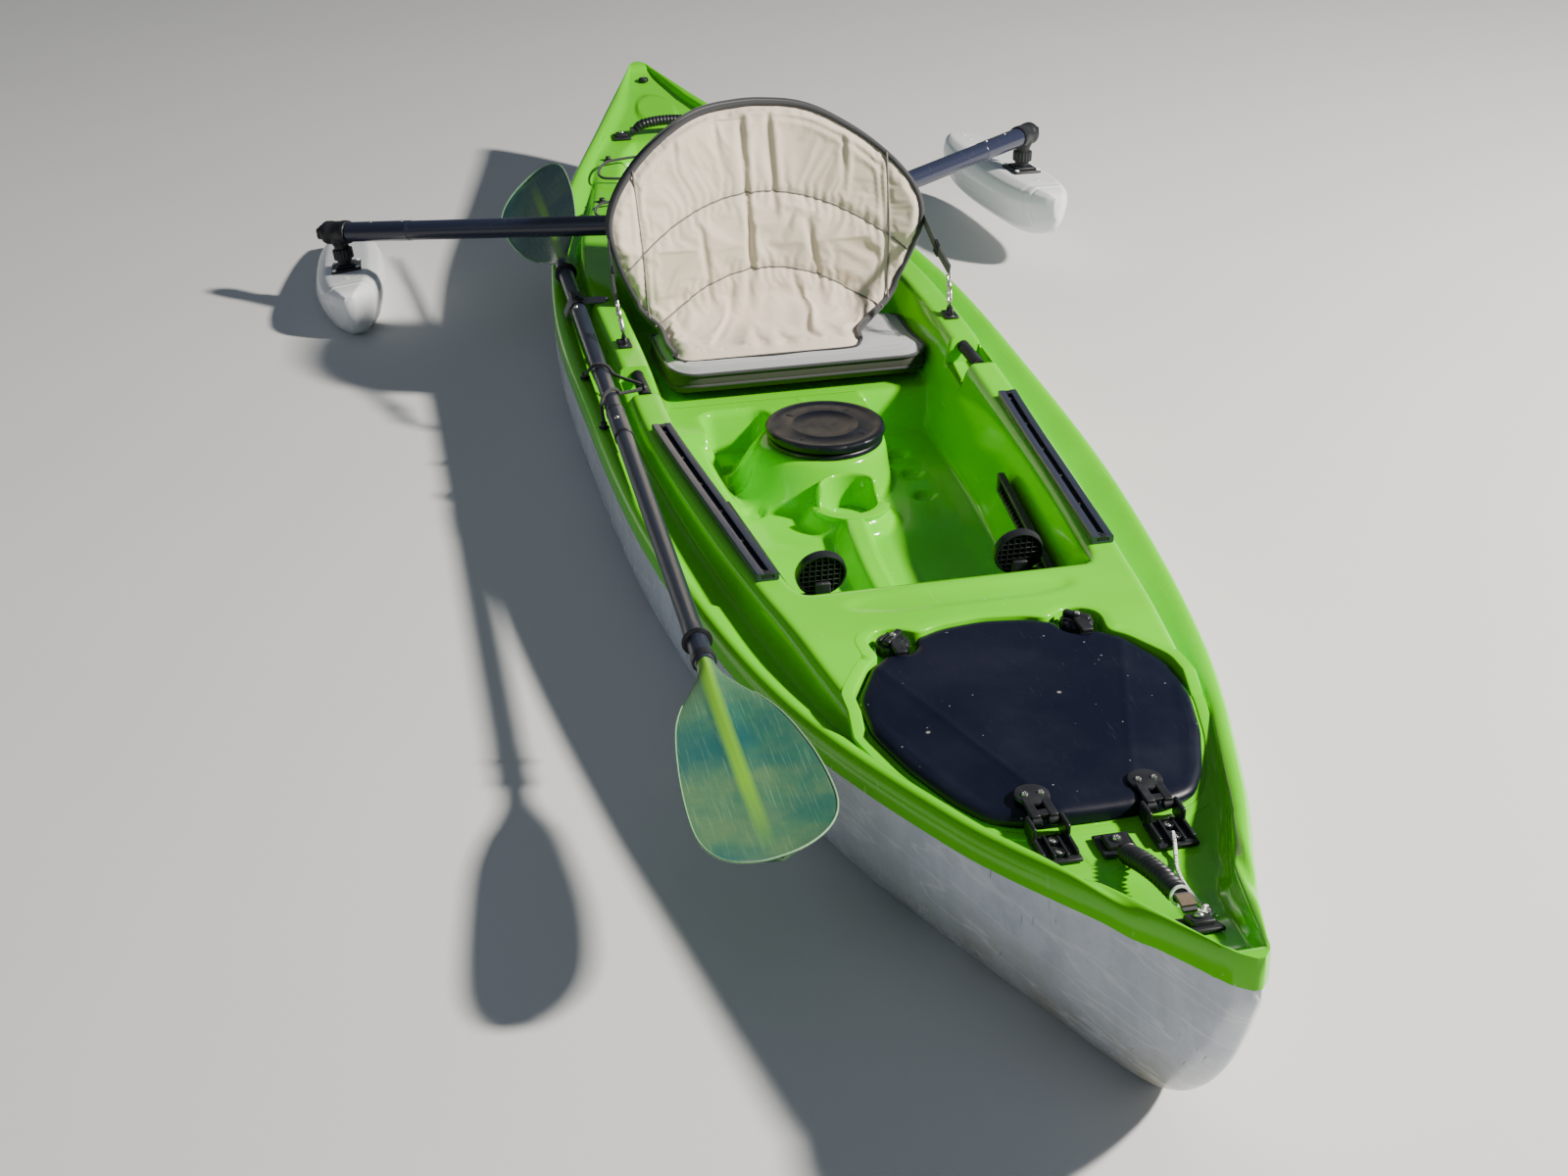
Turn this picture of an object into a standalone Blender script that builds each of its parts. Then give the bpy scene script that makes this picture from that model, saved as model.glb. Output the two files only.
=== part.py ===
"""Sit-on-top fishing kayak with a folding seat, a feathered paddle and two outrigger floats.

Metres, +X towards the bow, +Y to port, +Z up. The origin is amidships on the waterline.
"""

import math

import bmesh
import bpy
from mathutils import Matrix, Vector

# Overall size
SHELL = 0.006
GAP = 0.0003

# Half-beam, seam height, keel height and deck height along the boat
HALF_BEAM = [(-1.83, 0.016), (-1.5, 0.139), (-1.0, 0.307), (-0.5, 0.386), (0.0, 0.395), (0.5, 0.376),
             (1.0, 0.303), (1.4, 0.182), (1.65, 0.081), (1.83, 0.013)]
SEAM_HEIGHT = [(-1.83, 0.239), (-0.9, 0.152), (0.0, 0.134), (0.9, 0.141), (1.4, 0.194), (1.83, 0.286)]
KEEL_HEIGHT = [(-1.83, 0.225), (-1.79, 0.12), (-1.72, 0.03), (-1.6, -0.025), (-1.3, -0.058), (-0.7, -0.076),
               (0.0, -0.08), (0.7, -0.076), (1.2, -0.06), (1.5, -0.025), (1.62, 0.0), (1.7, 0.05),
               (1.78, 0.15), (1.83, 0.27)]
HULL_FULLNESS = [(-1.83, 1.7), (-1.4, 2.3), (-1.0, 2.9), (0.0, 3.3), (0.9, 3.0), (1.17, 2.8), (1.35, 2.43),
                 (1.56, 2.05), (1.83, 1.6)]
DECK_HEIGHT = [(-1.83, 0.265), (-1.4, 0.212), (-0.9, 0.2), (-0.2, 0.207), (0.15, 0.191), (0.6, 0.203),
               (0.79, 0.211), (0.86, 0.216), (0.935, 0.2195), (0.96, 0.2195), (1.05, 0.2195), (1.12, 0.2195),
               (1.125, 0.2193), (1.155, 0.199), (1.16, 0.1988), (1.4, 0.1988), (1.43, 0.1988), (1.48, 0.2005),
               (1.6, 0.224), (1.69, 0.258), (1.76, 0.281), (1.83, 0.302)]
COAMING_INSIDE = [(-1.83, 0.0), (-1.4, 0.1), (-1.0, 0.185), (-0.8, 0.235), (-0.5, 0.268), (-0.2, 0.272),
                  (0.15, 0.268), (0.5, 0.246), (0.79, 0.215), (1.07, 0.18), (1.25, 0.15), (1.42, 0.09), (1.83, 0.0)]
LIP_HEIGHT = 0.04
COAMING_WIDTH = 0.05
WALL_SLOPE = 0.045

# Floor heights: tankwell, bridge behind the seat, seat pan, footwell
TANKWELL_FLOOR = 0.1
SEAT_PAN = 0.105
FOOTWELL_FLOOR = 0.03
TANKWELL_AFT = -1.37
TANKWELL_FORE = -0.83
SEAT_AFT = -0.53
SEAT_FORE = -0.12
FOOTWELL_FORE = 0.79
END_WALL = 0.045
UNDERSIDE_MIN_BEAM = 0.035
BELOW = -0.3

# Front hatch
LID_AFT = 0.935
LID_FORE = 1.4
LID_THICKNESS = 0.022
PLATFORM = 0.198
LID_OUTLINE = [(0.935, 0.0), (0.943, 0.06), (0.97, 0.115), (1.02, 0.172), (1.085, 0.208), (1.16, 0.21),
               (1.25, 0.188), (1.33, 0.157), (1.378, 0.128), (1.398, 0.085), (1.4, 0.0)]
HATCH_RIM = 0.035
HATCH_MARGIN = 0.004
LATCH_POCKET = 0.031
LID_AXIS = Vector((1.409, 0.0, 0.2175))
LATCH_PLACE = (0.985, 0.128)
HINGE_SIDE = 0.07

# Console with the round hatch and the cup holder
ROUND_HATCH = (0.075, 0.0)
CONSOLE_TOP = 0.112
CUP_PLACE = (0.245, 0.0)
CUP_TOP = 0.088
CUP_RADIUS = 0.05

# Rails, tracks and bars on the sides
TRACK_AFT = 0.156
TRACK_FORE = 0.743
TRACK_WIDTH = 0.032
TRACK_SLOT = 0.009
TRACK_DEPTH = 0.012
TRACK_FLOOR = 0.0035
TRACK_INSET = 0.027
RAIL_AFT = 0.34
RAIL_FORE = 0.7
RAIL_HEIGHT = 0.125
RAIL_INSET = 0.0315
RAIL_THICKNESS = 0.012
PEDAL_X = 0.655
PEDAL_SIDE = 0.15
PEDAL_RISE = 0.04
BAR_X = -0.04
BAR_LENGTH = 0.1

# Handles
HANDLE_AFT = 1.455
HANDLE_FORE = 1.69
STERN_HANDLE = -1.418
GRIP_RADIUS = 0.0125

# Seat
CUSHION_FORE = -0.135
CUSHION_AFT = -0.415
CUSHION_SEAT = 0.1545
CUSHION_HALF_WIDTH = 0.232
BACK_FOOT = Vector((-0.36, 0.0, 0.1549))
BACK_FOLD = BACK_FOOT + Vector((0.0, 0.0, 0.01))
BACK_WRAP = 0.85
BACK_LEAN = math.radians(-20)
BACK_THICKNESS = 0.036
PAD_EYE = Vector((-0.19, 0.299, 0.0))

# Paddle
SHAFT_RADIUS = 0.0145
SHAFT_AFT = Vector((-0.66, -0.345, 0.1985))
SHAFT_FORE = Vector((0.93, -0.374, 0.1965))
BLADE_LENGTH = 0.47
FEATHER = math.radians(38)

# Outriggers
ARM_RADIUS = 0.02
ARM_HEEL = 0.032
CHEEK = 0.008
PIN_RADIUS = 0.005
PIN_FIT = 0.0001
PIN_SIDES = 20
ARM_PIVOT = Vector((-0.585, 0.19, 0.29))
ARM_END = Vector((-1.056, 0.76, 0.165))
PORT_ARM_END = Vector((-1.087, 0.737, 0.255))
FLOAT_LENGTH = 0.56
FLOAT_WIDTH = 0.148
FLOAT_DEPTH = 0.125
FLOAT_DROP = 0.078
FLOAT_SHIFT = -0.085

# Stations of the deck and hull sections
DECK_STATIONS = [-1.83, -1.81, -1.765, -1.7, -1.6, -1.5, -1.445, -1.39, -1.37, -1.325, -1.2, -1.05, -0.91, -0.875,
                 -0.83, -0.74, -0.64, -0.53, -0.485, -0.38, -0.25, -0.12, -0.075, 0.05, 0.2, 0.35, 0.5, 0.65,
                 0.745, 0.79, 0.86, 0.935, 1.05, 1.125, 1.16, 1.3, 1.4, 1.43, 1.48, 1.56, 1.62, 1.662, 1.718, 1.765,
                 1.8, 1.82, 1.83]

PALETTE = {
    "lime_deck": ((0.17, 0.62, 0.02, 1.0), 0.22, 0.0),
    "white_hull": ((0.72, 0.74, 0.72, 1.0), 0.35, 0.0),
    "hatch_navy": ((0.012, 0.014, 0.03, 1.0), 0.45, 0.0),
    "black_fitting": ((0.015, 0.015, 0.017, 1.0), 0.5, 0.0),
    "grey_fabric": ((0.55, 0.52, 0.47, 1.0), 0.9, 0.0),
    "dark_fabric": ((0.05, 0.05, 0.055, 1.0), 0.9, 0.0),
    "track_metal": ((0.05, 0.055, 0.06, 1.0), 0.4, 0.6),
    "steel": ((0.6, 0.58, 0.52, 1.0), 0.3, 1.0),
    "arm_tube": ((0.015, 0.017, 0.035, 1.0), 0.35, 0.2),
    "shaft_tube": ((0.02, 0.022, 0.035, 1.0), 0.35, 0.0),
    "blade_green": ((0.08, 0.22, 0.15, 1.0), 0.3, 0.0),
    "float_white": ((0.75, 0.77, 0.78, 1.0), 0.3, 0.0),
    "rope_white": ((0.7, 0.7, 0.66, 1.0), 0.85, 0.0),
}


def material(name):
    """Return the named material, made on first use."""
    if name in bpy.data.materials:
        return bpy.data.materials[name]
    colour, roughness, metallic = PALETTE[name]
    made = bpy.data.materials.new(name)
    made.use_nodes = True
    shader = made.node_tree.nodes["Principled BSDF"]
    shader.inputs["Base Color"].default_value = colour
    shader.inputs["Roughness"].default_value = roughness
    shader.inputs["Metallic"].default_value = metallic
    made.diffuse_color = colour
    return made


def along(knots, x):
    """Smooth value at x through a list of (x, value) knots."""
    if x <= knots[0][0]:
        return knots[0][1]
    if x >= knots[-1][0]:
        return knots[-1][1]
    index = max(i for i in range(len(knots) - 1) if knots[i][0] <= x)

    def slope(i):
        low = max(i - 1, 0)
        high = min(i + 1, len(knots) - 1)
        return (knots[high][1] - knots[low][1]) / (knots[high][0] - knots[low][0])

    x0, v0 = knots[index]
    x1, v1 = knots[index + 1]
    span = x1 - x0
    t = (x - x0) / span
    return ((2 * t**3 - 3 * t**2 + 1) * v0 + (t**3 - 2 * t**2 + t) * span * slope(index)
            + (3 * t**2 - 2 * t**3) * v1 + (t**3 - t**2) * span * slope(index + 1))


def half_beam(x):
    return along(HALF_BEAM, x)


def seam(x):
    return along(SEAM_HEIGHT, x)


def deck_height(x):
    return along(DECK_HEIGHT, x)


def rest_height(x, reach=0.0):
    """Height on which a fitting rests: the highest point of the faceted deck top within its reach."""
    heights = []
    for place in [x - reach, x + reach] + [s for s in DECK_STATIONS if abs(s - x) < reach]:
        index = max(i for i in range(len(DECK_STATIONS) - 1) if DECK_STATIONS[i] <= place)
        aft, fore = DECK_STATIONS[index:index + 2]
        t = (place - aft) / (fore - aft)
        heights.append(deck_height(aft) * (1 - t) + deck_height(fore) * t)
    return max(heights) + GAP


def body(name, verts, faces, paint, smooth_angle=35):
    """Make one closed mesh object with its faces turned out."""
    mesh = bpy.data.meshes.new(name)
    bm = bmesh.new()
    made = [bm.verts.new(v) for v in verts]
    for face in faces:
        bm.faces.new([made[i] for i in face])
    bmesh.ops.recalc_face_normals(bm, faces=bm.faces[:])
    bm.to_mesh(mesh)
    bm.free()
    mesh.shade_smooth()
    mesh.set_sharp_from_angle(angle=math.radians(smooth_angle))
    mesh.materials.append(material(paint))
    obj = bpy.data.objects.new(name, mesh)
    bpy.context.collection.objects.link(obj)
    return obj


def ring_faces(rings, count):
    """Faces between closed rings of the same point count, with both ends capped."""
    faces = []
    for r in range(rings - 1):
        for i in range(count):
            j = (i + 1) % count
            faces.append((r * count + i, r * count + j, (r + 1) * count + j, (r + 1) * count + i))
    faces.append(tuple(range(count)))
    faces.append(tuple((rings - 1) * count + i for i in range(count)))
    return faces


def loft(name, rings, paint):
    """Closed body through rings of points."""
    verts = [point for ring in rings for point in ring]
    return body(name, verts, ring_faces(len(rings), len(rings[0])), paint)


def turned(name, profile, centre, paint, sides=20, direction=(0, 0, 1)):
    """Turned body from (radius, height) points, listed from bottom to top."""
    turn = Vector((0, 0, 1)).rotation_difference(Vector(direction)).to_matrix()
    rings = []
    for radius, height in profile:
        ring = []
        for i in range(sides):
            angle = 2 * math.pi * i / sides
            point = Vector((radius * math.cos(angle), radius * math.sin(angle), height))
            ring.append(Vector(centre) + turn @ point)
        rings.append(ring)
    return loft(name, rings, paint)


def block(name, size, centre, paint, bevel=0.0, turn=0.0, tilt=0.0):
    """Box with optional rounded edges, tilted about Y and then turned about Z."""
    x, y, z = (0.5 * side for side in size)
    corners = [(sx * x, sy * y, sz * z) for sz in (-1, 1) for sx, sy in ((-1, -1), (1, -1), (1, 1), (-1, 1))]
    obj = body(name, corners, ring_faces(2, 4), paint)
    if bevel:
        rounding = obj.modifiers.new("Rounding", "BEVEL")
        rounding.width = bevel
    obj.location = centre
    obj.rotation_euler = (0, tilt, turn)
    return obj


def rod(name, start, end, radius, paint, sides=12):
    """Straight round rod between two points."""
    start, end = Vector(start), Vector(end)
    return turned(name, [(radius, 0), (radius, (end - start).length)], start, paint, sides, end - start)


def cord(name, points, radius, paint, resolution=2, spacing=3.0):
    """Round cord along a smooth curve through the points, as a bevelled poly curve."""
    points = [Vector(p) for p in points]
    route = [points[0]]
    for i in range(len(points) - 1):
        before = points[max(i - 1, 0)]
        after = points[min(i + 2, len(points) - 1)]
        a, b = points[i], points[i + 1]
        steps = max(1, round((b - a).length / (2 * radius * spacing)))
        for step in range(1, steps + 1):
            t = step / steps
            start_slope = (b - before) / 2
            end_slope = (after - a) / 2
            route.append((2 * t**3 - 3 * t**2 + 1) * a + (t**3 - 2 * t**2 + t) * start_slope
                         + (3 * t**2 - 2 * t**3) * b + (t**3 - t**2) * end_slope)
    curve = bpy.data.curves.new(name, "CURVE")
    curve.dimensions = "3D"
    curve.bevel_depth = radius
    curve.bevel_resolution = resolution
    curve.use_fill_caps = True
    spline = curve.splines.new("POLY")
    spline.points.add(len(route) - 1)
    for target, point in zip(spline.points, route):
        target.co = (*point, 1)
    curve.materials.append(material(paint))
    obj = bpy.data.objects.new(name, curve)
    bpy.context.collection.objects.link(obj)
    return obj


def strip(name, points, width, thickness, paint, across=(0, 1, 0)):
    """Flat strap through the points, with its width along the given direction."""
    points = [Vector(p) for p in points]
    side = Vector(across).normalized() * width / 2
    rings = []
    for i, point in enumerate(points):
        heading = points[min(i + 1, len(points) - 1)] - points[max(i - 1, 0)]
        lift = heading.cross(side).normalized() * thickness / 2
        rings.append([point - side - lift, point + side - lift, point + side + lift, point - side + lift])
    return loft(name, rings, paint)


def combine(target, tool, operation):
    """Add or cut a hidden tool shape on the target."""
    change = target.modifiers.new(operation.title(), "BOOLEAN")
    change.operation = operation
    change.solver = "EXACT"
    change.object = tool
    tool.hide_render = True
    tool.display_type = "WIRE"
    return target


def add(target, *tools):
    for tool in tools:
        combine(target, tool, "UNION")
    return target


def cut(target, *tools):
    for tool in tools:
        combine(target, tool, "DIFFERENCE")
    return target


def pivot_at(obj, pivot, parent):
    """Hang an object on the empty at its joint's axis, keeping its place."""
    obj.parent = parent
    obj.location = obj.location - Vector(pivot)
    return obj


def axis_empty(name, place):
    empty = bpy.data.objects.new(name, None)
    empty.location = place
    bpy.context.collection.objects.link(empty)
    return empty


def mirrored(points):
    return [Vector((p[0], -p[1], p[2])) for p in points]


def floor_height(x):
    """Height along the centre line: wells between end walls that rise to the deck."""
    top = deck_height(x)
    for aft, fore, floor in ((TANKWELL_AFT, TANKWELL_FORE, TANKWELL_FLOOR), (SEAT_AFT, SEAT_FORE, SEAT_PAN),
                             (SEAT_FORE, FOOTWELL_FORE, FOOTWELL_FLOOR)):
        if aft <= x <= fore:
            aft_top = SEAT_PAN if aft == SEAT_FORE else top
            fore_top = SEAT_PAN if fore == SEAT_FORE else top
            rise_aft = min(1.0, (x - aft) / END_WALL)
            rise_fore = min(1.0, (fore - x) / END_WALL) if fore != SEAT_FORE else 1.0
            height = aft_top + (floor - aft_top) * rise_aft
            return max(height, fore_top + (floor - fore_top) * rise_fore)
    return top


def deck_half_section(x):
    """Deck section from the seam to the centre line, as (y, z) pairs."""
    b = half_beam(x)
    s = seam(x)
    k = min(1.0, b / 0.1)
    top = deck_height(x)
    floor = floor_height(x)
    outer = min(along(COAMING_INSIDE, x) + COAMING_WIDTH, b - 0.04 * k)
    outer = max(outer, b * 0.45)
    inner = outer - COAMING_WIDTH * min(1.0, outer / 0.12)
    depth = (top - floor) / (top - FOOTWELL_FLOOR)
    foot = inner - WALL_SLOPE * min(1.0, inner / 0.1) * (0.35 + 0.65 * depth)
    gutter = min(s + 0.022, top + 0.012)
    return [(b, s), (b + 0.001 * k, s + 0.010), (b, s + 0.030), (b - 0.010 * k, s + LIP_HEIGHT),
            (b - 0.026 * k, s + 0.036), (outer + 0.012 * k, gutter), (outer, top), (inner, top),
            (foot, floor), (foot * 0.5, floor), (0.0, floor)]


def deck_rows():
    """Full deck sections from the port seam to the starboard seam."""
    rows = []
    for x in DECK_STATIONS:
        half = deck_half_section(x)
        rows.append([Vector((x, y, z)) for y, z in half] + [Vector((x, -y, z)) for y, z in half[-2::-1]])
    return rows


def deck_underside(rows):
    """Space under the deck: one wall thickness in from the surface, and everything below the seam."""
    sheet = bmesh.new()
    top = [[sheet.verts.new(p) for p in row] for row in rows]
    for i in range(len(rows) - 1):
        for j in range(len(rows[0]) - 1):
            sheet.faces.new((top[i][j], top[i][j + 1], top[i + 1][j + 1], top[i + 1][j]))
    sheet.normal_update()
    middle = len(rows[0]) // 2
    up = 1.0 if top[middle][middle].normal.z > 0 else -1.0
    rings = []
    for row in top:
        x = row[0].co.x
        b = half_beam(x)
        wall = SHELL * min(1.0, b / 0.1)
        side = b - wall
        if b < UNDERSIDE_MIN_BEAM:
            inside = [Vector((x, side * (1 - j / middle), seam(x))) for j in range(1, 2 * middle)]
        else:
            inside = [v.co - v.normal * (up * wall) for v in row[1:-1]]
        rings.append([Vector((x, b + 0.05, BELOW)), Vector((x, b + 0.05, seam(x))), Vector((x, side, seam(x)))]
                     + inside + [Vector((x, -side, seam(x))), Vector((x, -b - 0.05, seam(x))),
                                 Vector((x, -b - 0.05, BELOW))])
    sheet.free()
    past = Vector((0.01, 0, 0))
    return [[p - past for p in rings[0]]] + rings + [[p + past for p in rings[-1]]]


def make_deck():
    """Moulded deck shell with the wells, the console, the pockets and the hatch holes."""
    rows = deck_rows()
    blank = [[Vector((row[0].x, row[0].y, BELOW / 2))] + row[1:-1] + [Vector((row[0].x, -row[0].y, BELOW / 2))]
             for row in rows]
    deck = loft("deck", blank, "lime_deck")
    cut(deck, loft("deck_underside", deck_underside(rows), "lime_deck"))

    sink = FOOTWELL_FLOOR - 0.004
    console = turned("console_shape", [(0.15, sink), (0.148, 0.06), (0.128, CONSOLE_TOP)],
                     (*ROUND_HATCH, 0), "lime_deck", 24)
    tray = [(-0.074, 0.075), (0.0, 0.06), (0.16, 0.055), (0.235, 0.05), (0.235, -0.05), (0.16, -0.055),
            (0.0, -0.06), (-0.074, -0.075)]
    shelf = loft("shelf_shape", [[(ROUND_HATCH[0] + x, y * 1.15, sink) for x, y in tray],
                                 [(ROUND_HATCH[0] + x, y, 0.07) for x, y in tray]], "lime_deck")
    cup = turned("cup_shape", [(CUP_RADIUS + 0.006, sink), (CUP_RADIUS, CUP_TOP)], (*CUP_PLACE, 0), "lime_deck")
    ridge = loft("ridge_shape", [[(foot, low, sink), (crest, high, top), (crest, -high, top), (foot, -low, sink)]
                                 for foot, crest, low, high, top in ((0.25, 0.25, 0.034, 0.018, 0.066),
                                                                     (0.72, 0.7, 0.03, 0.014, 0.052))],
                 "lime_deck")
    add(deck, console, shelf, cup, ridge)
    cup_bore = turned("cup_bore", [(0.037, 0.04), (0.041, CUP_TOP + 0.02)], (*CUP_PLACE, 0), "lime_deck")
    round_bore = turned("round_bore", [(0.085, 0.0), (0.085, CONSOLE_TOP + 0.02)], (*ROUND_HATCH, 0), "lime_deck", 24)
    add(deck, hatch_prism("hatch_seat", -0.006, 0.187, PLATFORM + 0.0004))
    hatch_recess = hatch_prism("hatch_recess", -HATCH_MARGIN, PLATFORM, PLATFORM + 0.05)
    hatch_bore = hatch_prism("hatch_bore", HATCH_RIM, 0.1, PLATFORM + 0.02)
    cut(deck, cup_bore, round_bore, hatch_recess, hatch_bore)
    for side, tag in ((1, "port"), (-1, "starboard")):
        cut(deck, turned("latch_pocket_" + tag, [(LATCH_POCKET, PLATFORM), (LATCH_POCKET, PLATFORM + 0.05)],
                         (LATCH_PLACE[0] - 0.018, side * LATCH_PLACE[1], 0), "lime_deck"))
    for side, tag in ((1, "port"), (-1, "starboard")):
        y = side * (along(COAMING_INSIDE, BAR_X) + 0.028)
        z = deck_height(BAR_X)
        add(deck, block("pocket_wall_" + tag, (BAR_LENGTH + 0.03, 0.062, 0.056), (BAR_X, y, z - 0.03), "lime_deck"))
        cut(deck, block("pocket_" + tag, (BAR_LENGTH, 0.062, 0.056), (BAR_X, y - side * 0.006, z - 0.018),
                        "lime_deck"))
    return deck


def hatch_prism(name, shrink, low, high):
    """Upright prism with the front hatch's outline, shrunk evenly."""
    middle = (LID_AFT + LID_FORE) / 2
    scale_x = 1 - 2 * shrink / (LID_FORE - LID_AFT)
    scale_y = 1 - shrink / 0.21
    half = [(middle + (x - middle) * scale_x, y * scale_y) for x, y in LID_OUTLINE]
    outline = half + [(x, -y) for x, y in half[-2:0:-1]]
    return loft(name, [[(x, y, low) for x, y in outline], [(x, y, high) for x, y in outline]], "hatch_navy")


def hull_ring(x, inset, lid, count=8):
    """Closed hull section: a superellipse below the seam, closed straight across the top."""
    b = half_beam(x) - 0.0015 - inset
    z_top = seam(x) - GAP
    z_low = along(KEEL_HEIGHT, x) + inset * 1.15
    power = 2 / along(HULL_FULLNESS, x)
    half = [(b, lid if lid else z_top)]
    for i in range(count):
        t = 0.5 * math.pi * i / (count - 1)
        y = b * max(math.cos(t), 0.0) ** power
        z = z_top - 0.012 - (z_top - 0.012 - z_low) * math.sin(t) ** power
        half.append((y, z))
    half[-1] = (0.0, half[-1][1])
    return [(x, y, z) for y, z in half] + [(x, -y, z) for y, z in half[-2::-1]]


def make_hull():
    """Open bowl of the hull under the deck."""
    outside = [-1.829] + DECK_STATIONS[1:-1] + [1.829]
    inside = [-1.76, -1.7, -1.6, -1.45, -1.2, -0.9, -0.5, 0.0, 0.5, 0.9, 1.15, 1.35, 1.5, 1.6, 1.68, 1.74]
    hull = loft("hull", [hull_ring(x, 0.0, None) for x in outside], "white_hull")
    hollow = loft("hull_hollow", [hull_ring(x, SHELL, 0.4) for x in inside], "white_hull")
    return cut(hull, hollow)


def make_front_hatch():
    """Front hatch lid, its two latches and the hinge leaves that turn with it."""
    axis = axis_empty("front_hatch_axis", LID_AXIS)
    low = PLATFORM + GAP
    rim = hatch_prism("front_hatch_lid", 0.0, low, low + LID_THICKNESS - 0.006)
    crown = hatch_prism("lid_crown", 0.012, low + 0.004, low + LID_THICKNESS)
    add(rim, crown)
    for side, tag in ((1, "port"), (-1, "starboard")):
        notch = turned("notch_" + tag, [(0.03, low - 0.01), (0.03, low + 0.05)],
                       (LATCH_PLACE[0] - 0.016, side * LATCH_PLACE[1], 0), "hatch_navy", 16)
        cut(rim, notch)
        latch = turned("hatch_latch_" + tag, [(0.023, low + 0.002), (0.023, low + 0.02), (0.018, low + 0.027)],
                       (LATCH_PLACE[0] - 0.022, side * LATCH_PLACE[1], 0), "black_fitting", 16)
        tongue = block("latch_tongue_" + tag, (0.04, 0.016, 0.007),
                       (LATCH_PLACE[0] + 0.006, side * LATCH_PLACE[1], low + LID_THICKNESS + GAP + 0.0035),
                       "black_fitting")
        add(latch, tongue)
        pivot_at(latch, LID_AXIS, axis)
        leaf = turned("hinge_leaf_" + tag, [(0.024, low + LID_THICKNESS + GAP), (0.022, low + LID_THICKNESS + 0.006)],
                      (LID_FORE - 0.038, side * HINGE_SIDE, 0), "black_fitting", 16)
        bar = block("leaf_bar_" + tag, (0.062, 0.034, 0.005),
                    (LID_FORE - 0.02, side * HINGE_SIDE, low + LID_THICKNESS + GAP + 0.0027), "black_fitting")
        eye = rod("leaf_eye_" + tag, (LID_AXIS.x, side * HINGE_SIDE - 0.017, LID_AXIS.z),
                  (LID_AXIS.x, side * HINGE_SIDE + 0.017, LID_AXIS.z), 0.0055, "black_fitting")
        add(leaf, bar, eye)
        pivot_at(leaf, LID_AXIS, axis)
    pivot_at(rim, LID_AXIS, axis)


def make_hinge_plates():
    """Deck halves of the hatch hinges, bolted ahead of the lid."""
    for side, tag in ((1, "port"), (-1, "starboard")):
        y = side * HINGE_SIDE
        z = rest_height(1.447, 0.026)
        plate = block("hinge_plate_" + tag, (0.052, 0.05, 0.006), (1.447, y, z + 0.003), "black_fitting")
        for offset in (-0.021, 0.021):
            cheek = block("hinge_cheek_%s_%d" % (tag, offset > 0), (0.034, 0.006, 0.026),
                          (1.422, y + offset, z + 0.0135), "black_fitting")
            add(plate, cheek)


def make_round_hatch():
    """Ring on the console and the lid that lifts off it."""
    z = CONSOLE_TOP + GAP
    ring = turned("round_hatch_ring", [(0.098, z), (0.098, z + 0.008), (0.088, z + 0.012)],
                  (*ROUND_HATCH, 0), "black_fitting", 28)
    cut(ring, turned("ring_bore", [(0.078, z - 0.01), (0.078, z + 0.03)], (*ROUND_HATCH, 0), "black_fitting", 28))
    base = z + 0.012 + GAP
    place = Vector((*ROUND_HATCH, base))
    axis = axis_empty("round_hatch_axis", place)
    lid = turned("round_hatch_lid", [(0.1, 0.0), (0.102, 0.006), (0.1, 0.012), (0.084, 0.015)], place,
                 "black_fitting", 28)
    pivot_at(lid, place, axis)


def side_pair(maker):
    """Run a maker for the port side and for the starboard side."""
    for side, tag in ((1, "port"), (-1, "starboard")):
        maker(side, tag)


def track_side(x):
    """Distance of the gear track's middle from the centre line at x."""
    aft = along(COAMING_INSIDE, TRACK_AFT) + TRACK_INSET
    fore = along(COAMING_INSIDE, TRACK_FORE) + TRACK_INSET
    return aft + (fore - aft) * (x - TRACK_AFT) / (TRACK_FORE - TRACK_AFT)


def make_gear_track(side, tag):
    """Slotted accessory track that follows the coaming."""
    half = TRACK_WIDTH / 2
    slot = TRACK_SLOT / 2
    rings = []
    for x in [TRACK_AFT] + [s for s in DECK_STATIONS if TRACK_AFT < s < TRACK_FORE] + [TRACK_FORE]:
        base = rest_height(x)
        outline = [(-half, 0.0), (half, 0.0), (half, TRACK_DEPTH), (slot, TRACK_DEPTH), (slot, TRACK_FLOOR),
                   (-slot, TRACK_FLOOR), (-slot, TRACK_DEPTH), (-half, TRACK_DEPTH)]
        rings.append([(x, side * (track_side(x) + y), base + z) for y, z in outline])
    loft("gear_track_" + tag, rings, "track_metal")


def rail_side(x):
    """Distance of the foot rail's middle plane from the centre line at x."""
    aft = along(COAMING_INSIDE, RAIL_AFT) - RAIL_INSET
    fore = along(COAMING_INSIDE, RAIL_FORE) - RAIL_INSET
    return aft + (fore - aft) * (x - RAIL_AFT) / (RAIL_FORE - RAIL_AFT)


def make_foot_rail(side, tag):
    """Foot brace rail on the cockpit wall."""
    slope = (rail_side(RAIL_FORE) - rail_side(RAIL_AFT)) / (RAIL_FORE - RAIL_AFT)
    length = (RAIL_FORE - RAIL_AFT) * math.hypot(1, slope)
    middle = (RAIL_AFT + RAIL_FORE) / 2
    block("foot_rail_" + tag, (length, RAIL_THICKNESS, 0.034), (middle, side * rail_side(middle), RAIL_HEIGHT),
          "black_fitting", turn=side * math.atan(slope))


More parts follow.
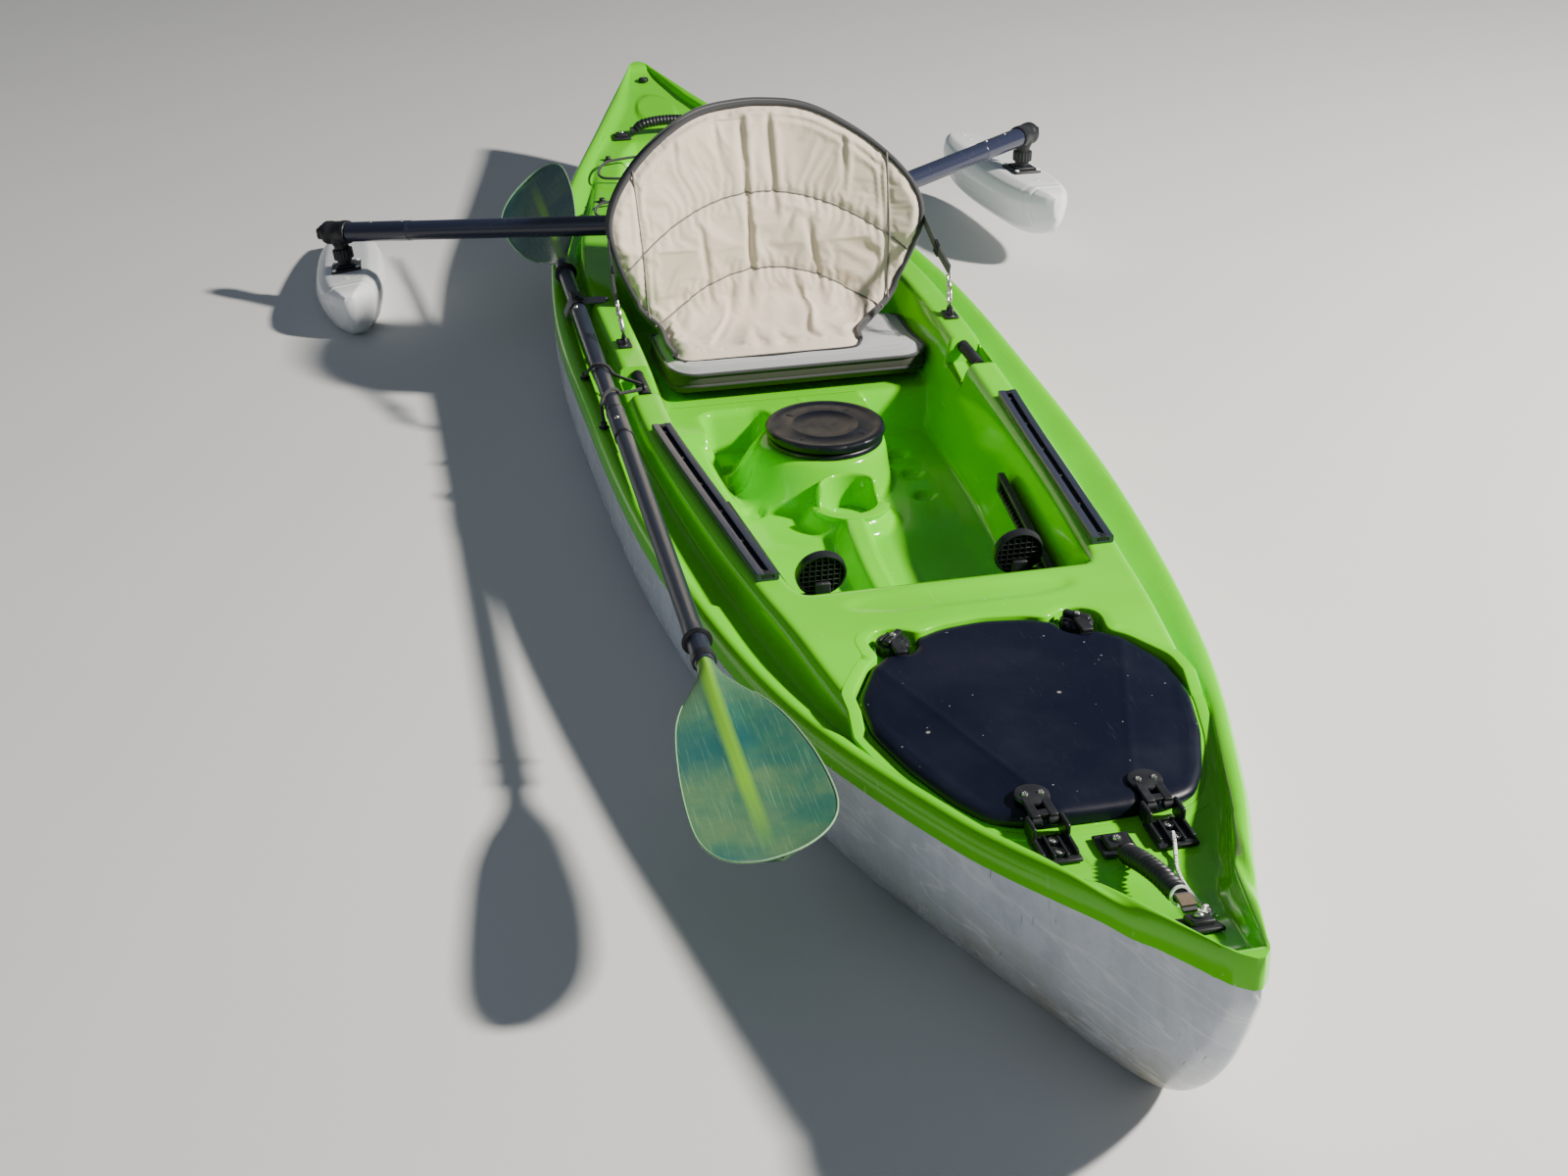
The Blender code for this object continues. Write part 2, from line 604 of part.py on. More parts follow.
def make_foot_pedal(side, tag):
    """Upright pedal on a stem and an arm that slides on the rail."""
    axis_place = Vector((PEDAL_X, side * PEDAL_SIDE, RAIL_HEIGHT))
    centre = axis_place + Vector((0, 0, PEDAL_RISE))
    axis = axis_empty("pedal_axis_" + tag, axis_place)
    pedal = turned("foot_pedal_" + tag, [(0.03, -0.008), (0.038, -0.002), (0.038, 0.005), (0.03, 0.009)],
                   centre, "black_fitting", 16, (-0.98, 0, 0.2))
    stem = block("pedal_stem_" + tag, (0.014, 0.026, PEDAL_RISE + 0.02),
                 centre + Vector((0.011, 0, -PEDAL_RISE / 2)), "black_fitting")
    add(pedal, stem)
    reach = rail_side(PEDAL_X + 0.027) - RAIL_THICKNESS / 2 - 2 * GAP - PEDAL_SIDE
    arm = block("pedal_arm_" + tag, (0.03, reach, 0.02), (PEDAL_X + 0.012, side * (PEDAL_SIDE + reach / 2), RAIL_HEIGHT),
                "black_fitting")
    add(pedal, arm)
    pivot_at(pedal, axis_place, axis)


def make_carry_bar(side, tag):
    """Grip bar across the side pocket."""
    y = side * (along(COAMING_INSIDE, BAR_X) + 0.022)
    z = deck_height(BAR_X) - 0.012
    half = BAR_LENGTH / 2 - GAP
    rod("carry_bar_" + tag, (BAR_X - half, y, z), (BAR_X + half, y, z), 0.011, "black_fitting", 14)


def deck_plate(name, x, y, size, paint="black_fitting"):
    """Small plate lying on the sloping deck at x."""
    slope = (deck_height(x + size[0] / 2) - deck_height(x - size[0] / 2)) / size[0]
    rise = abs(slope) * size[0] / 2
    base = rest_height(x, size[0] / 2) - rise
    return block(name, size, (x, y, base + size[2] / 2 + 0.0006), paint, 0.0015, tilt=-math.atan(slope))


def make_bow_handle():
    """Ribbed grip between two bolted plates on the fore deck."""
    deck_plate("bow_handle_plate_aft", HANDLE_AFT, 0.0, (0.046, 0.044, 0.012))
    deck_plate("bow_handle_plate_fore", HANDLE_FORE, 0.0, (0.046, 0.04, 0.012))
    aft = rest_height(HANDLE_AFT + 0.03) + GRIP_RADIUS + 0.001
    fore = rest_height(HANDLE_FORE - 0.03) + GRIP_RADIUS + 0.004
    middle = (HANDLE_AFT + HANDLE_FORE) / 2
    route = [(HANDLE_AFT + 0.0234, 0, aft), (HANDLE_AFT + 0.035, 0, aft), (HANDLE_AFT + 0.07, 0, aft + 0.016),
             (middle, 0, (aft + fore) / 2 + 0.02), (HANDLE_FORE - 0.065, 0, fore + 0.012),
             (HANDLE_FORE - 0.04, 0, fore + 0.002), (HANDLE_FORE - 0.026, 0, fore)]
    cord("bow_handle", route, GRIP_RADIUS, "black_fitting", 3, 0.8)


def make_stern_handle():
    """Ribbed grip across the stern deck between two plates."""
    x = STERN_HANDLE
    for side, tag in ((1, "port"), (-1, "starboard")):
        deck_plate("stern_handle_plate_" + tag, x, side * 0.105, (0.036, 0.04, 0.012))
    low = rest_height(x, GRIP_RADIUS) + GRIP_RADIUS + 0.001
    half = [(0.0846, low), (0.076, low + 0.001), (0.055, low + 0.014), (0.0, low + 0.02)]
    route = [(x, -y, height) for y, height in half] + [(x, y, height) for y, height in half[-2::-1]]
    cord("stern_handle", route, GRIP_RADIUS, "black_fitting", 3, 0.8)


def make_stern_fitting():
    """Small black cap on the stern tip."""
    x = -1.735
    turned("stern_fitting", [(0.012, 0.0), (0.012, 0.008), (0.008, 0.012)], (x, 0, rest_height(x, 0.012)),
           "black_fitting", 12)


def make_cushion():
    """Seat cushion, with its front edge raised."""
    half = CUSHION_HALF_WIDTH
    rings = []
    pan = SEAT_PAN + GAP
    under_back = 0.04
    under_rise = under_back * math.tan(-BACK_LEAN)
    stations = ((CUSHION_AFT, 0.114, 0.136, 0.03, 0.0),
                (BACK_FOOT.x - under_back, pan, CUSHION_SEAT - under_rise, 0.02, 0.0),
                (BACK_FOOT.x, pan, CUSHION_SEAT, 0.012, 0.0), (-0.28, pan, 0.152, 0.0, 0.006),
                (CUSHION_FORE - 0.035, 0.113, 0.166, 0.0, 0.008), (CUSHION_FORE, 0.128, 0.166, 0.012, 0.008))
    for x, low, high, inset, dip in stations:
        w = half - inset
        rings.append([(x, -w, low + 0.006), (x, -w + 0.012, low), (x, w - 0.012, low), (x, w, low + 0.006),
                      (x, w, high - 0.01), (x, w - 0.01, high), (x, 0, high - dip), (x, -w + 0.01, high),
                      (x, -w, high - 0.01)])
    return loft("seat_cushion", rings, "grey_fabric")


BACK_SHAPE = [(0.0, 0.206), (0.04, 0.234), (0.09, 0.262), (0.14, 0.283), (0.19, 0.292), (0.235, 0.279),
              (0.28, 0.249), (0.32, 0.21), (0.355, 0.164), (0.382, 0.118), (0.397, 0.07), (0.402, 0.02)]


def back_point(height, side, depth):
    """Point of the backrest: height up it, side from -1 to 1, depth behind its front face."""
    y = along(BACK_SHAPE, height) * side
    wrap = BACK_WRAP * min(1.0, height / 0.15)
    x = wrap * y * y - depth
    lean_x = x * math.cos(BACK_LEAN) + height * math.sin(BACK_LEAN)
    lean_z = height * math.cos(BACK_LEAN) - x * math.sin(BACK_LEAN)
    return BACK_FOOT + Vector((lean_x, y, lean_z))


def make_backrest():
    """High padded backrest, curved round the sitter, that folds forward at its foot."""
    axis = axis_empty("backrest_axis", BACK_FOLD)
    sides = [-1, -0.75, -0.4, 0, 0.4, 0.75, 1]
    rings = []
    for height, _ in BACK_SHAPE:
        front = [back_point(height, s, 0.008 if abs(s) == 1 else 0.0) for s in sides]
        back = [back_point(height, s, BACK_THICKNESS - (0.01 if abs(s) == 1 else 0.0)) for s in reversed(sides)]
        rings.append(front + back)
    back = loft("seat_backrest", rings, "grey_fabric")
    return pivot_at(back, BACK_FOLD, axis)


def strap_ends():
    """Upper end of the port backrest strap, on the wing, and its lower end, above the hook."""
    upper = back_point(0.17, 1.0, 0.014) + Vector((0.0, 0.0022, 0.0))
    lower = Vector((PAD_EYE.x - 0.035, PAD_EYE.y + 0.006, deck_height(PAD_EYE.x) + 0.075))
    return upper, lower


def make_seat_straps(side, tag):
    """Strap from the backrest to its snap hook, the hook, and the pad-eye on the deck."""
    upper, lower = strap_ends()
    middle = (upper + lower) / 2 + Vector((0, 0, -0.006))
    route = [upper, middle, lower]
    if side < 0:
        route = mirrored(route)
    strip("seat_strap_" + tag, route, 0.022, 0.003, "dark_fabric", (0.45, 0, 0.9))
    eye = Vector((PAD_EYE.x, side * PAD_EYE.y, rest_height(PAD_EYE.x, 0.02)))
    base = block("pad_eye_" + tag, (0.04, 0.024, 0.006), eye + Vector((0, 0, 0.003)), "black_fitting", 0.0015)
    loop = loft("pad_loop_" + tag, [[eye + Vector((x, dy, z)) for x, z in ((-0.012, 0.003), (-0.009, 0.018),
                                                                           (0.009, 0.018), (0.012, 0.003))]
                                    for dy in (-0.004, 0.004)], "black_fitting")
    add(base, loop)
    hook_low = eye + Vector((-0.004, 0, 0.0215))
    hook_high = Vector((lower.x, side * lower.y, lower.z)) + Vector((0.0007, 0, -0.0063))
    rod("snap_hook_" + tag, hook_low, hook_high, 0.006, "steel", 8)


def blade_rings(root, heading, normal, sign):
    """Rings of a spoon blade from its neck to its rounded tip."""
    across = heading.cross(normal).normalized()
    shape = [(0.0, 0.012, 0.012), (0.04, 0.022, 0.009), (0.1, 0.055, 0.005), (0.17, 0.08, 0.0035),
             (0.27, 0.086, 0.003), (0.36, 0.084, 0.003), (0.42, 0.07, 0.003), (0.455, 0.045, 0.003),
             (0.47, 0.018, 0.0025)]
    rings = []
    for distance, half_width, half_thick in shape:
        spoon = 0.02 * (distance / BLADE_LENGTH) ** 2
        centre = root + heading * distance + normal * spoon * sign
        rings.append([centre + across * half_width * math.cos(a) + normal * half_thick * math.sin(a)
                      for a in [2 * math.pi * i / 10 for i in range(10)]])
    return rings


def make_paddle():
    """Two-bladed paddle lying on the starboard side deck."""
    heading = (SHAFT_FORE - SHAFT_AFT).normalized()
    rod("paddle_shaft", SHAFT_AFT, SHAFT_FORE, SHAFT_RADIUS, "shaft_tube", 14)
    fore_normal = Matrix.Rotation(math.radians(6), 3, heading) @ Vector((0, 0, 1))
    aft_normal = Matrix.Rotation(FEATHER, 3, heading) @ Vector((0, 0, 1))
    loft("paddle_blade_fore", blade_rings(SHAFT_FORE + heading * GAP, heading, fore_normal, 1), "blade_green")
    loft("paddle_blade_aft", blade_rings(SHAFT_AFT - heading * GAP, -heading, aft_normal, 1), "blade_green")
    for place, tag in ((0.06, "fore"), (1.53, "aft")):
        start = SHAFT_FORE - heading * place
        ring = turned("drip_ring_" + tag, [(0.021, 0.0), (0.021, 0.009)], start, "black_fitting", 14, -heading)
        cut(ring, rod("drip_bore_" + tag, start + heading * 0.02, start - heading * 0.03, SHAFT_RADIUS + GAP,
                      "black_fitting", 14))


def shaft_height(x):
    """Centre of the paddle shaft at x."""
    t = (x - SHAFT_AFT.x) / (SHAFT_FORE.x - SHAFT_AFT.x)
    return SHAFT_AFT.lerp(SHAFT_FORE, t)


def over_shaft(x, angles, clearance, slant=0.0):
    """Points round the top of the paddle shaft, from outboard to inboard."""
    middle = shaft_height(x)
    radius = SHAFT_RADIUS + clearance
    points = []
    for i, angle in enumerate(angles):
        turn = math.radians(angle)
        shift = slant * (i / (len(angles) - 1) - 0.5)
        points.append(middle + Vector((shift, radius * math.cos(turn), radius * math.sin(turn))))
    return points


def make_paddle_holders():
    """Bungee zigzag and webbing strap that hold the shaft on the deck."""
    round_top = (165, 125, 90, 55, 20)
    aft = over_shaft(-0.085, [180 - a for a in round_top][::-1], 0.0045, 0.03)
    fore = over_shaft(0.03, [180 - a for a in round_top][::-1], 0.0045, -0.03)
    inboard = (0.0, -0.297, rest_height(0.0, 0.02) + 0.006)
    route = [(-0.13, -0.379, seam(-0.13) + LIP_HEIGHT + 0.006)] + aft + [inboard] + fore[::-1]
    route.append((0.085, -0.379, seam(0.085) + LIP_HEIGHT + 0.006))
    cord("paddle_bungee", route, 0.003, "black_fitting", 2, 2.4)
    for x, tag in ((-0.13, "aft"), (0.085, "fore")):
        turned("bungee_anchor_" + tag, [(0.009, 0.0), (0.009, 0.0022)], (x, -0.379, seam(x) + LIP_HEIGHT + 0.0006),
               "black_fitting", 10)
    x = -0.42
    arc = over_shaft(x, (42, 65, 90, 125, 155), 0.0022)
    start = Vector((x, -0.298, rest_height(x, 0.015) + 0.0022))
    end = Vector((x, -0.373, seam(x) + LIP_HEIGHT + 0.007))
    strip("paddle_strap", [start, start + Vector((0, -0.012, 0.0))] + arc + [end], 0.03, 0.0025, "dark_fabric",
          (1, 0, 0))


def make_tankwell_cords():
    """Cord laced across the tankwell between side anchors."""
    places = [(-1.27, 0.150), (-1.13, 0.185), (-1.0, 0.205), (-0.88, 0.23)]
    route = []
    for i, (x, y) in enumerate(places):
        side = 1 if i % 2 == 0 else -1
        z = rest_height(x, 0.03) + 0.012
        route.append((x, side * y, z))
        route.append((x + 0.03, -side * along([(p[0], p[1]) for p in places], x + 0.03), z))
    cord("tankwell_cord", route, 0.003, "black_fitting", 2, 9.0)
    for x, y in (places[0], places[2]):
        for side, tag in ((1, "port"), (-1, "starboard")):
            name = "cord_anchor_%s_%s" % (tag, "aft" if x < -1.2 else "fore")
            turned(name, [(0.01, 0.0), (0.01, 0.0086)], (x - 0.012, side * (y + 0.008), rest_height(x, 0.02)),
                   "black_fitting", 10)


def make_outrigger_mount(side, tag):
    """Bolted base with two cheeks and a clamp knob for one outrigger arm."""
    pivot = Vector((ARM_PIVOT.x, side * ARM_PIVOT.y, ARM_PIVOT.z))
    end = ARM_END if side < 0 else PORT_ARM_END
    turn = math.atan2(side * abs(end.y) - pivot.y, end.x - pivot.x)
    deck = rest_height(pivot.x, 0.06)
    base = block("outrigger_mount_" + tag, (0.09, 0.08, 0.008), (pivot.x, pivot.y, deck + 0.004), "black_fitting",
                 turn=turn)
    across = Vector((-math.sin(turn), math.cos(turn), 0))
    for s in (-1, 1):
        place = pivot + across * s * (ARM_RADIUS + GAP + CHEEK / 2)
        cheek = block("mount_cheek_%s_%d" % (tag, s), (0.05, CHEEK, ARM_PIVOT.z + 0.018 - deck - 0.004),
                      (place.x, place.y, (deck + 0.004 + ARM_PIVOT.z + 0.018) / 2), "black_fitting", turn=turn)
        add(base, cheek)
    reach = ARM_RADIUS + GAP + CHEEK + 0.004
    head = PIN_RADIUS + 0.004
    pin = turned("mount_pin_" + tag, [(head, 0.0), (head, 0.0045), (PIN_RADIUS, 0.0046),
                                      (PIN_RADIUS, 2 * reach - 0.0046), (head, 2 * reach - 0.0045), (head, 2 * reach)],
                 pivot - across * reach, "black_fitting", PIN_SIDES, across)
    add(base, pin)
    forward = across if across.x > 0 else -across
    knob_start = Vector((pivot.x, pivot.y, deck + 0.024)) + forward * (ARM_RADIUS + CHEEK - 0.002)
    knob = turned("mount_knob_" + tag, [(0.008, 0.0), (0.008, 0.008), (0.02, 0.0081), (0.02, 0.024)], knob_start,
                  "black_fitting", 12, forward)
    add(base, knob)


def make_outrigger(side, tag):
    """Arm, elbow with post, and float that tilt together at the mount."""
    pivot = Vector((ARM_PIVOT.x, side * ARM_PIVOT.y, ARM_PIVOT.z))
    end = ARM_END if side < 0 else PORT_ARM_END
    end = Vector((end.x, side * abs(end.y), end.z))
    axis = axis_empty("arm_axis_" + tag, pivot)
    heading = (end - pivot).normalized()
    arm = rod("outrigger_arm_" + tag, pivot - heading * ARM_HEEL, end - heading * 0.03, ARM_RADIUS, "arm_tube", 16)
    across = Vector((-heading.y, heading.x, 0)).normalized() * (ARM_RADIUS + 0.005)
    bore = (PIN_RADIUS + PIN_FIT) / math.cos(math.pi / PIN_SIDES)
    cut(arm, rod("arm_bore_" + tag, pivot - across, pivot + across, bore, "arm_tube", PIN_SIDES))
    down = (Vector((0, 0, -1)) - heading * heading.dot(Vector((0, 0, -1)))).normalized()
    elbow = rod("outrigger_elbow_" + tag, end - heading * (0.03 - GAP), end + heading * 0.03, ARM_RADIUS + 0.004,
                "black_fitting", 14)
    post = rod("elbow_post_" + tag, end + down * 0.002, end + down * (FLOAT_DROP - 0.006), 0.0155, "black_fitting", 12)
    collar = rod("post_collar_" + tag, end + down * 0.034, end + down * 0.056, 0.021, "black_fitting", 14)
    plate = block("post_plate_" + tag, (0.075, 0.062, 0.01), (0, 0, 0), "black_fitting", 0.002)
    knob = rod("elbow_knob_" + tag, end + heading * 0.028, end + heading * 0.048, 0.015, "black_fitting", 10)
    yaw = math.radians(-1.5 if side < 0 else 6)
    fore = Vector((math.cos(yaw), math.sin(yaw), 0))
    fore = (fore - down * fore.dot(down)).normalized()
    athwart = down.cross(fore)
    seat = end + down * FLOAT_DROP
    frame = Matrix((fore, athwart, -down)).transposed().to_4x4()
    plate.matrix_world = Matrix.Translation(seat - down * (0.005 + GAP)) @ frame
    add(elbow, post, collar, plate, knob)
    floated = make_float(tag, seat, fore, athwart, down)
    for obj in (arm, elbow, floated):
        pivot_at(obj, pivot, axis)


def make_float(tag, seat, fore, athwart, down):
    """Hollow moulded float with a pointed nose, a fuller tail and a drain hole."""
    shape = [(-0.5, 0.16, 0.42, 0.05), (-0.47, 0.5, 0.75, 0.0), (-0.38, 0.78, 0.92, 0.0), (-0.2, 0.96, 1.0, 0.0),
             (0.1, 1.0, 1.0, 0.0), (0.28, 0.9, 0.96, 0.0), (0.4, 0.66, 0.84, 0.0), (0.47, 0.36, 0.66, 0.04),
             (0.5, 0.14, 0.42, 0.1)]

    def ring(entry, inset):
        place, width, depth, drop = entry
        half = max(FLOAT_WIDTH / 2 * width - inset, 0.003)
        top = FLOAT_DEPTH * drop + inset
        low = max(FLOAT_DEPTH * depth + FLOAT_DEPTH * drop * 0.5 - inset, top + 0.004)
        outline = [(half * 0.62, top), (half * 0.95, top + (low - top) * 0.14), (half, top + (low - top) * 0.36),
                   (half * 0.72, top + (low - top) * 0.78), (half * 0.25, low)]
        outline += [(-y, z) for y, z in outline[::-1]]
        centre = seat + fore * (place * FLOAT_LENGTH * (1 - inset * 2) + FLOAT_SHIFT)
        return [centre + athwart * y + down * z for y, z in outline]

    outer = loft("outrigger_float_" + tag, [ring(entry, 0.0) for entry in shape], "float_white")
    inner = loft("float_hollow_" + tag, [ring(entry, 0.004) for entry in shape[1:-1]], "float_white")
    drain_place = seat + fore * (-0.36 * FLOAT_LENGTH + FLOAT_SHIFT)
    drain = rod("float_drain_" + tag, drain_place - down * 0.01, drain_place + down * 0.03, 0.004, "float_white", 8)
    return cut(outer, inner, drain)


def make_bow_rope():
    """Mooring line tied from the port hatch hinge to the bow handle, with its knot and webbing tab."""
    places = [(1.452, 0.07, 0.0091), (1.472, 0.064, 0.009), (1.498, 0.055, 0.004), (1.53, 0.044, 0.004),
              (1.575, 0.036, 0.004), (1.625, 0.03, 0.005), (1.652, 0.024, 0.006)]
    route = [(x, y, rest_height(x, 0.012) + lift) for x, y, lift in places]
    cord("bow_rope", route, 0.0025, "rope_white", 2, 3.0)


def main():
    for obj in list(bpy.data.objects):
        bpy.data.objects.remove(obj, do_unlink=True)
    make_hull()
    make_deck()
    make_front_hatch()
    make_hinge_plates()
    make_round_hatch()
    for maker in (make_gear_track, make_foot_rail, make_foot_pedal, make_carry_bar, make_seat_straps,
                  make_outrigger_mount, make_outrigger):
        side_pair(maker)
    make_bow_handle()
    make_stern_handle()
    make_stern_fitting()
    make_cushion()
    make_backrest()
    make_paddle()
    make_paddle_holders()
    make_tankwell_cords()
    make_bow_rope()


main()
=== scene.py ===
"""Looks of a sit-on-top fishing kayak with a folding seat, a feathered paddle and two outrigger floats.

Metres, +X towards the bow, +Y to port, +Z up, with the origin amidships on the waterline.
"""

import math

import bmesh
import bpy
import numpy as np
from bpy.props import FloatProperty, FloatVectorProperty, PointerProperty
from mathutils import Matrix, Vector
from mathutils.geometry import delaunay_2d_cdt


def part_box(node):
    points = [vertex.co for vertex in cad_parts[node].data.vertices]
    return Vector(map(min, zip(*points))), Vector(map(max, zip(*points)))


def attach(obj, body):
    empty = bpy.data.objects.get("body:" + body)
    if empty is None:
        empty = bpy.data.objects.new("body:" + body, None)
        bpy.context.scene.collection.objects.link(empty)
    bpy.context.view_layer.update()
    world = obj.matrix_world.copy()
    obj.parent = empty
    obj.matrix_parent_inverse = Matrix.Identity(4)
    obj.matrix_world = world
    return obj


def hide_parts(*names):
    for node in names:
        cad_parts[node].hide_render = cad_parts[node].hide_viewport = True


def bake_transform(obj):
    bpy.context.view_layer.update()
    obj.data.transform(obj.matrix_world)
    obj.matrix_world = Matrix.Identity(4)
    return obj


bl_info = {
    "name": "Fishing Kayak",
    "version": (1, 0, 0),
    "blender": (4, 5, 0),
    "location": "View3D > Sidebar > Kayak",
    "description": "Dresses a fishing kayak's solids with fine shapes and finishes",
    "category": "Object",
}

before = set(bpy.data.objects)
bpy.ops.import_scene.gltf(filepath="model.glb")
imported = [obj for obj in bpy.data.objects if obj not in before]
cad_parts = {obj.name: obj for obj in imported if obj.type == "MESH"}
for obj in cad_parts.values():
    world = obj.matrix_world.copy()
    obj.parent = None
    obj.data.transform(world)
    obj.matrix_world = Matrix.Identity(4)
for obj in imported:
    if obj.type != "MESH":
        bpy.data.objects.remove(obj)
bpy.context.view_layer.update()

# Lines of the boat along its length, as (x, value) knots
HALF_BEAM = [(-1.83, 0.016), (-1.5, 0.139), (-1.0, 0.307), (-0.5, 0.386), (0.0, 0.395), (0.5, 0.376),
             (1.0, 0.303), (1.4, 0.182), (1.65, 0.081), (1.83, 0.013)]
SEAM_HEIGHT = [(-1.83, 0.239), (-0.9, 0.152), (0.0, 0.134), (0.9, 0.141), (1.4, 0.194), (1.83, 0.286)]
KEEL_HEIGHT = [(-1.83, 0.225), (-1.79, 0.12), (-1.72, 0.03), (-1.6, -0.025), (-1.3, -0.058), (-0.7, -0.076),
               (0.0, -0.08), (0.7, -0.076), (1.2, -0.06), (1.5, -0.025), (1.62, 0.0), (1.7, 0.05),
               (1.78, 0.15), (1.83, 0.27)]
HULL_FULLNESS = [(-1.83, 1.7), (-1.4, 2.3), (-1.0, 2.9), (0.0, 3.3), (0.9, 3.0), (1.17, 2.8), (1.35, 2.43),
                 (1.56, 2.05), (1.83, 1.6)]
DECK_HEIGHT = [(-1.83, 0.265), (-1.4, 0.212), (-0.9, 0.2), (-0.2, 0.207), (0.15, 0.191), (0.6, 0.203),
               (0.79, 0.211), (0.86, 0.216), (0.935, 0.2195), (0.96, 0.2195), (1.05, 0.2195), (1.12, 0.2195),
               (1.125, 0.2193), (1.155, 0.199), (1.16, 0.1988), (1.4, 0.1988), (1.43, 0.1988), (1.48, 0.2005),
               (1.6, 0.224), (1.69, 0.258), (1.76, 0.281), (1.83, 0.302)]
COAMING_INSIDE = [(-1.83, 0.0), (-1.4, 0.1), (-1.0, 0.185), (-0.8, 0.235), (-0.5, 0.268), (-0.2, 0.272),
                  (0.15, 0.268), (0.5, 0.246), (0.79, 0.215), (1.07, 0.18), (1.25, 0.15), (1.42, 0.09),
                  (1.83, 0.0)]
# Front hatch lid's outline on the port side, as (x, y) points
LID_OUTLINE = [(0.935, 0.0), (0.943, 0.06), (0.97, 0.115), (1.02, 0.172), (1.085, 0.208), (1.16, 0.21),
               (1.25, 0.188), (1.33, 0.157), (1.378, 0.128), (1.398, 0.085), (1.4, 0.0)]
COAMING_WIDTH = 0.05
PLATFORM = 0.198
# Wells as (aft end, fore end, floor height)
TANKWELL = (-1.37, -0.83, 0.1)
SEAT_WELL = (-0.53, -0.12, 0.105)
FOOTWELL = (-0.12, 0.79, 0.03)
# Round openings as (x, y, height), and drains as (x, distance from the centre line)
ROUND_HATCH = (0.075, 0.0, 0.112)
CUP = (0.245, 0.0, 0.088)
DRAINS = ((0.182, 0.148), (0.095, 0.15), (0.01, 0.148))
# Front hatch's hinge axis, hinges, latches and lid
LID_AXIS = Vector((1.409, 0.0, 0.2175))
HINGE_Y = 0.07
LATCH_X = 0.967
LATCH_Y = 0.128
LATCH_POCKET = 0.031
LID_THICKNESS = 0.022
# Gear tracks, foot rails and pedals
TRACK_AFT = 0.156
TRACK_FORE = 0.743
RAIL_AFT = 0.34
RAIL_FORE = 0.7
RAIL_HEIGHT = 0.125
PEDAL_X = 0.655
PEDAL_SIDE = 0.15
PEDAL_RISE = 0.04
# Middle and half length of the carry bars
BAR_X = -0.04
BAR_REACH = 0.0495
# Seat back: its fold, its lean, its half width up the height, and the flap under the fold
BACK_FOOT = Vector((-0.36, 0.0, 0.1549))
BACK_LEAN = math.radians(-20)
BACK_SHAPE = [(-0.12, 0.152), (-0.11, 0.168), (-0.06, 0.176), (0.0, 0.202), (0.04, 0.234), (0.09, 0.262),
              (0.14, 0.283), (0.19, 0.292), (0.235, 0.279), (0.28, 0.249), (0.32, 0.21), (0.355, 0.164),
              (0.382, 0.118), (0.397, 0.07), (0.402, 0.02)]
FOOT_FORWARD = [(-0.12, -0.19), (-0.09, -0.22), (-0.06, -0.25), (-0.03, -0.285), (0.0, -0.325),
                (0.03, -0.357), (0.06, -0.3805), (0.1, -0.394)]
FOOT_RISE = [(-0.12, 0.1665), (-0.09, 0.1715), (-0.06, 0.1725), (-0.03, 0.174), (0.0, 0.1775), (0.03, 0.19),
             (0.06, 0.2113), (0.1, 0.249)]
# Ends and radius of the paddle's shaft
SHAFT_AFT = Vector((-0.66, -0.345, 0.1985))
SHAFT_FORE = Vector((0.93, -0.374, 0.1965))
SHAFT_RADIUS = 0.0145
# Free space between pieces that don't touch
GAP = 0.0003
SIDES = ((1, "port"), (-1, "starboard"))


def along(knots, x):
    """Smooth value through a list of (x, value) knots, at one x or at an array of them."""
    xs = np.array([k[0] for k in knots])
    vs = np.array([k[1] for k in knots])
    low = np.maximum(np.arange(len(xs)) - 1, 0)
    high = np.minimum(np.arange(len(xs)) + 1, len(xs) - 1)
    slopes = (vs[high] - vs[low]) / (xs[high] - xs[low])
    place = np.clip(np.asarray(x, float), xs[0], xs[-1])
    index = np.clip(np.searchsorted(xs, place, side="right") - 1, 0, len(xs) - 2)
    span = xs[index + 1] - xs[index]
    t = (place - xs[index]) / span
    value = ((2 * t**3 - 3 * t**2 + 1) * vs[index] + (t**3 - 2 * t**2 + t) * span * slopes[index]
             + (3 * t**2 - 2 * t**3) * vs[index + 1] + (t**3 - t**2) * span * slopes[index + 1])
    return value if np.ndim(x) else float(value)


def step(low, high, value):
    """Smooth rise from 0 at low to 1 at high."""
    t = np.clip((value - low) / (high - low), 0, 1)
    return t * t * (3 - 2 * t)


def soft_max(a, b, fillet):
    """The larger of two heights, with a fillet where they meet."""
    h = np.clip(0.5 + 0.5 * (a - b) / fillet, 0, 1)
    return b * (1 - h) + a * h + fillet * h * (1 - h)


def settings():
    """The sizes and the colours that a user may change."""
    return bpy.context.scene.kayak_sizes, bpy.context.scene.kayak_colours


# Mesh helpers


def piece(name, verts, faces, paint, body="kayak", stands_for=(), slot=None, angle=40):
    """Finished mesh object: smooth shaded, painted, riding on its body."""
    mesh = bpy.data.meshes.new(name)
    mesh.from_pydata([tuple(v) for v in verts], [], faces)
    mesh.validate()
    mesh.update()
    bm = bmesh.new()
    bm.from_mesh(mesh)
    bmesh.ops.recalc_face_normals(bm, faces=bm.faces[:])
    bm.to_mesh(mesh)
    bm.free()
    mesh.shade_smooth()
    mesh.set_sharp_from_angle(angle=math.radians(angle))
    mesh.materials.append(paint)
    obj = bpy.data.objects.new(name, mesh)
    bpy.context.collection.objects.link(obj)
    return settle(obj, body, stands_for)


def settle(obj, body="kayak", stands_for=()):
    """Put a piece on its body and name the solids that it stands for."""
    if body:
        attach(obj, body)
    if stands_for:
        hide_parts(*stands_for)
    return obj


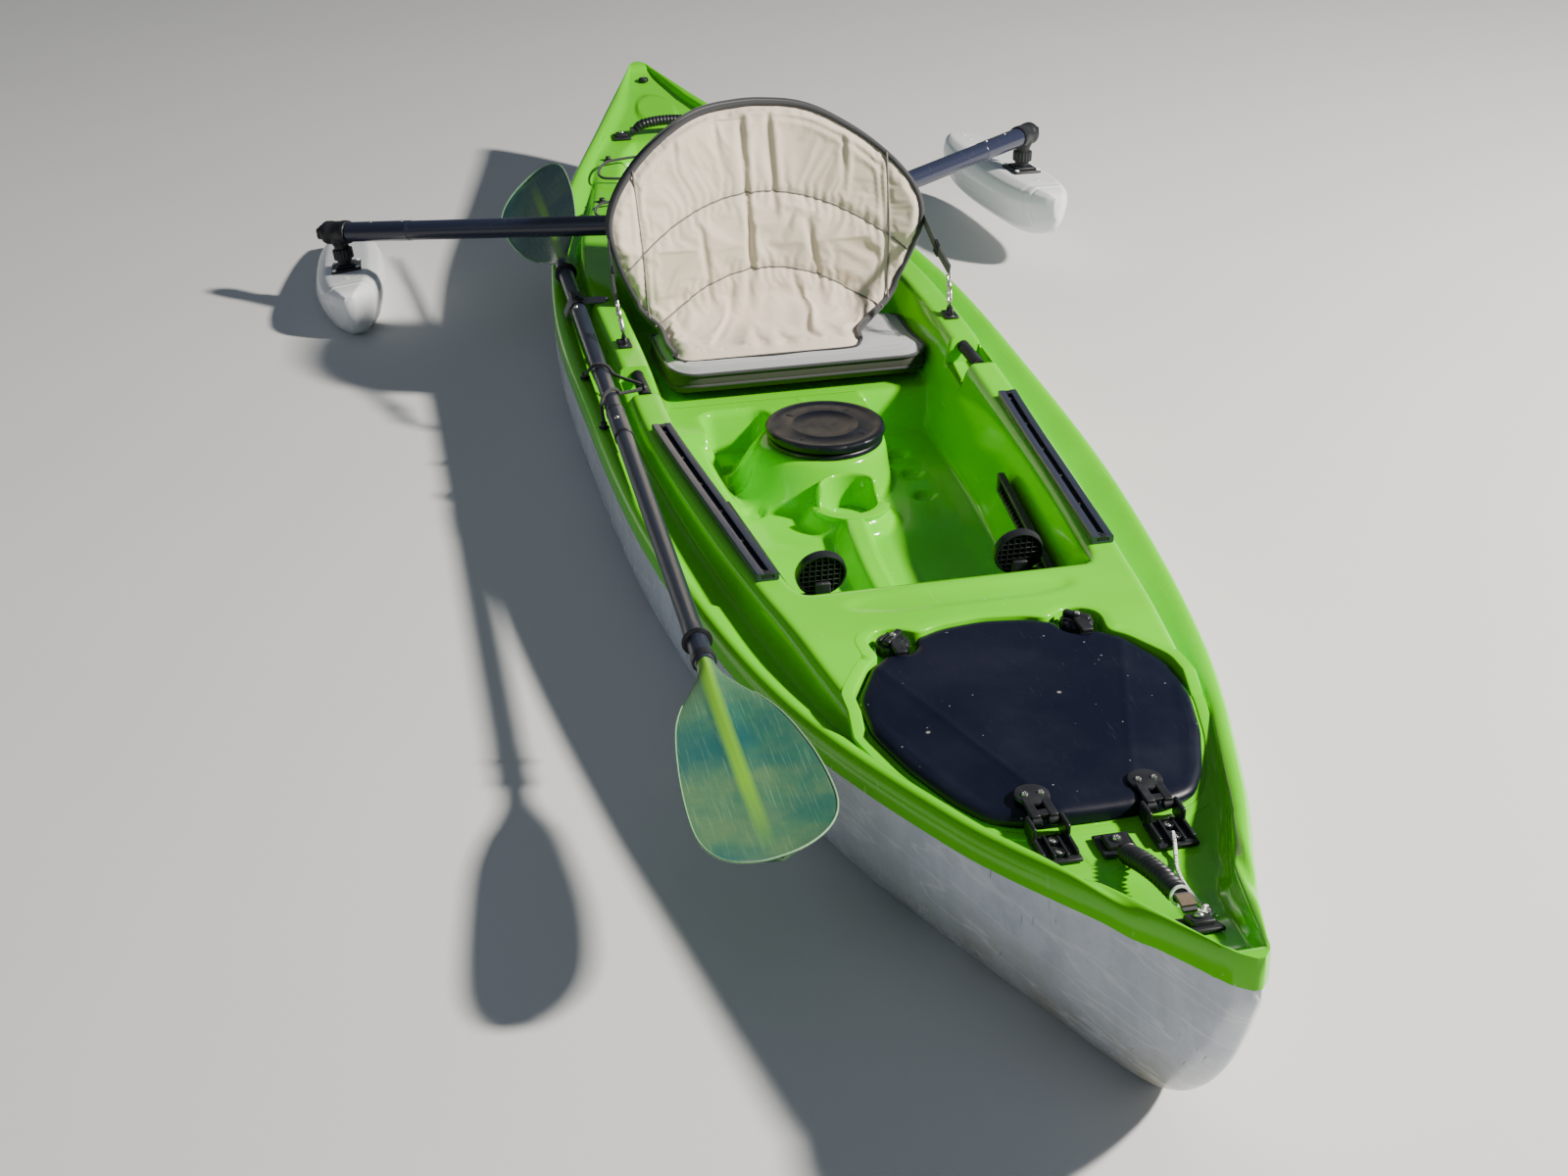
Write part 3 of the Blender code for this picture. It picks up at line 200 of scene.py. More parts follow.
def loose(name, verts, faces, paint, angle=40):
    """Mesh object that will be joined to another piece."""
    return piece(name, verts, faces, paint, body=None, angle=angle)


def joined(name, parts, body="kayak", stands_for=()):
    """Join loose parts into one piece, keeping each part's material."""
    for part in parts:
        apply_modifiers(part)
    bpy.ops.object.select_all(action="DESELECT")
    for part in parts:
        part.select_set(True)
    bpy.context.view_layer.objects.active = parts[0]
    bpy.ops.object.join()
    whole = parts[0]
    whole.name = name
    whole.data.name = name
    return settle(whole, body, stands_for)


def apply_modifiers(obj):
    """Turn a mesh object's modifiers, and its place, into plain mesh."""
    graph = bpy.context.evaluated_depsgraph_get()
    if obj.modifiers:
        mesh = bpy.data.meshes.new_from_object(obj.evaluated_get(graph), depsgraph=graph)
        obj.modifiers.clear()
        obj.data = mesh
    obj.data.transform(obj.matrix_basis)
    obj.matrix_basis = Matrix.Identity(4)


def band_faces(rows, n, closed=False, open_rows=False):
    """Four-sided faces between neighbouring rows of n points, in a ring of rows if closed."""
    return [(r * n + i, r * n + (i + 1) % n, (r + 1) % rows * n + (i + 1) % n, (r + 1) % rows * n + i)
            for r in range(rows if closed else rows - 1) for i in range(n - 1 if open_rows else n)]


def end_faces(rows, n):
    """Faces that close the first and the last of the rows of n points."""
    return [tuple(range(n)), tuple((rows - 1) * n + i for i in range(n))]


def tube_mesh(points, radius, sides=10, closed=False, up=None):
    """Vertices and faces of a tube through the points, with a radius for each point or for all."""
    pts = [Vector(p) for p in points]
    n = len(pts)
    radii = radius if isinstance(radius, (list, tuple)) else [radius] * n
    tangents = []
    for i in range(n):
        ahead = pts[(i + 1) % n] if closed else pts[min(i + 1, n - 1)]
        behind = pts[i - 1] if closed or i else pts[0]
        tangents.append((ahead - behind).normalized())
    side = tangents[0].orthogonal().normalized() if up is None else tangents[0].cross(Vector(up)).normalized()
    verts = []
    for i in range(n):
        if up is None:
            side = (side - tangents[i] * side.dot(tangents[i])).normalized()
        else:
            side = tangents[i].cross(Vector(up)).normalized()
        other = tangents[i].cross(side)
        for s in range(sides):
            a = 2 * math.pi * s / sides
            verts.append(pts[i] + (side * math.cos(a) + other * math.sin(a)) * radii[i])
    faces = band_faces(n, sides, closed)
    if not closed:
        faces += end_faces(n, sides)
    return verts, faces


def curve_points(points, count):
    """Evenly numbered points on a smooth curve through the given ones."""
    pts = np.array([tuple(p) for p in points], float)
    length = np.concatenate([[0], np.cumsum(np.linalg.norm(np.diff(pts, axis=0), axis=1))])
    at = np.linspace(0, length[-1], count)
    return [Vector(v) for v in np.stack([along(list(zip(length, pts[:, k])), at) for k in range(3)], axis=1)]


def lathe_mesh(profile, centre, sides=32, axis=(0, 0, 1), wave=None):
    """Vertices and faces of a closed turned form from (radius, height) points, bottom to top."""
    turn = Vector((0, 0, 1)).rotation_difference(Vector(axis)).to_matrix()
    verts = []
    for radius, height in profile:
        for s in range(sides):
            a = 2 * math.pi * s / sides
            r = radius * (1 + (wave(a, height) if wave else 0.0))
            verts.append(Vector(centre) + turn @ Vector((r * math.cos(a), r * math.sin(a), height)))
    n = len(profile)
    return verts, band_faces(n, sides) + end_faces(n, sides)


def ring_mesh(profile, centre, sides=48, axis=(0, 0, 1)):
    """Vertices and faces of a ring turned from a closed (radius, height) outline."""
    turn = Vector((0, 0, 1)).rotation_difference(Vector(axis)).to_matrix()
    n = len(profile)
    verts = [Vector(centre) + turn @ Vector((r * math.cos(2 * math.pi * s / sides),
                                             r * math.sin(2 * math.pi * s / sides), h))
             for s in range(sides) for r, h in profile]
    return verts, band_faces(sides, n, closed=True)


def rounded_block(name, size, centre, paint, radius=0.002, turn=None, segments=3):
    """Box with rounded edges, as a loose part."""
    x, y, z = (0.5 * side for side in size)
    verts = [(sx * x, sy * y, sz * z) for sz in (-1, 1) for sx, sy in ((-1, -1), (1, -1), (1, 1), (-1, 1))]
    faces = [(3, 2, 1, 0), (4, 5, 6, 7), (0, 1, 5, 4), (1, 2, 6, 5), (2, 3, 7, 6), (3, 0, 4, 7)]
    obj = loose(name, verts, faces, paint)
    rounding = obj.modifiers.new("Rounding", "BEVEL")
    rounding.width = min(radius, 0.49 * min(size))
    rounding.segments = segments
    obj.matrix_basis = Matrix.Translation(Vector(centre)) @ (turn.to_4x4() if turn else Matrix.Identity(4))
    return obj


def black_block(name, size, centre, radius=0.002, turn=None, segments=3):
    """Rounded block of the black fittings' plastic."""
    return rounded_block(name, size, centre, coat("black"), radius, turn, segments)


def bolt(name, place, radius, paint, axis=(0, 0, 1), height=0.0022):
    """Domed screw head with a driver recess, as a loose part."""
    profile = [(radius * 0.9, -0.002), (radius, 0.0), (radius, height * 0.35), (radius * 0.8, height * 0.85),
               (radius * 0.45, height), (radius * 0.42, height * 0.45), (radius * 0.1, height * 0.4)]
    return loose(name, *lathe_mesh(profile, place, 16, axis), paint)


def strap_mesh(points, width, thickness, across):
    """Vertices and faces of a flat strap through the points, its width along one or several directions."""
    pts = [Vector(p) for p in points]
    verts = []
    for i, p in enumerate(pts):
        direction = across[i] if isinstance(across, list) else across
        heading = (pts[min(i + 1, len(pts) - 1)] - pts[max(i - 1, 0)]).normalized()
        side = Vector(direction)
        side = (side - heading * side.dot(heading)).normalized() * width / 2
        lift = heading.cross(side).normalized() * thickness / 2
        verts += [p - side * 0.98 - lift, p + side * 0.98 - lift, p + side, p + side * 0.98 + lift,
                  p - side * 0.98 + lift, p - side]
    n = len(pts)
    return verts, band_faces(n, 6) + end_faces(n, 6)


# Shader helpers


def node(tree, kind, props=None, inputs=None):
    """Add a node, set its properties and its inputs; an input may be a value or another node's output."""
    made = tree.nodes.new(kind)
    for key, value in (props or {}).items():
        setattr(made, key, value)
    for key, value in (inputs or {}).items():
        if isinstance(value, bpy.types.NodeSocket):
            tree.links.new(value, made.inputs[key])
        else:
            made.inputs[key].default_value = value
    return made


def math_node(tree, operation, a, b=0.0, clamp=False):
    """Output of an arithmetic node."""
    return node(tree, "ShaderNodeMath", {"operation": operation, "use_clamp": clamp}, {0: a, 1: b}).outputs[0]


def blend_colour(tree, factor, a, b):
    """One colour blended into another by a factor."""
    return node(tree, "ShaderNodeMix", {"data_type": "RGBA"}, {0: factor, 6: a, 7: b}).outputs[2]


def tinted(tree, mask, share, base, tint):
    """The base colour, mixed with a tint by a share of a mask."""
    return blend_colour(tree, math_node(tree, "MULTIPLY", mask, share), base, tint)


def ramp(tree, value, low, high):
    """0 below low, 1 above high, straight between."""
    return node(tree, "ShaderNodeMapRange", {"clamp": True},
                {"Value": value, "From Min": low, "From Max": high}).outputs[0]


def noise(tree, vector, scale, detail=3.0, roughness=0.55):
    """Even noise over a place."""
    return node(tree, "ShaderNodeTexNoise", None,
                {"Vector": vector, "Scale": scale, "Detail": detail, "Roughness": roughness}).outputs["Fac"]


def stretched(tree, vector, scale, turn=(0.0, 0.0, 0.0)):
    """A place, scaled along each axis and turned."""
    return node(tree, "ShaderNodeMapping", None,
                {"Vector": vector, "Scale": scale, "Rotation": turn}).outputs[0]


def surface_group(name, values, outputs, build):
    """Shader node group with a place and named values in, and masks or heights out."""
    tree = bpy.data.node_groups.new(name, "ShaderNodeTree")
    tree.interface.new_socket("Place", in_out="INPUT", socket_type="NodeSocketVector")
    for label, value in values:
        made = tree.interface.new_socket(label, in_out="INPUT", socket_type="NodeSocketFloat")
        made.default_value = value
    for label in outputs:
        tree.interface.new_socket(label, in_out="OUTPUT", socket_type="NodeSocketFloat")
    start = tree.nodes.new("NodeGroupInput")
    end = tree.nodes.new("NodeGroupOutput")
    for label, socket in zip(outputs, build(tree, start.outputs)):
        tree.links.new(socket, end.inputs[label])
    return tree


def moulded_grain(tree, given):
    """Slow waves of a moulded sheet with a fine orange peel over them."""
    slow = noise(tree, given["Place"], given["Wave Scale"], 2.0)
    fine = noise(tree, given["Place"], given["Grain Scale"], 2.0)
    return [math_node(tree, "ADD", slow, math_node(tree, "MULTIPLY", fine, given["Grain"]))]


def scratches(tree, given):
    """Thin broken scratches in two crossing directions."""
    marks = []
    for turn in (0.35, -0.9):
        place = stretched(tree, given["Place"], (1.0, 45.0, 3.0), (0.0, 0.0, turn))
        line = noise(tree, place, given["Scale"], 1.0)
        marks.append(ramp(tree, line, 0.72, 0.76))
    broken = ramp(tree, noise(tree, given["Place"], math_node(tree, "MULTIPLY", given["Scale"], 1.7)), 0.5,
                  0.6)
    both = math_node(tree, "MAXIMUM", marks[0], marks[1])
    return [math_node(tree, "MULTIPLY", math_node(tree, "MULTIPLY", both, broken), given["Amount"], True)]


def dust_specks(tree, given):
    """Small dried specks and crumbs."""
    cells = node(tree, "ShaderNodeTexVoronoi", {"feature": "F1"},
                 {"Vector": given["Place"], "Scale": given["Scale"]})
    inverse = math_node(tree, "SUBTRACT", 1.0, ramp(tree, cells.outputs["Distance"], 0.08, 0.16))
    chosen = math_node(tree, "LESS_THAN", node(tree, "ShaderNodeSeparateColor", None,
                                               {0: cells.outputs["Color"]}).outputs[0], given["Share"])
    return [math_node(tree, "MULTIPLY", inverse, chosen)]


def woven_threads(tree, given):
    """Plain weave over the first two axes of the place: thread height and a colour mask."""
    parts = node(tree, "ShaderNodeSeparateXYZ", None, {0: given["Place"]})
    along_x = math_node(tree, "SINE", math_node(tree, "MULTIPLY", parts.outputs[0], given["Threads"]))
    along_y = math_node(tree, "SINE", math_node(tree, "MULTIPLY", parts.outputs[1], given["Threads"]))
    cross = math_node(tree, "MULTIPLY", along_x, along_y)
    height = math_node(tree, "MULTIPLY_ADD", cross, 0.5)
    height.node.inputs[2].default_value = 0.5
    heather = noise(tree, stretched(tree, given["Place"], (1.0, 3.5, 1.0)), given["Heather Scale"], 2.0)
    return [height, ramp(tree, heather, 0.3, 0.7)]


def water_marks(tree, given):
    """Dried tide lines and runs on a hull side."""
    runs = noise(tree, stretched(tree, given["Place"], (1.0, 1.0, 0.35)), given["Scale"], 5.0, 0.65)
    height = node(tree, "ShaderNodeSeparateXYZ", None, {0: given["Place"]}).outputs[2]
    low = ramp(tree, height, given["Top"], given["Foot"])
    low_mask = math_node(tree, "MULTIPLY", low, ramp(tree, runs, 0.42, 0.62))
    ripple = noise(tree, stretched(tree, given["Place"], (1.0, 1.0, 6.0)), 3.0, 3.0)
    edge = ramp(tree, math_node(tree, "ABSOLUTE", math_node(tree, "SUBTRACT", ripple, 0.5)), 0.02, 0.0)
    return [low_mask, edge]


GROUPS = {
    "Moulded Grain": ([("Wave Scale", 9.0), ("Grain Scale", 600.0), ("Grain", 0.08)], ["Height"],
                      moulded_grain),
    "Scratches": ([("Scale", 14.0), ("Amount", 1.0)], ["Mask"], scratches),
    "Dust Specks": ([("Scale", 90.0), ("Share", 0.08)], ["Mask"], dust_specks),
    "Woven Threads": ([("Threads", 4200.0), ("Heather Scale", 220.0)], ["Height", "Mask"], woven_threads),
    "Water Marks": ([("Scale", 6.0), ("Top", 0.12), ("Foot", -0.02)], ["Mask", "Edge"], water_marks),
}


def effect(tree, name, place, **values):
    """Place a shared group in a material with its own values."""
    if name not in bpy.data.node_groups:
        surface_group(name, *GROUPS[name])
    made = node(tree, "ShaderNodeGroup", {"node_tree": bpy.data.node_groups[name]}, {"Place": place})
    for label, value in values.items():
        made.inputs[label.replace("_", " ")].default_value = value
    return made.outputs


def finish(name, colour, roughness, metallic=0.0, **sockets):
    """New material with its Principled shader, and its place socket in the boat's frame."""
    made = bpy.data.materials.new(name)
    made.use_nodes = True
    tree = made.node_tree
    shader = tree.nodes["Principled BSDF"]
    shader.inputs["Base Color"].default_value = (*colour, 1.0)
    shader.inputs["Roughness"].default_value = roughness
    shader.inputs["Metallic"].default_value = metallic
    for label, value in sockets.items():
        shader.inputs[label.replace("_", " ")].default_value = value
    made.diffuse_color = (*colour, 1.0)
    place = node(tree, "ShaderNodeTexCoord").outputs["Object"]
    return made, tree, shader, place


def set_bump(tree, shader, height, distance, strength=1.0):
    """Let a height shade a material's surface."""
    bump = node(tree, "ShaderNodeBump", None, {"Height": height, "Distance": distance, "Strength": strength})
    tree.links.new(bump.outputs[0], shader.inputs["Normal"])


def rgba(colour, factor=1.0):
    """A colour, made darker or lighter, with full opacity."""
    return (colour[0] * factor, colour[1] * factor, colour[2] * factor, 1.0)


def lime_plastic():
    """Glossy moulded deck plastic with soft waves, scuffs and a little dust."""
    lime = settings()[1].deck_lime
    made, tree, shader, place = finish("deck_lime_gloss", lime, 0.14, Coat_Weight=0.06, Coat_Roughness=0.05,
                                       Specular_IOR_Level=0.24)
    tone = ramp(tree, noise(tree, place, 3.0, 2.0), 0.35, 0.65)
    colour = blend_colour(tree, tone, rgba(lime, 0.9), rgba(lime, 1.06))
    worn = effect(tree, "Scratches", place, Scale=9.0, Amount=0.5)["Mask"]
    dust = effect(tree, "Dust Specks", place, Scale=70.0, Share=0.035)["Mask"]
    colour = tinted(tree, worn, 0.35, colour, (0.5, 0.78, 0.35, 1.0))
    colour = tinted(tree, dust, 0.4, colour, (0.55, 0.6, 0.4, 1.0))
    tree.links.new(colour, shader.inputs["Base Color"])
    tree.links.new(ramp(tree, worn, -0.4, 2.6), shader.inputs["Roughness"])
    grain = effect(tree, "Moulded Grain", place, Wave_Scale=7.0, Grain_Scale=420.0, Grain=0.03)["Height"]
    set_bump(tree, shader, grain, 0.0012, 0.6)
    return made


def hull_plastic():
    """Pale hull plastic with dried water marks, low grime, scuffs and a bluish mottling of painted ripple
    light and shade.
    """
    # The hull colour's grey-blue is painted shade of the hull's side
    white = settings()[1].hull_white
    made, tree, shader, place = finish("hull_pale_gloss", white, 0.24, Coat_Weight=0.2, Coat_Roughness=0.15)
    marks = effect(tree, "Water Marks", place, Scale=7.0, Top=0.16, Foot=-0.01)
    grime = effect(tree, "Water Marks", place, Scale=19.0, Top=0.07, Foot=-0.03)
    worn = effect(tree, "Scratches", place, Scale=7.0, Amount=1.0)["Mask"]
    parts = node(tree, "ShaderNodeSeparateXYZ", None, {0: place})
    low_bow = math_node(tree, "MULTIPLY", ramp(tree, parts.outputs[0], 1.22, 1.42),
                        ramp(tree, parts.outputs[2], 0.15, 0.04))
    blot = ramp(tree, noise(tree, place, 9.0, 6.0, 0.7), 0.36, 0.62)
    runs = ramp(tree, noise(tree, stretched(tree, place, (1.0, 1.0, 0.16)), 26.0, 4.0), 0.48, 0.7)
    # Bluish mottling: painted ripple light and shade on the hull side
    ripple_shade = ramp(tree, noise(tree, place, 14.0, 7.0, 0.78), 0.44, 0.58)
    colour = tinted(tree, ripple_shade, 0.4, rgba(white), (0.38, 0.43, 0.5, 1.0))
    colour = tinted(tree, marks["Mask"], 0.7, colour, (0.34, 0.37, 0.38, 1.0))
    colour = tinted(tree, runs, 0.35, colour, (0.42, 0.45, 0.44, 1.0))
    colour = tinted(tree, grime["Mask"], 0.75, colour, (0.3, 0.27, 0.17, 1.0))
    colour = tinted(tree, low_bow, math_node(tree, "MULTIPLY", blot, 0.8), colour, (0.34, 0.31, 0.18, 1.0))
    colour = tinted(tree, marks["Edge"], 0.4, colour, (0.85, 0.87, 0.88, 1.0))
    colour = tinted(tree, worn, 0.75, colour, (0.2, 0.2, 0.2, 1.0))
    tree.links.new(colour, shader.inputs["Base Color"])
    tree.links.new(ramp(tree, grime["Mask"], -0.55, 1.6), shader.inputs["Roughness"])
    grain = effect(tree, "Moulded Grain", place, Wave_Scale=6.0, Grain_Scale=300.0, Grain=0.05)["Height"]
    set_bump(tree, shader, grain, 0.0015, 0.6)
    return made


def hatch_plastic():
    """Navy black hatch plastic, satin, with crumbs, pale scratches and hand marks."""
    navy = settings()[1].hatch_navy
    made, tree, shader, place = finish("hatch_navy_satin", navy, 0.34, Specular_IOR_Level=0.25)
    haze = ramp(tree, noise(tree, place, 8.0, 4.0), 0.4, 0.75)
    colour = tinted(tree, haze, 0.3, rgba(navy), rgba(navy, 1.8))
    worn = effect(tree, "Scratches", place, Scale=22.0, Amount=0.8)["Mask"]
    dust = effect(tree, "Dust Specks", place, Scale=105.0, Share=0.07)["Mask"]
    crumbs = effect(tree, "Dust Specks", place, Scale=42.0, Share=0.03)["Mask"]
    colour = tinted(tree, worn, 0.25, colour, (0.08, 0.09, 0.13, 1.0))
    colour = tinted(tree, dust, 0.45, colour, (0.45, 0.47, 0.5, 1.0))
    colour = tinted(tree, crumbs, 0.5, colour, (0.5, 0.5, 0.45, 1.0))
    tree.links.new(colour, shader.inputs["Base Color"])
    tree.links.new(ramp(tree, haze, -1.0, 2.2), shader.inputs["Roughness"])
    grain = effect(tree, "Moulded Grain", place, Wave_Scale=14.0, Grain_Scale=900.0, Grain=0.3)["Height"]
    set_bump(tree, shader, grain, 0.0006, 0.6)
    return made


def black_plastic(name="fitting_black", colour=(0.013, 0.014, 0.017), roughness=0.38, dust_share=0.05):
    """Black moulded fittings with a fine grain, edge shine and dust."""
    made, tree, shader, place = finish(name, colour, roughness, Specular_IOR_Level=0.32)
    dust = effect(tree, "Dust Specks", place, Scale=160.0, Share=dust_share)["Mask"]
    haze = ramp(tree, noise(tree, place, 30.0, 3.0), 0.45, 0.8)
    base = tinted(tree, haze, 0.4, rgba(colour), rgba(colour, 2.6))
    base = tinted(tree, dust, 0.4, base, (0.3, 0.3, 0.28, 1.0))
    tree.links.new(base, shader.inputs["Base Color"])
    tree.links.new(ramp(tree, haze, -1.2, 2.4), shader.inputs["Roughness"])
    grain = effect(tree, "Moulded Grain", place, Wave_Scale=60.0, Grain_Scale=1500.0, Grain=0.5)["Height"]
    set_bump(tree, shader, grain, 0.0003, 0.6)
    return made


def woven_fabric(name, colour, axes, threads=4200.0, roughness=0.9, depth=0.00025, sheen=0.3):
    """Woven cloth whose threads run along two axes of the boat, such as "YZ" for an upright panel."""
    made, tree, shader, place = finish(name, colour, roughness, Sheen_Weight=sheen, Sheen_Roughness=0.5)
    parts = node(tree, "ShaderNodeSeparateXYZ", None, {0: place})
    order = ["XYZ".index(letter) for letter in axes]
    flat = node(tree, "ShaderNodeCombineXYZ", None,
                {0: parts.outputs[order[0]], 1: parts.outputs[order[1]]}).outputs[0]
    weave = effect(tree, "Woven Threads", flat, Threads=threads)
    tone = math_node(tree, "MULTIPLY", weave["Mask"], 0.5)
    base = blend_colour(tree, tone, rgba(colour, 0.86), rgba(colour, 1.12))
    # Darker down between the raised threads: painted shade in the weave's hollows
    base = tinted(tree, weave["Height"], 0.25, rgba(colour, 0.7), base)
    soil = math_node(tree, "MULTIPLY", ramp(tree, noise(tree, place, 5.0, 5.0), 0.52, 0.8), 0.35)
    base = blend_colour(tree, soil, base, rgba((colour[0] * 0.72, colour[1] * 0.68, colour[2] * 0.55)))
    tree.links.new(base, shader.inputs["Base Color"])
    set_bump(tree, shader, weave["Height"], depth, 0.8)
    return made


def webbing(name="webbing_black", colour=(0.02, 0.02, 0.024)):
    """Ribbed nylon webbing and piping tape."""
    made, tree, shader, place = finish(name, colour, 0.75, Sheen_Weight=0.2)
    ribs = effect(tree, "Woven Threads", place, Threads=2600.0, Heather_Scale=300.0)
    base = tinted(tree, ribs["Mask"], 0.6, rgba(colour), rgba(colour, 2.4))
    tree.links.new(base, shader.inputs["Base Color"])
    set_bump(tree, shader, ribs["Height"], 0.0004, 0.8)
    return made


def bare_metal(name, colour, roughness, wear=0.4):
    """Brushed or cast metal with dull spots."""
    made, tree, shader, place = finish(name, colour, roughness, 1.0)
    spots = ramp(tree, noise(tree, place, 180.0, 4.0), 0.5, 0.75)
    base = tinted(tree, spots, wear, rgba(colour), rgba(colour, 0.45))
    tree.links.new(base, shader.inputs["Base Color"])
    tree.links.new(ramp(tree, spots, -0.7, 2.0), shader.inputs["Roughness"])
    grain = effect(tree, "Moulded Grain", place, Wave_Scale=90.0, Grain_Scale=1500.0, Grain=0.4)["Height"]
    set_bump(tree, shader, grain, 0.0002, 0.6)
    return made


def coated_tube(name, colour, roughness):
    """Dark painted or fibre tube with fine lengthwise lines and rubbed spots."""
    made, tree, shader, place = finish(name, colour, roughness, Coat_Weight=0.3, Coat_Roughness=0.2)
    lines = noise(tree, stretched(tree, place, (2.0, 300.0, 300.0)), 3.0, 2.0)
    rubbed = effect(tree, "Scratches", place, Scale=16.0, Amount=0.7)["Mask"]
    base = tinted(tree, ramp(tree, lines, 0.4, 0.7), 0.4, rgba(colour), rgba(colour, 2.4))
    base = tinted(tree, rubbed, 0.4, base, (0.2, 0.21, 0.23, 1.0))
    tree.links.new(base, shader.inputs["Base Color"])
    set_bump(tree, shader, lines, 0.0002, 0.4)
    return made


def blade_fibre(name, root, heading, across):
    """Green glass-fibre blade: fine pale stripes along it, a lime spine and a mottled body."""
    green = settings()[1].blade_green
    made, tree, shader, place = finish(name, green, 0.25, Coat_Weight=0.25, Coat_Roughness=0.12,
                                       Specular_IOR_Level=0.35)
    moved = node(tree, "ShaderNodeVectorMath", {"operation": "SUBTRACT"},
                 {0: place, 1: tuple(root)}).outputs[0]
    side = node(tree, "ShaderNodeVectorMath", {"operation": "DOT_PRODUCT"},
                {0: moved, 1: tuple(across)}).outputs["Value"]
    down = node(tree, "ShaderNodeVectorMath", {"operation": "DOT_PRODUCT"},
                {0: moved, 1: tuple(heading)}).outputs["Value"]
    flow = node(tree, "ShaderNodeCombineXYZ", None,
                {0: side, 1: math_node(tree, "MULTIPLY", down, 0.03)}).outputs[0]
    stripe = noise(tree, flow, 420.0, 2.0)
    mottle = ramp(tree, noise(tree, place, 8.0, 6.0, 0.7), 0.38, 0.68)
    base = blend_colour(tree, mottle, rgba(green), (green[0] * 3.2, green[1] * 1.4, green[2], 1.0))
    cool = math_node(tree, "MULTIPLY", ramp(tree, noise(tree, place, 7.0, 3.0), 0.42, 0.62),
                     ramp(tree, down, 0.04, 0.2))
    base = tinted(tree, cool, 0.75, base, (0.006, 0.075, 0.085, 1.0))
    base = tinted(tree, ramp(tree, stripe, 0.56, 0.72), 0.3, base, (0.2, 0.36, 0.2, 1.0))
    spine_place = math_node(tree, "ABSOLUTE", math_node(tree, "SUBTRACT", side, 0.004))
    spine = math_node(tree, "MULTIPLY", ramp(tree, spine_place, 0.012, 0.004), ramp(tree, down, 0.46, 0.3))
    base = tinted(tree, spine, 0.9, base, (0.2, 0.5, 0.02, 1.0))
    tree.links.new(base, shader.inputs["Base Color"])
    set_bump(tree, shader, stripe, 0.0001, 0.5)
    return made


def twisted_rope():
    """White braid with dark flecks."""
    made, tree, shader, place = finish("rope_flecked", (0.72, 0.72, 0.68), 0.85, Sheen_Weight=0.2)
    cells = node(tree, "ShaderNodeTexVoronoi", None, {"Vector": place, "Scale": 520.0})
    fleck = math_node(tree, "LESS_THAN", node(tree, "ShaderNodeSeparateColor", None,
                                              {0: cells.outputs["Color"]}).outputs[0], 0.22)
    base = blend_colour(tree, fleck, (0.72, 0.72, 0.68, 1.0), (0.05, 0.05, 0.05, 1.0))
    tree.links.new(base, shader.inputs["Base Color"])
    set_bump(tree, shader, cells.outputs["Distance"], 0.0006, 0.8)
    return made


def pale_floor():
    """Plain pale studio floor."""
    made, tree, shader, place = finish("studio_floor", (0.62, 0.62, 0.61), 0.7)
    tone = noise(tree, place, 1.5, 2.0)
    base = blend_colour(tree, tone, (0.6, 0.6, 0.6, 1.0), (0.64, 0.64, 0.63, 1.0))
    tree.links.new(base, shader.inputs["Base Color"])
    return made


PAINTS = {}


def coat(name):
    """The named finish, made on first use."""
    makers = {
        "lime": lime_plastic, "hull": hull_plastic, "hatch": hatch_plastic, "black": black_plastic,
        "hatch_ring": lambda: black_plastic("round_hatch_black", (0.005, 0.006, 0.011), 0.36, 0.05),
        "back_cloth": lambda: woven_fabric("back_cloth", tuple(settings()[1].seat_fabric), "YZ"),
        "cushion_cloth": lambda: woven_fabric("cushion_cloth", (0.42, 0.43, 0.46), "XY", sheen=0.5),
        "band_cloth": lambda: woven_fabric("cushion_band", (0.06, 0.058, 0.046), "YZ", sheen=0.05),
        "dark_cloth": lambda: woven_fabric("dark_cloth", (0.03, 0.03, 0.033), "YZ"),
        "webbing": webbing,
        "grey_webbing": lambda: webbing("webbing_grey", (0.12, 0.12, 0.125)),
        "brown_webbing": lambda: webbing("webbing_brown", (0.07, 0.045, 0.025)),
        "track": lambda: coated_tube("track_anodised", (0.02, 0.024, 0.04), 0.3),
        "steel": lambda: bare_metal("hook_steel", (0.62, 0.6, 0.55), 0.28),
        "bolt": lambda: bare_metal("bolt_steel", (0.6, 0.6, 0.58), 0.3),
        "arm": lambda: coated_tube("arm_navy", (0.012, 0.015, 0.035), 0.3),
        "shaft": lambda: coated_tube("shaft_blue_black", (0.016, 0.02, 0.034), 0.34),
        "float": float_plastic,
        "rope": twisted_rope,
        "blade_edge": lambda: webbing("blade_edge", (0.12, 0.26, 0.12)),
        "bungee": lambda: webbing("bungee_black", (0.012, 0.012, 0.014)),
        "seam_tape": lambda: webbing("seam_tape", (0.11, 0.1, 0.09)),
        # Painted shade of the floats' holes
        "shaded_hole": lambda: black_plastic("painted_hole_shade", (0.01, 0.01, 0.01), 0.7, 0.0),
        # Painted shade at the bottom of the drains
        "inside": lambda: black_plastic("hollow_shade", (0.02, 0.06, 0.012), 0.6, 0.0),
    }
    if name not in PAINTS:
        PAINTS[name] = makers[name]()
    return PAINTS[name]


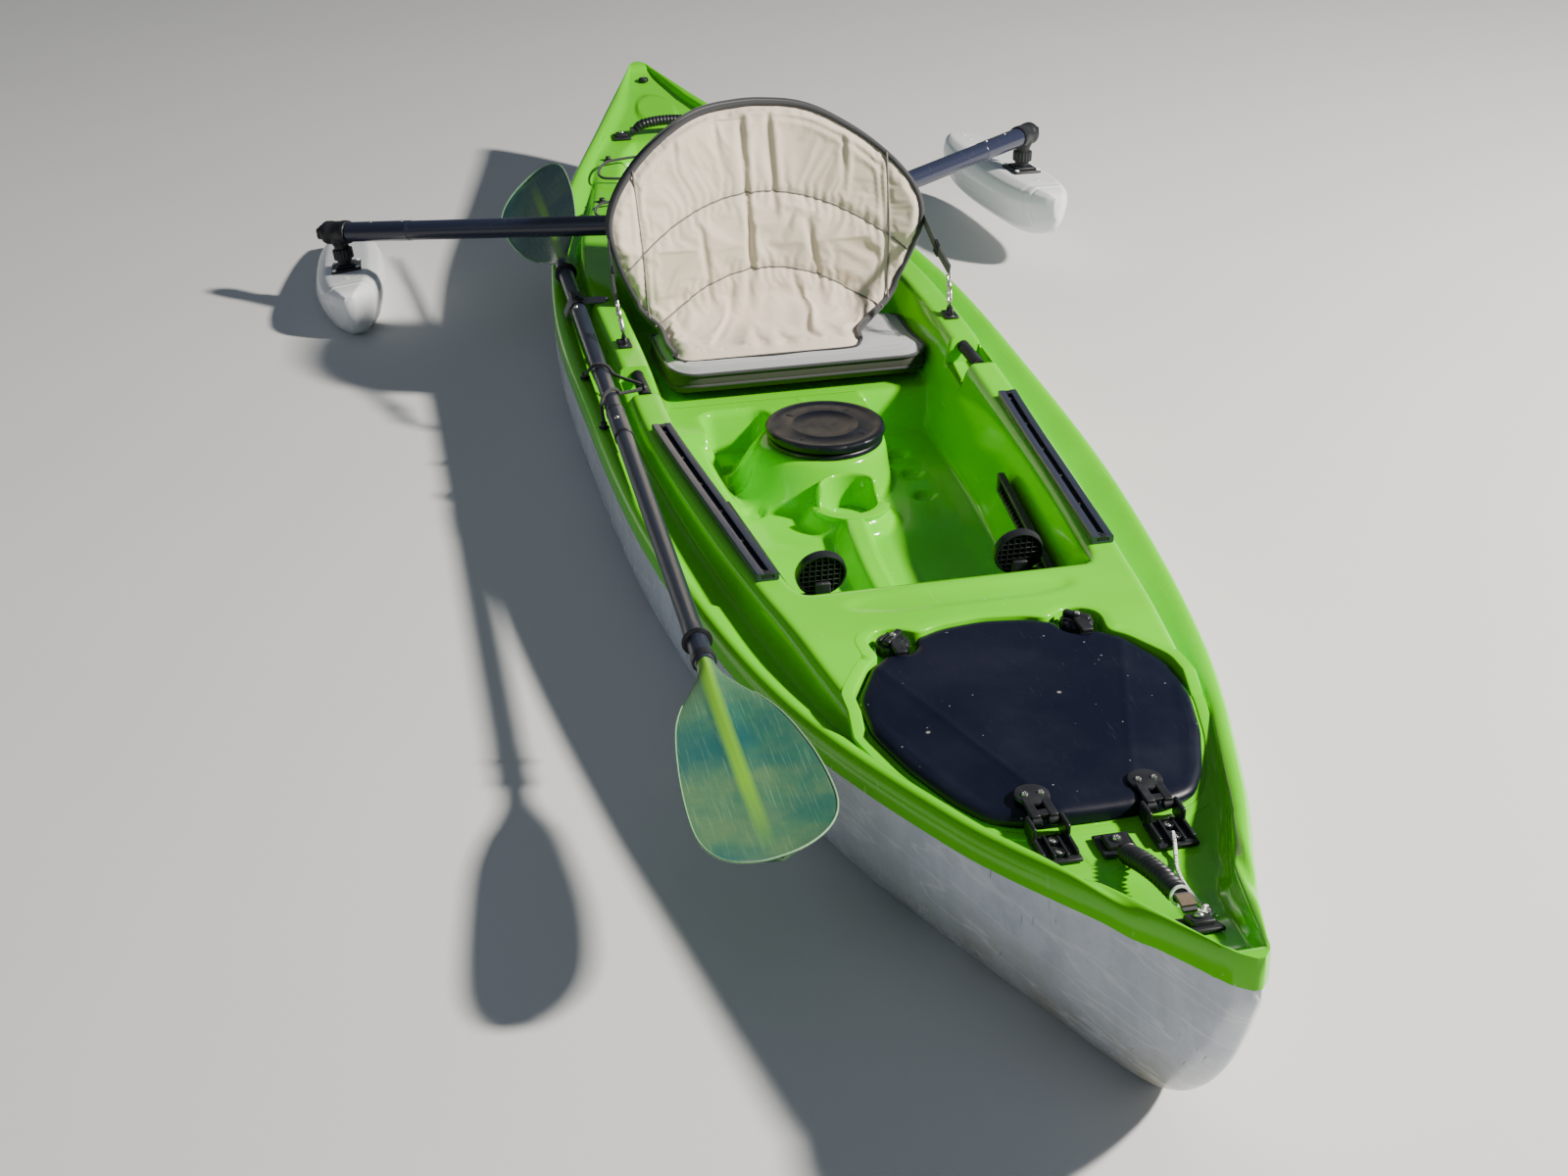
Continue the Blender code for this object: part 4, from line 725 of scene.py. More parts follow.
def float_plastic():
    """White float plastic with faint grey marks."""
    made, tree, shader, place = finish("float_white_satin", (0.74, 0.76, 0.78), 0.3, Coat_Weight=0.15)
    marks = effect(tree, "Water Marks", place, Scale=14.0, Top=0.3, Foot=-0.05)
    worn = effect(tree, "Scratches", place, Scale=18.0, Amount=0.7)["Mask"]
    base = tinted(tree, marks["Mask"], 0.22, (0.74, 0.76, 0.78, 1.0), (0.5, 0.52, 0.52, 1.0))
    base = tinted(tree, worn, 0.3, base, (0.4, 0.41, 0.42, 1.0))
    tree.links.new(base, shader.inputs["Base Color"])
    grain = effect(tree, "Moulded Grain", place, Wave_Scale=18.0, Grain_Scale=700.0, Grain=0.15)["Height"]
    set_bump(tree, shader, grain, 0.0006, 0.6)
    return made


# Deck and hull


def hatch_outline(grow, count=160):
    """Even points round the front hatch's outline, grown or shrunk by a distance."""
    half = [Vector(p) for p in LID_OUTLINE]
    loop = half + [Vector((p.x, -p.y)) for p in half[-2:0:-1]]
    closed = loop + [loop[0]]
    length = [0.0]
    for a, b in zip(closed, closed[1:]):
        length.append(length[-1] + (b - a).length)
    at = np.linspace(0, length[-1], count, endpoint=False)
    xs = np.interp(at, length, [p.x for p in closed])
    ys = np.interp(at, length, [p.y for p in closed])
    for _ in range(6):
        xs = (np.roll(xs, 1) + 2 * xs + np.roll(xs, -1)) / 4
        ys = (np.roll(ys, 1) + 2 * ys + np.roll(ys, -1)) / 4
    middle = (1.1675, 0.0)
    scale_x = 1 + 2 * grow / 0.465
    scale_y = 1 + grow / 0.21
    return [Vector((middle[0] + (x - middle[0]) * scale_x, y * scale_y)) for x, y in zip(xs, ys)]


def surround_loop(grow, count=320):
    """The hatch's outline, grown by a distance and pushed out round the two latch pockets."""
    middle = Vector((1.19, 0.0))
    loop = []
    for p in hatch_outline(grow, count):
        heading = (p - middle).normalized()
        reach = (p - middle).length
        for y in (LATCH_Y, -LATCH_Y):
            offset = Vector((LATCH_X, y)) - middle
            ahead = offset.dot(heading)
            chord = ahead * ahead - offset.length_squared + (LATCH_POCKET + grow) ** 2
            if chord > 0 and ahead > 0:
                reach = max(reach, ahead + math.sqrt(chord))
        loop.append((middle.x + heading.x * reach, heading.y * reach))
    points = np.array(loop)
    for _ in range(4):
        points = (np.roll(points, 1, axis=0) + 2 * points + np.roll(points, -1, axis=0)) / 4
    return [Vector(p) for p in points]


def inside_outline(xs, ys, outline):
    """Mask of the points that lie inside a closed outline."""
    inside = np.zeros(np.shape(xs), bool)
    for a, b in zip(outline, outline[1:] + outline[:1]):
        if a.y == b.y:
            continue
        crosses = (a.y > ys) != (b.y > ys)
        inside ^= crosses & (xs < (b.x - a.x) * (ys - a.y) / (b.y - a.y) + a.x)
    return inside


def well_floor(x):
    """Height along the centre line, with rounded slopes down into each well."""
    top = along(DECK_HEIGHT, x)
    floor = top.copy()
    for aft, fore, low in (TANKWELL, SEAT_WELL, FOOTWELL):
        inside = (x >= aft) & (x <= fore)
        behind = SEAT_WELL[2] if aft == SEAT_WELL[1] else top
        ahead = low if fore == SEAT_WELL[1] else top
        rise_aft = step(0, 0.045, x - aft)
        rise_fore = step(0, 0.045, fore - x)
        height = np.maximum(behind + (low - behind) * rise_aft, ahead + (low - ahead) * rise_fore)
        floor = np.where(inside, height, floor)
    return floor


def deck_stations():
    """Places of the deck's sections, close together over the cockpit and the hatch."""
    runs = ((-1.83, -1.79, 0.004), (-1.79, -1.4, 0.014), (-1.4, -0.56, 0.013), (-0.56, -0.15, 0.011),
            (-0.15, 0.36, 0.0046), (0.36, 0.84, 0.008), (0.84, 1.47, 0.0088), (1.47, 1.79, 0.011),
            (1.79, 1.83, 0.004))
    return np.concatenate([np.arange(low, high - pitch / 2, pitch) for low, high, pitch in runs] + [[1.83]])


def half_sections(x):
    """Deck sections from the seam to the centre line: arrays of y and z, one row for each station."""
    b = along(HALF_BEAM, x)
    s = along(SEAM_HEIGHT, x)
    k = np.minimum(1.0, b / 0.1)
    top = along(DECK_HEIGHT, x)
    floor = well_floor(x)
    outer = np.maximum(np.minimum(along(COAMING_INSIDE, x) + COAMING_WIDTH, b - 0.04 * k), b * 0.45)
    inner = outer - COAMING_WIDTH * np.minimum(1.0, outer / 0.12)
    depth = (top - floor) / (top - FOOTWELL[2])
    foot = inner - 0.045 * np.minimum(1.0, inner / 0.1) * (0.35 + 0.65 * depth)
    gutter = np.minimum(s + 0.022, top + 0.012)
    corners = [(b, s), (b + 0.001 * k, s + 0.010), (b, s + 0.030), (b - 0.010 * k, s + 0.04),
               (b - 0.026 * k, s + 0.036), (outer + 0.012 * k, gutter), (outer, top), (inner, top),
               (foot, floor), (foot * 0.5, floor), (0 * b, floor)]
    counts = (2, 3, 3, 4, 8, 5, 11, 13, 22, 22)
    ys, zs = [], []
    for (y0, z0), (y1, z1), count in zip(corners, corners[1:], counts):
        for i in range(count):
            ys.append(y0 + (y1 - y0) * i / count)
            zs.append(z0 + (z1 - z0) * i / count)
    ys.append(corners[-1][0])
    zs.append(corners[-1][1])
    return np.stack(ys, axis=1), np.stack(zs, axis=1)


def rounded(values, passes, axis, first=0):
    """Even out an array along one axis, which rounds its corners."""
    for _ in range(passes):
        moved = np.moveaxis(values, axis, -1)
        even = moved.copy()
        even[..., 1:-1] = (moved[..., :-2] + 2 * moved[..., 1:-1] + moved[..., 2:]) / 4
        if first:
            even[..., :first] = moved[..., :first]
        values = np.moveaxis(even, -1, axis)
    return values


def cockpit_forms(xs, ys, zs):
    """Console, shelf, ridge, trenches and drains of the footwell floor."""
    side = np.abs(ys)
    base = FOOTWELL[2]
    inside = (xs > SEAT_WELL[1]) & (xs < FOOTWELL[1]) & (side < along(COAMING_INSIDE, xs) - 0.012)
    ledge = 0.1 - 0.05 * step(-0.06, 0.24, xs)
    shelf = step(0.168, 0.206, side + 0.03 * step(0.0, 0.3, xs)) * step(0.02, -0.02, ys - 0.1)
    form = base + (ledge - base) * (1 - step(0.14, 0.3, xs)) * shelf
    radius = np.hypot(xs - ROUND_HATCH[0], ys)
    lean = ys / np.maximum(radius, 1e-6)
    foot = 0.15 - 0.034 * np.clip(lean, -1, 1)
    hump = base + (ROUND_HATCH[2] - base) * step(foot, 0.1, radius)
    crown = ROUND_HATCH[2] - 0.004 - base
    bridge = base + crown * step(0.128, 0.108, side) * step(0.06, 0.03, xs) * step(-0.02, 0.0, ys)
    off_trench = np.hypot(np.maximum(-0.055 - xs, 0), np.maximum(0.1 - side, 0) + np.maximum(side - 0.16, 0))
    aft_end = base + crown * step(0.004, 0.034, off_trench) * step(0.06, 0.0, xs) * step(0.02, 0.0, ys)
    pedestal = base + 0.034 * step(0.086, 0.058, np.hypot(xs - CUP[0], ys))
    bend = 0.018 * np.sin(np.clip((xs - 0.25) / 0.5, 0, 1) * math.pi)
    ridge_top = 0.04 - 0.012 * step(0.3, 0.74, xs)
    across = ys + bend
    ridge = base + ridge_top * step(0.03, 0.012, across) * step(-0.044, -0.012, across)
    ridge = base + (ridge - base) * step(0.2, 0.26, xs) * step(0.78, 0.72, xs)
    form = soft_max(form, bridge, 0.012)
    form = soft_max(form, aft_end, 0.006)
    form = soft_max(form, hump, 0.012)
    form = soft_max(form, pedestal, 0.01)
    form = soft_max(form, ridge, 0.01)
    trench = -0.006 * step(0.03, 0.07, side) * step(0.205, 0.16, side)
    trench = trench * step(0.3, 0.42, xs) * step(0.78, 0.7, xs)
    form = form + trench
    for x, y in DRAINS:
        form = form - 0.008 * step(0.021, 0.014, np.hypot(xs - x, side - y))
    lifted = np.where(inside & (zs < base + 0.1), np.maximum(zs, soft_max(form, zs, 0.008)), zs)
    near_floor = inside & (zs < base + 0.002)
    return np.where(near_floor, form, lifted)


def deck_forms(xs, ys, zs, top):
    """Recesses in the deck's upper surface."""
    side = np.abs(ys)
    near = (xs > 0.88) & (xs < 1.43) & (side < 0.24)
    recess = near & inside_outline(xs, ys, surround_loop(0.012))
    zs = np.where(recess, np.minimum(zs, PLATFORM), zs)
    crescent = step(1.0, 0.55, ((xs - 0.852) / 0.032) ** 2 + (ys / 0.17) ** 4) * step(0.81, 0.85, xs)
    zs = zs - 0.0032 * crescent
    for y in (HINGE_Y, -HINGE_Y):
        seat = step(0.032, 0.027, np.abs(ys - y)) * step(1.405, 1.412, xs) * step(1.486, 1.476, xs)
        zs = np.where(seat > 0, zs + (PLATFORM + 0.0008 - zs) * seat, zs)
    channel = step(0.052, 0.03, side) * step(1.5, 1.53, xs) * step(1.67, 1.64, xs)
    zs = zs - 0.0045 * channel
    scoop = step(0.012, 0.0, np.abs(side - (0.12 - 0.24 * (xs - 1.45))))
    scoop = scoop * step(1.46, 1.52, xs) * step(1.72, 1.66, xs)
    zs = zs - 0.006 * scoop
    arch = np.hypot((xs + 1.56) / 0.1, side / 0.05)
    zs = zs + 0.006 * step(1.0, 0.8, arch)
    pocket_x = step(0.052, 0.047, np.abs(xs - BAR_X))
    reach = side - along(COAMING_INSIDE, xs)
    pocket = pocket_x * step(-0.035, -0.01, reach) * step(0.054, 0.049, reach) * (zs > top - 0.12)
    return np.where(pocket > 0, np.minimum(zs, zs + (top - 0.045 - zs) * pocket), zs)


def deck_grid():
    """Fine half deck as arrays of x, y and z, from the seam to the centre line."""
    x = deck_stations()
    ys, zs = half_sections(x)
    fixed = 3
    ys = rounded(ys, 3, 1, fixed) * tip_taper(x)[:, None]
    zs = rounded(zs, 3, 1, fixed)
    lip = along(SEAM_HEIGHT, x)[:, None] + 0.0395
    zs[:, 8:] += (np.maximum(zs[:, 8:], lip) - zs[:, 8:]) * step(1.765, 1.812, np.abs(x))[:, None]
    plateau = (x > 0.9) & (x < 1.45)
    softened = rounded(zs, 3, 0)
    zs = np.where(plateau[:, None], zs, softened)
    xs = np.repeat(x[:, None], ys.shape[1], axis=1)
    full_x = np.concatenate([xs, xs[:, -2::-1]], axis=1)
    full_y = np.concatenate([ys, -ys[:, -2::-1]], axis=1)
    full_z = np.concatenate([zs, zs[:, -2::-1]], axis=1)
    top = along(DECK_HEIGHT, x)[:, None]
    full_z = cockpit_forms(full_x, full_y, full_z)
    full_z = deck_forms(full_x, full_y, full_z, top)
    return full_x, full_y, full_z


def sheet_faces(rows, columns, skip=None):
    """Quads of a grid of points, leaving out those that the mask names."""
    index = np.arange(rows * columns).reshape(rows, columns)
    quads = np.stack([index[:-1, :-1], index[:-1, 1:], index[1:, 1:], index[1:, :-1]], axis=-1).reshape(-1, 4)
    if skip is not None:
        quads = quads[~skip.reshape(-1)]
    return [tuple(int(i) for i in quad) for quad in quads]


def make_deck():
    """Deck skin with its wells, cup, hatch surround, rims and drains, as one piece."""
    xs, ys, zs = deck_grid()
    middle_x = (xs[:-1, :-1] + xs[1:, 1:]) / 2
    middle_y = (ys[:-1, :-1] + ys[1:, 1:]) / 2
    hole = inside_outline(middle_x, middle_y, hatch_outline(-0.033, 120))
    hole |= np.hypot(middle_x - ROUND_HATCH[0], middle_y) < 0.088
    hole |= np.hypot(middle_x - CUP[0], middle_y) < 0.048
    verts = np.stack([xs, ys, zs], axis=-1).reshape(-1, 3).tolist()
    rows, columns = xs.shape
    faces = sheet_faces(rows, columns, skip=hole)
    faces += [tuple(range(columns)), tuple(range((rows - 1) * columns, rows * columns))]
    skin = loose("deck_skin", verts, faces, coat("lime"), angle=60)
    parts = [skin, hatch_rim(), hatch_surround(), round_well(), cup_ring()]
    for x, y in DRAINS:
        for side in (1, -1):
            place = (x, side * y, FOOTWELL[2] - 0.0085)
            parts.append(loose("drain",
                               *ring_mesh([(0.01, 0.0), (0.0115, 0.002), (0.015, 0.002), (0.0165, 0.0)],
                                          place, 32), coat("lime")))
            # Dark green disc at the bottom of each drain dimple: painted shade of the drain hole
            parts.append(loose("drain_shade_disc", *lathe_mesh([(0.0104, 0.0), (0.0104, 0.0008)], place, 24),
                               coat("inside")))
    return joined("deck_shell", parts, stands_for=("deck",))


def hatch_surround():
    """Smooth edge of the deck round the hatch recess and its latch pockets."""
    profile = [(0.0045, None), (0.0045, -0.0022), (0.0055, -0.0004), (0.0075, 0.0004), (0.0205, 0.0005),
               (0.0225, -0.0025)]
    loops = [surround_loop(grow) for grow, _ in profile]
    count = len(loops[0])
    n = len(profile)
    verts = []
    for i in range(count):
        for loop, (_, lift) in zip(loops, profile):
            level = max(along(DECK_HEIGHT, loop[i].x), PLATFORM + 0.001)
            verts.append((loop[i].x, loop[i].y, PLATFORM - 0.003 if lift is None else level + lift))
    faces = band_faces(count, n, closed=True, open_rows=True)
    return loose("hatch_surround", verts, faces, coat("lime"), angle=50)


def hatch_rim():
    """Moulded lip round the front hatch opening."""
    profile = [(-0.027, PLATFORM - 0.004), (-0.028, PLATFORM + 0.0001), (-0.036, PLATFORM + 0.0001),
               (-0.038, PLATFORM - 0.002), (-0.038, PLATFORM - 0.034), (-0.034, PLATFORM - 0.034),
               (-0.034, PLATFORM - 0.006)]
    loops = [hatch_outline(grow) for grow, _ in profile]
    n = len(profile)
    count = len(loops[0])
    verts = [(loops[i][s].x, loops[i][s].y, profile[i][1]) for s in range(count) for i in range(n)]
    faces = band_faces(count, n, closed=True)
    return loose("hatch_rim", verts, faces, coat("lime"))


def round_well():
    """Sleeve under the round hatch."""
    profile = [(0.084, 0.01), (0.084, ROUND_HATCH[2] + 0.0002), (0.092, ROUND_HATCH[2] + 0.0002),
               (0.092, 0.01)]
    return loose("round_well", *ring_mesh(profile, (ROUND_HATCH[0], ROUND_HATCH[1], 0.0), 64), coat("lime"))


def cup_ring():
    """Cup holder with a low front lip, a high back and a notch at each side."""
    sides = 96
    verts = []
    rows = 8
    for s in range(sides):
        a = 2 * math.pi * s / sides
        back = float(step(-0.25, 0.55, -math.cos(a)))
        notch = float(step(0.34, 0.16, abs(abs(((a + math.pi) % (2 * math.pi)) - math.pi) - 1.62)))
        crest = CUP[2] - 0.016 + 0.028 * back - 0.014 * notch
        flare = 0.013 * (1 - back) * max(0.0, 1 - notch)
        for radius, height in ((0.040, 0.042), (0.0455, crest - 0.006), (0.0468, crest - 0.0012),
                               (0.0495 + flare / 2, crest), (0.0525 + flare, crest - 0.0012),
                               (0.054 + flare, crest - 0.006), (0.0545 + flare / 2, crest - 0.014),
                               (0.058, 0.034)):
            verts.append((CUP[0] + radius * math.cos(a), radius * math.sin(a), height))
    faces = band_faces(sides, rows, closed=True, open_rows=True)
    faces.append(tuple(s * rows for s in range(sides)))
    return loose("cup_ring", verts, faces, coat("lime"), angle=60)


def tip_taper(x):
    """Share of the width that is left at the rounded tips."""
    return 1 - 0.65 * np.clip((np.abs(x) - 1.808) / 0.022, 0, 1) ** 2


def hull_section(x, inset, points=22):
    """Half hull section from the seam to the keel, as (y, z) pairs."""
    b = (along(HALF_BEAM, x) - 0.0015) * float(tip_taper(x)) - inset
    top = along(SEAM_HEIGHT, x) - GAP
    low = along(KEEL_HEIGHT, x) + inset * 1.15
    power = 2 / along(HULL_FULLNESS, x)
    half = [(b, top)]
    for i in range(points):
        t = 0.5 * math.pi * i / (points - 1)
        drop = (top - 0.012 - low) * math.sin(t) ** power
        half.append((b * max(math.cos(t), 0.0) ** power, top - 0.012 - drop))
    half[-1] = (0.0, half[-1][1])
    return half


def make_hull():
    """Hull bowl with its outer and inner skins."""
    stations = np.concatenate([np.linspace(-1.829, -1.6, 24), np.linspace(-1.59, 1.4, 90),
                               np.linspace(1.41, 1.829, 44)])
    rows = []
    for x in stations:
        wall = 0.006 if -1.77 < x < 1.75 else 0.0012
        wall = min(wall, max(0.0008, along(HALF_BEAM, x) * 0.12))
        out = hull_section(float(x), 0.0)
        inner = hull_section(float(x), wall)
        loop = [(y, z) for y, z in out] + [(-y, z) for y, z in out[-2::-1]]
        loop += [(-y, z) for y, z in inner] + [(y, z) for y, z in inner[-2::-1]]
        rows.append([(float(x), y, z) for y, z in loop])
    count = len(rows[0])
    verts = [p for row in rows for p in row]
    faces = band_faces(len(rows), count)
    half = count // 2
    for start in (0, (len(rows) - 1) * count):
        faces.append(tuple(start + i for i in range(half)))
    return piece("hull_shell", verts, faces, coat("hull"), stands_for=("hull",), slot="white_hull", angle=50)


# Front hatch


def make_front_hatch():
    """Front hatch lid with rounded edges, creases, latch notches and a rim underneath."""
    low = PLATFORM + GAP
    thick = LID_THICKNESS
    middle = Vector((1.19, 0.0))
    edge = []
    for p in hatch_outline(0.0, 220):
        heading = p - middle
        reach = heading.length
        heading.normalize()
        for y in (LATCH_Y, -LATCH_Y):
            centre = Vector((0.969, y))
            offset = middle - centre
            b = offset.dot(heading)
            inside = b * b - (offset.length_squared - LATCH_POCKET ** 2)
            if inside > 0 and -b - math.sqrt(inside) > 0:
                reach = min(reach, -b - math.sqrt(inside))
        edge.append(heading * reach)
    profile = [(-0.012, 0.001), (-0.004, 0.0), (0.0, 0.002), (0.0, 0.012), (-0.0012, 0.0165),
               (-0.004, 0.0195), (-0.009, 0.0212), (-0.016, thick)]
    verts = []
    for inward, height in profile:
        for p in edge:
            q = middle + p * (1 + inward / p.length)
            drop = lid_height(q.x, q.y, thick) - thick
            verts.append((q.x, q.y, low + height + drop * float(step(0.006, 0.016, height))))
    shares = np.linspace(0.92, 0.02, 60)
    for share in shares:
        for p in edge:
            q = middle + p * share
            verts.append((q.x, q.y, low + lid_height(q.x, q.y, thick)))
    count = len(edge)
    rows = len(profile) + len(shares)
    faces = band_faces(rows, count)
    faces.append(tuple((rows - 1) * count + i for i in range(count)))
    faces.append(tuple(range(count)))
    lid = loose("lid", verts, faces, coat("hatch"), angle=50)
    seal = hatch_outline(-0.024, 120)
    ribs = []
    for grow, depth in ((-0.040, 0.012), (-0.052, 0.008)):
        loop = hatch_outline(grow, 120)
        ribs.append(loose("lid_rib",
                          *tube_mesh([(p.x, p.y, low - depth * 0.3) for p in loop], 0.0035, 8, True),
                          coat("hatch")))
    gasket = loose("lid_gasket", *tube_mesh([(p.x, p.y, low + 0.0018) for p in seal], 0.0015, 6, True),
                   coat("black"))
    joined("front_hatch_panel", [lid, gasket] + ribs, "front_hatch", ("front_hatch_lid",))


def lid_height(x, y, thick):
    """Top of the lid: a flat middle, and two side facets that fall away from creases toward the latches."""
    start = Vector((1.36, 0.0565))
    heading = (Vector((1.0, 0.176)) - start).normalized()
    offset = Vector((x, abs(y))) - start
    outboard = offset.y * -heading.x + offset.x * heading.y
    crest = 0.0008 * math.exp(-(outboard / 0.005) ** 2)
    return thick + crest - 0.12 * min(max(outboard, 0.0), 0.06)


def make_latches():
    """Turning latches at the hatch's aft corners: ribbed knob, tongue and base."""
    for side, tag in SIDES:
        x, y = 0.963, side * LATCH_Y
        low = PLATFORM + GAP
        turn = Matrix.Rotation(side * 0.75, 3, "Z")
        wave = lambda a, h: 0.035 * math.cos(14 * a) if 0.006 < h < 0.018 else 0.0
        body = loose("latch_body",
                     *lathe_mesh([(0.019, 0.002), (0.0225, 0.004), (0.0228, 0.016), (0.0215, 0.0195),
                                  (0.017, 0.0215), (0.005, 0.022)], (x, y, low), 84, wave=wave),
                     coat("black"))
        parts = [body]
        parts.append(black_block("latch_bar", (0.040, 0.011, 0.009), (x, y, low + 0.0245), 0.003, turn))
        for offset in (-0.013, 0.013):
            place = Vector((x, y, low + 0.022)) + turn @ Vector((0, offset, 0))
            parts.append(black_block("latch_rib", (0.026, 0.004, 0.004), place, 0.0015, turn))
        parts.append(bolt("latch_pin", (x, y, low + 0.0288), 0.0042, coat("bolt")))
        parts.append(black_block("latch_tongue", (0.036, 0.016, 0.006), (x + 0.026, y, low + 0.0253), 0.002))
        joined("latch_" + tag, parts, "front_hatch", ("hatch_latch_" + tag,))


def make_hinges():
    """Hatch hinges: round leaf on the lid, barrel, and the bolted deck leaf with two cheeks."""
    for side, tag in SIDES:
        y = side * HINGE_Y
        top = PLATFORM + GAP + LID_THICKNESS
        x = LID_AXIS.x
        parts = [loose("leaf_disc",
                       *lathe_mesh([(0.0205, 0.0003), (0.0215, 0.002), (0.0207, 0.0046), (0.0165, 0.0062),
                                    (0.004, 0.0066)], (1.362, y, top), 40), coat("black"))]
        for offset in (-0.011, 0.011):
            parts.append(black_block("leaf_arm", (0.052, 0.011, 0.0056), (1.384, y + offset, top + 0.0033),
                                     0.0018))
            parts.append(bolt("leaf_bolt", (1.364, y + offset * 0.9, top + 0.0066), 0.0042, coat("bolt")))
        parts.append(black_block("leaf_bridge", (0.012, 0.034, 0.005), (1.401, y, top + 0.0026), 0.0015))
        for low, high in ((-0.0165, -0.004), (0.004, 0.0165)):
            barrel = [(0.0045, low), (0.0056, low + 0.001), (0.0056, high - 0.001), (0.0045, high)]
            parts.append(loose("leaf_barrel", *lathe_mesh(barrel, (x, y, LID_AXIS.z), 20, (0, 1, 0)),
                               coat("black")))
        joined("hinge_leaf_dress_" + tag, parts, "front_hatch", ("hinge_leaf_" + tag,))

        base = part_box("hinge_plate_" + tag)[0][2]
        parts = [black_block("plate_base", (0.054, 0.050, 0.0052), (1.447, y, base + 0.0026), 0.002)]
        for offset in (-0.0205, 0.0205):
            cheek = black_block("plate_cheek", (0.030, 0.006, 0.024), (1.419, y + offset, base + 0.0125),
                                0.0028)
            parts.append(cheek)
            parts.append(black_block("plate_rail", (0.040, 0.005, 0.009), (1.446, y + offset, base + 0.007),
                                     0.0018))
        for offset in (-0.008, 0.008):
            parts.append(black_block("plate_rib", (0.044, 0.0035, 0.008), (1.447, y + offset, base + 0.0068),
                                     0.0012))
        for place in (1.437, 1.460):
            parts.append(loose("plate_cup",
                               *ring_mesh([(0.0036, 0.0), (0.0068, 0.0), (0.0068, 0.0048), (0.005, 0.0054)],
                                          (place, y, base + 0.0046), 20), coat("black")))
            parts.append(bolt("plate_bolt", (place, y, base + 0.0068), 0.0044, coat("bolt")))
        joined("hinge_plate_dress_" + tag, parts, "kayak", ("hinge_plate_" + tag,))


def make_round_hatch():
    """Black round hatch: ring with a bayonet step, and a lid with a raised inner ring and finger marks."""
    cx, cy, z = ROUND_HATCH
    z += GAP
    ring = ring_mesh([(0.078, 0.0), (0.078, 0.010), (0.080, 0.0115), (0.088, 0.0118), (0.0965, 0.009),
                      (0.0985, 0.006), (0.0985, 0.001), (0.097, 0.0)], (cx, cy, z), 96)
    piece("round_hatch_seat", *ring, coat("hatch_ring"), stands_for=("round_hatch_ring",),
          slot="black_fitting")
    base = z + 0.0123

    def grip(angle, height):
        if not 0.002 < height < 0.011:
            return 0
        return 0.006 * float(step(0.1, 0.16, abs((angle * 10 / math.pi) % 2 - 1) - 0.6))

    profile = [(0.094, 0.0), (0.1005, 0.001), (0.1015, 0.004), (0.1015, 0.0095), (0.1, 0.0125),
               (0.096, 0.0142), (0.09, 0.0142), (0.087, 0.0124), (0.082, 0.0118), (0.060, 0.0122),
               (0.0572, 0.0136), (0.0545, 0.0136), (0.052, 0.0116), (0.030, 0.0108), (0.004, 0.0106)]
    lid = loose("lid_round", *lathe_mesh(profile, (cx, cy, base), 120, wave=grip), coat("hatch_ring"))
    parts = [lid]
    for i in range(4):
        a = math.pi / 4 + i * math.pi / 2
        place = (cx + 0.0715 * math.cos(a), cy + 0.0715 * math.sin(a), base + 0.0122)
        parts.append(rounded_block("lid_mark", (0.012, 0.003, 0.0016), place, coat("hatch_ring"), 0.0006,
                                   Matrix.Rotation(a, 3, "Z")))
    joined("round_hatch_cap", parts, "round_hatch", ("round_hatch_lid",))


# Cockpit fittings


def deck_top(x):
    """Height at which fittings sit on the deck."""
    return along(DECK_HEIGHT, x) + 0.0006


def track_side(x):
    """Distance of the gear track's middle from the centre line."""
    aft = along(COAMING_INSIDE, TRACK_AFT) + 0.027
    fore = along(COAMING_INSIDE, TRACK_FORE) + 0.027
    return aft + (fore - aft) * (x - TRACK_AFT) / (TRACK_FORE - TRACK_AFT)


def make_tracks():
    """Slotted accessory tracks with rounded lips, screws down the slot and a stop at each end."""
    for side, tag in SIDES:
        name = "gear_track_" + tag
        section = [(-0.0148, 0.0), (0.0148, 0.0), (0.016, 0.0014), (0.016, 0.0104), (0.0148, 0.0118),
                   (0.0062, 0.0118), (0.0046, 0.0112), (0.0045, 0.0094), (0.0092, 0.0088), (0.0092, 0.0036),
                   (-0.0092, 0.0036), (-0.0092, 0.0088), (-0.0045, 0.0094), (-0.0046, 0.0112),
                   (-0.0062, 0.0118), (-0.0148, 0.0118), (-0.016, 0.0104), (-0.016, 0.0014)]
        stations = np.linspace(TRACK_AFT, TRACK_FORE, 64)
        verts = []
        for x in stations:
            for y, z in section:
                verts.append((x, side * (track_side(x) + y), deck_top(x) + z))
        n = len(section)
        faces = band_faces(len(stations), n)
        faces += end_faces(len(stations), n)
        parts = [loose("track_channel", verts, faces, coat("track"), angle=30)]
        for x in np.linspace(TRACK_AFT + 0.022, TRACK_FORE - 0.022, 6):
            place = (x, side * track_side(x), deck_top(x) + 0.0036)
            parts.append(bolt("track_screw", place, 0.0046, coat("bolt"), height=0.003))
        for x in (TRACK_AFT + 0.006, TRACK_FORE - 0.006):
            place = (x, side * track_side(x), deck_top(x) + 0.0066)
            parts.append(black_block("track_stop", (0.011, 0.0176, 0.0095), place, 0.0012))
        joined(name + "_dress", parts, stands_for=(name,))


def rail_side(x):
    """Distance of the foot rail's middle plane from the centre line."""
    aft = along(COAMING_INSIDE, RAIL_AFT) - 0.0315
    fore = along(COAMING_INSIDE, RAIL_FORE) - 0.0315
    return aft + (fore - aft) * (x - RAIL_AFT) / (RAIL_FORE - RAIL_AFT)


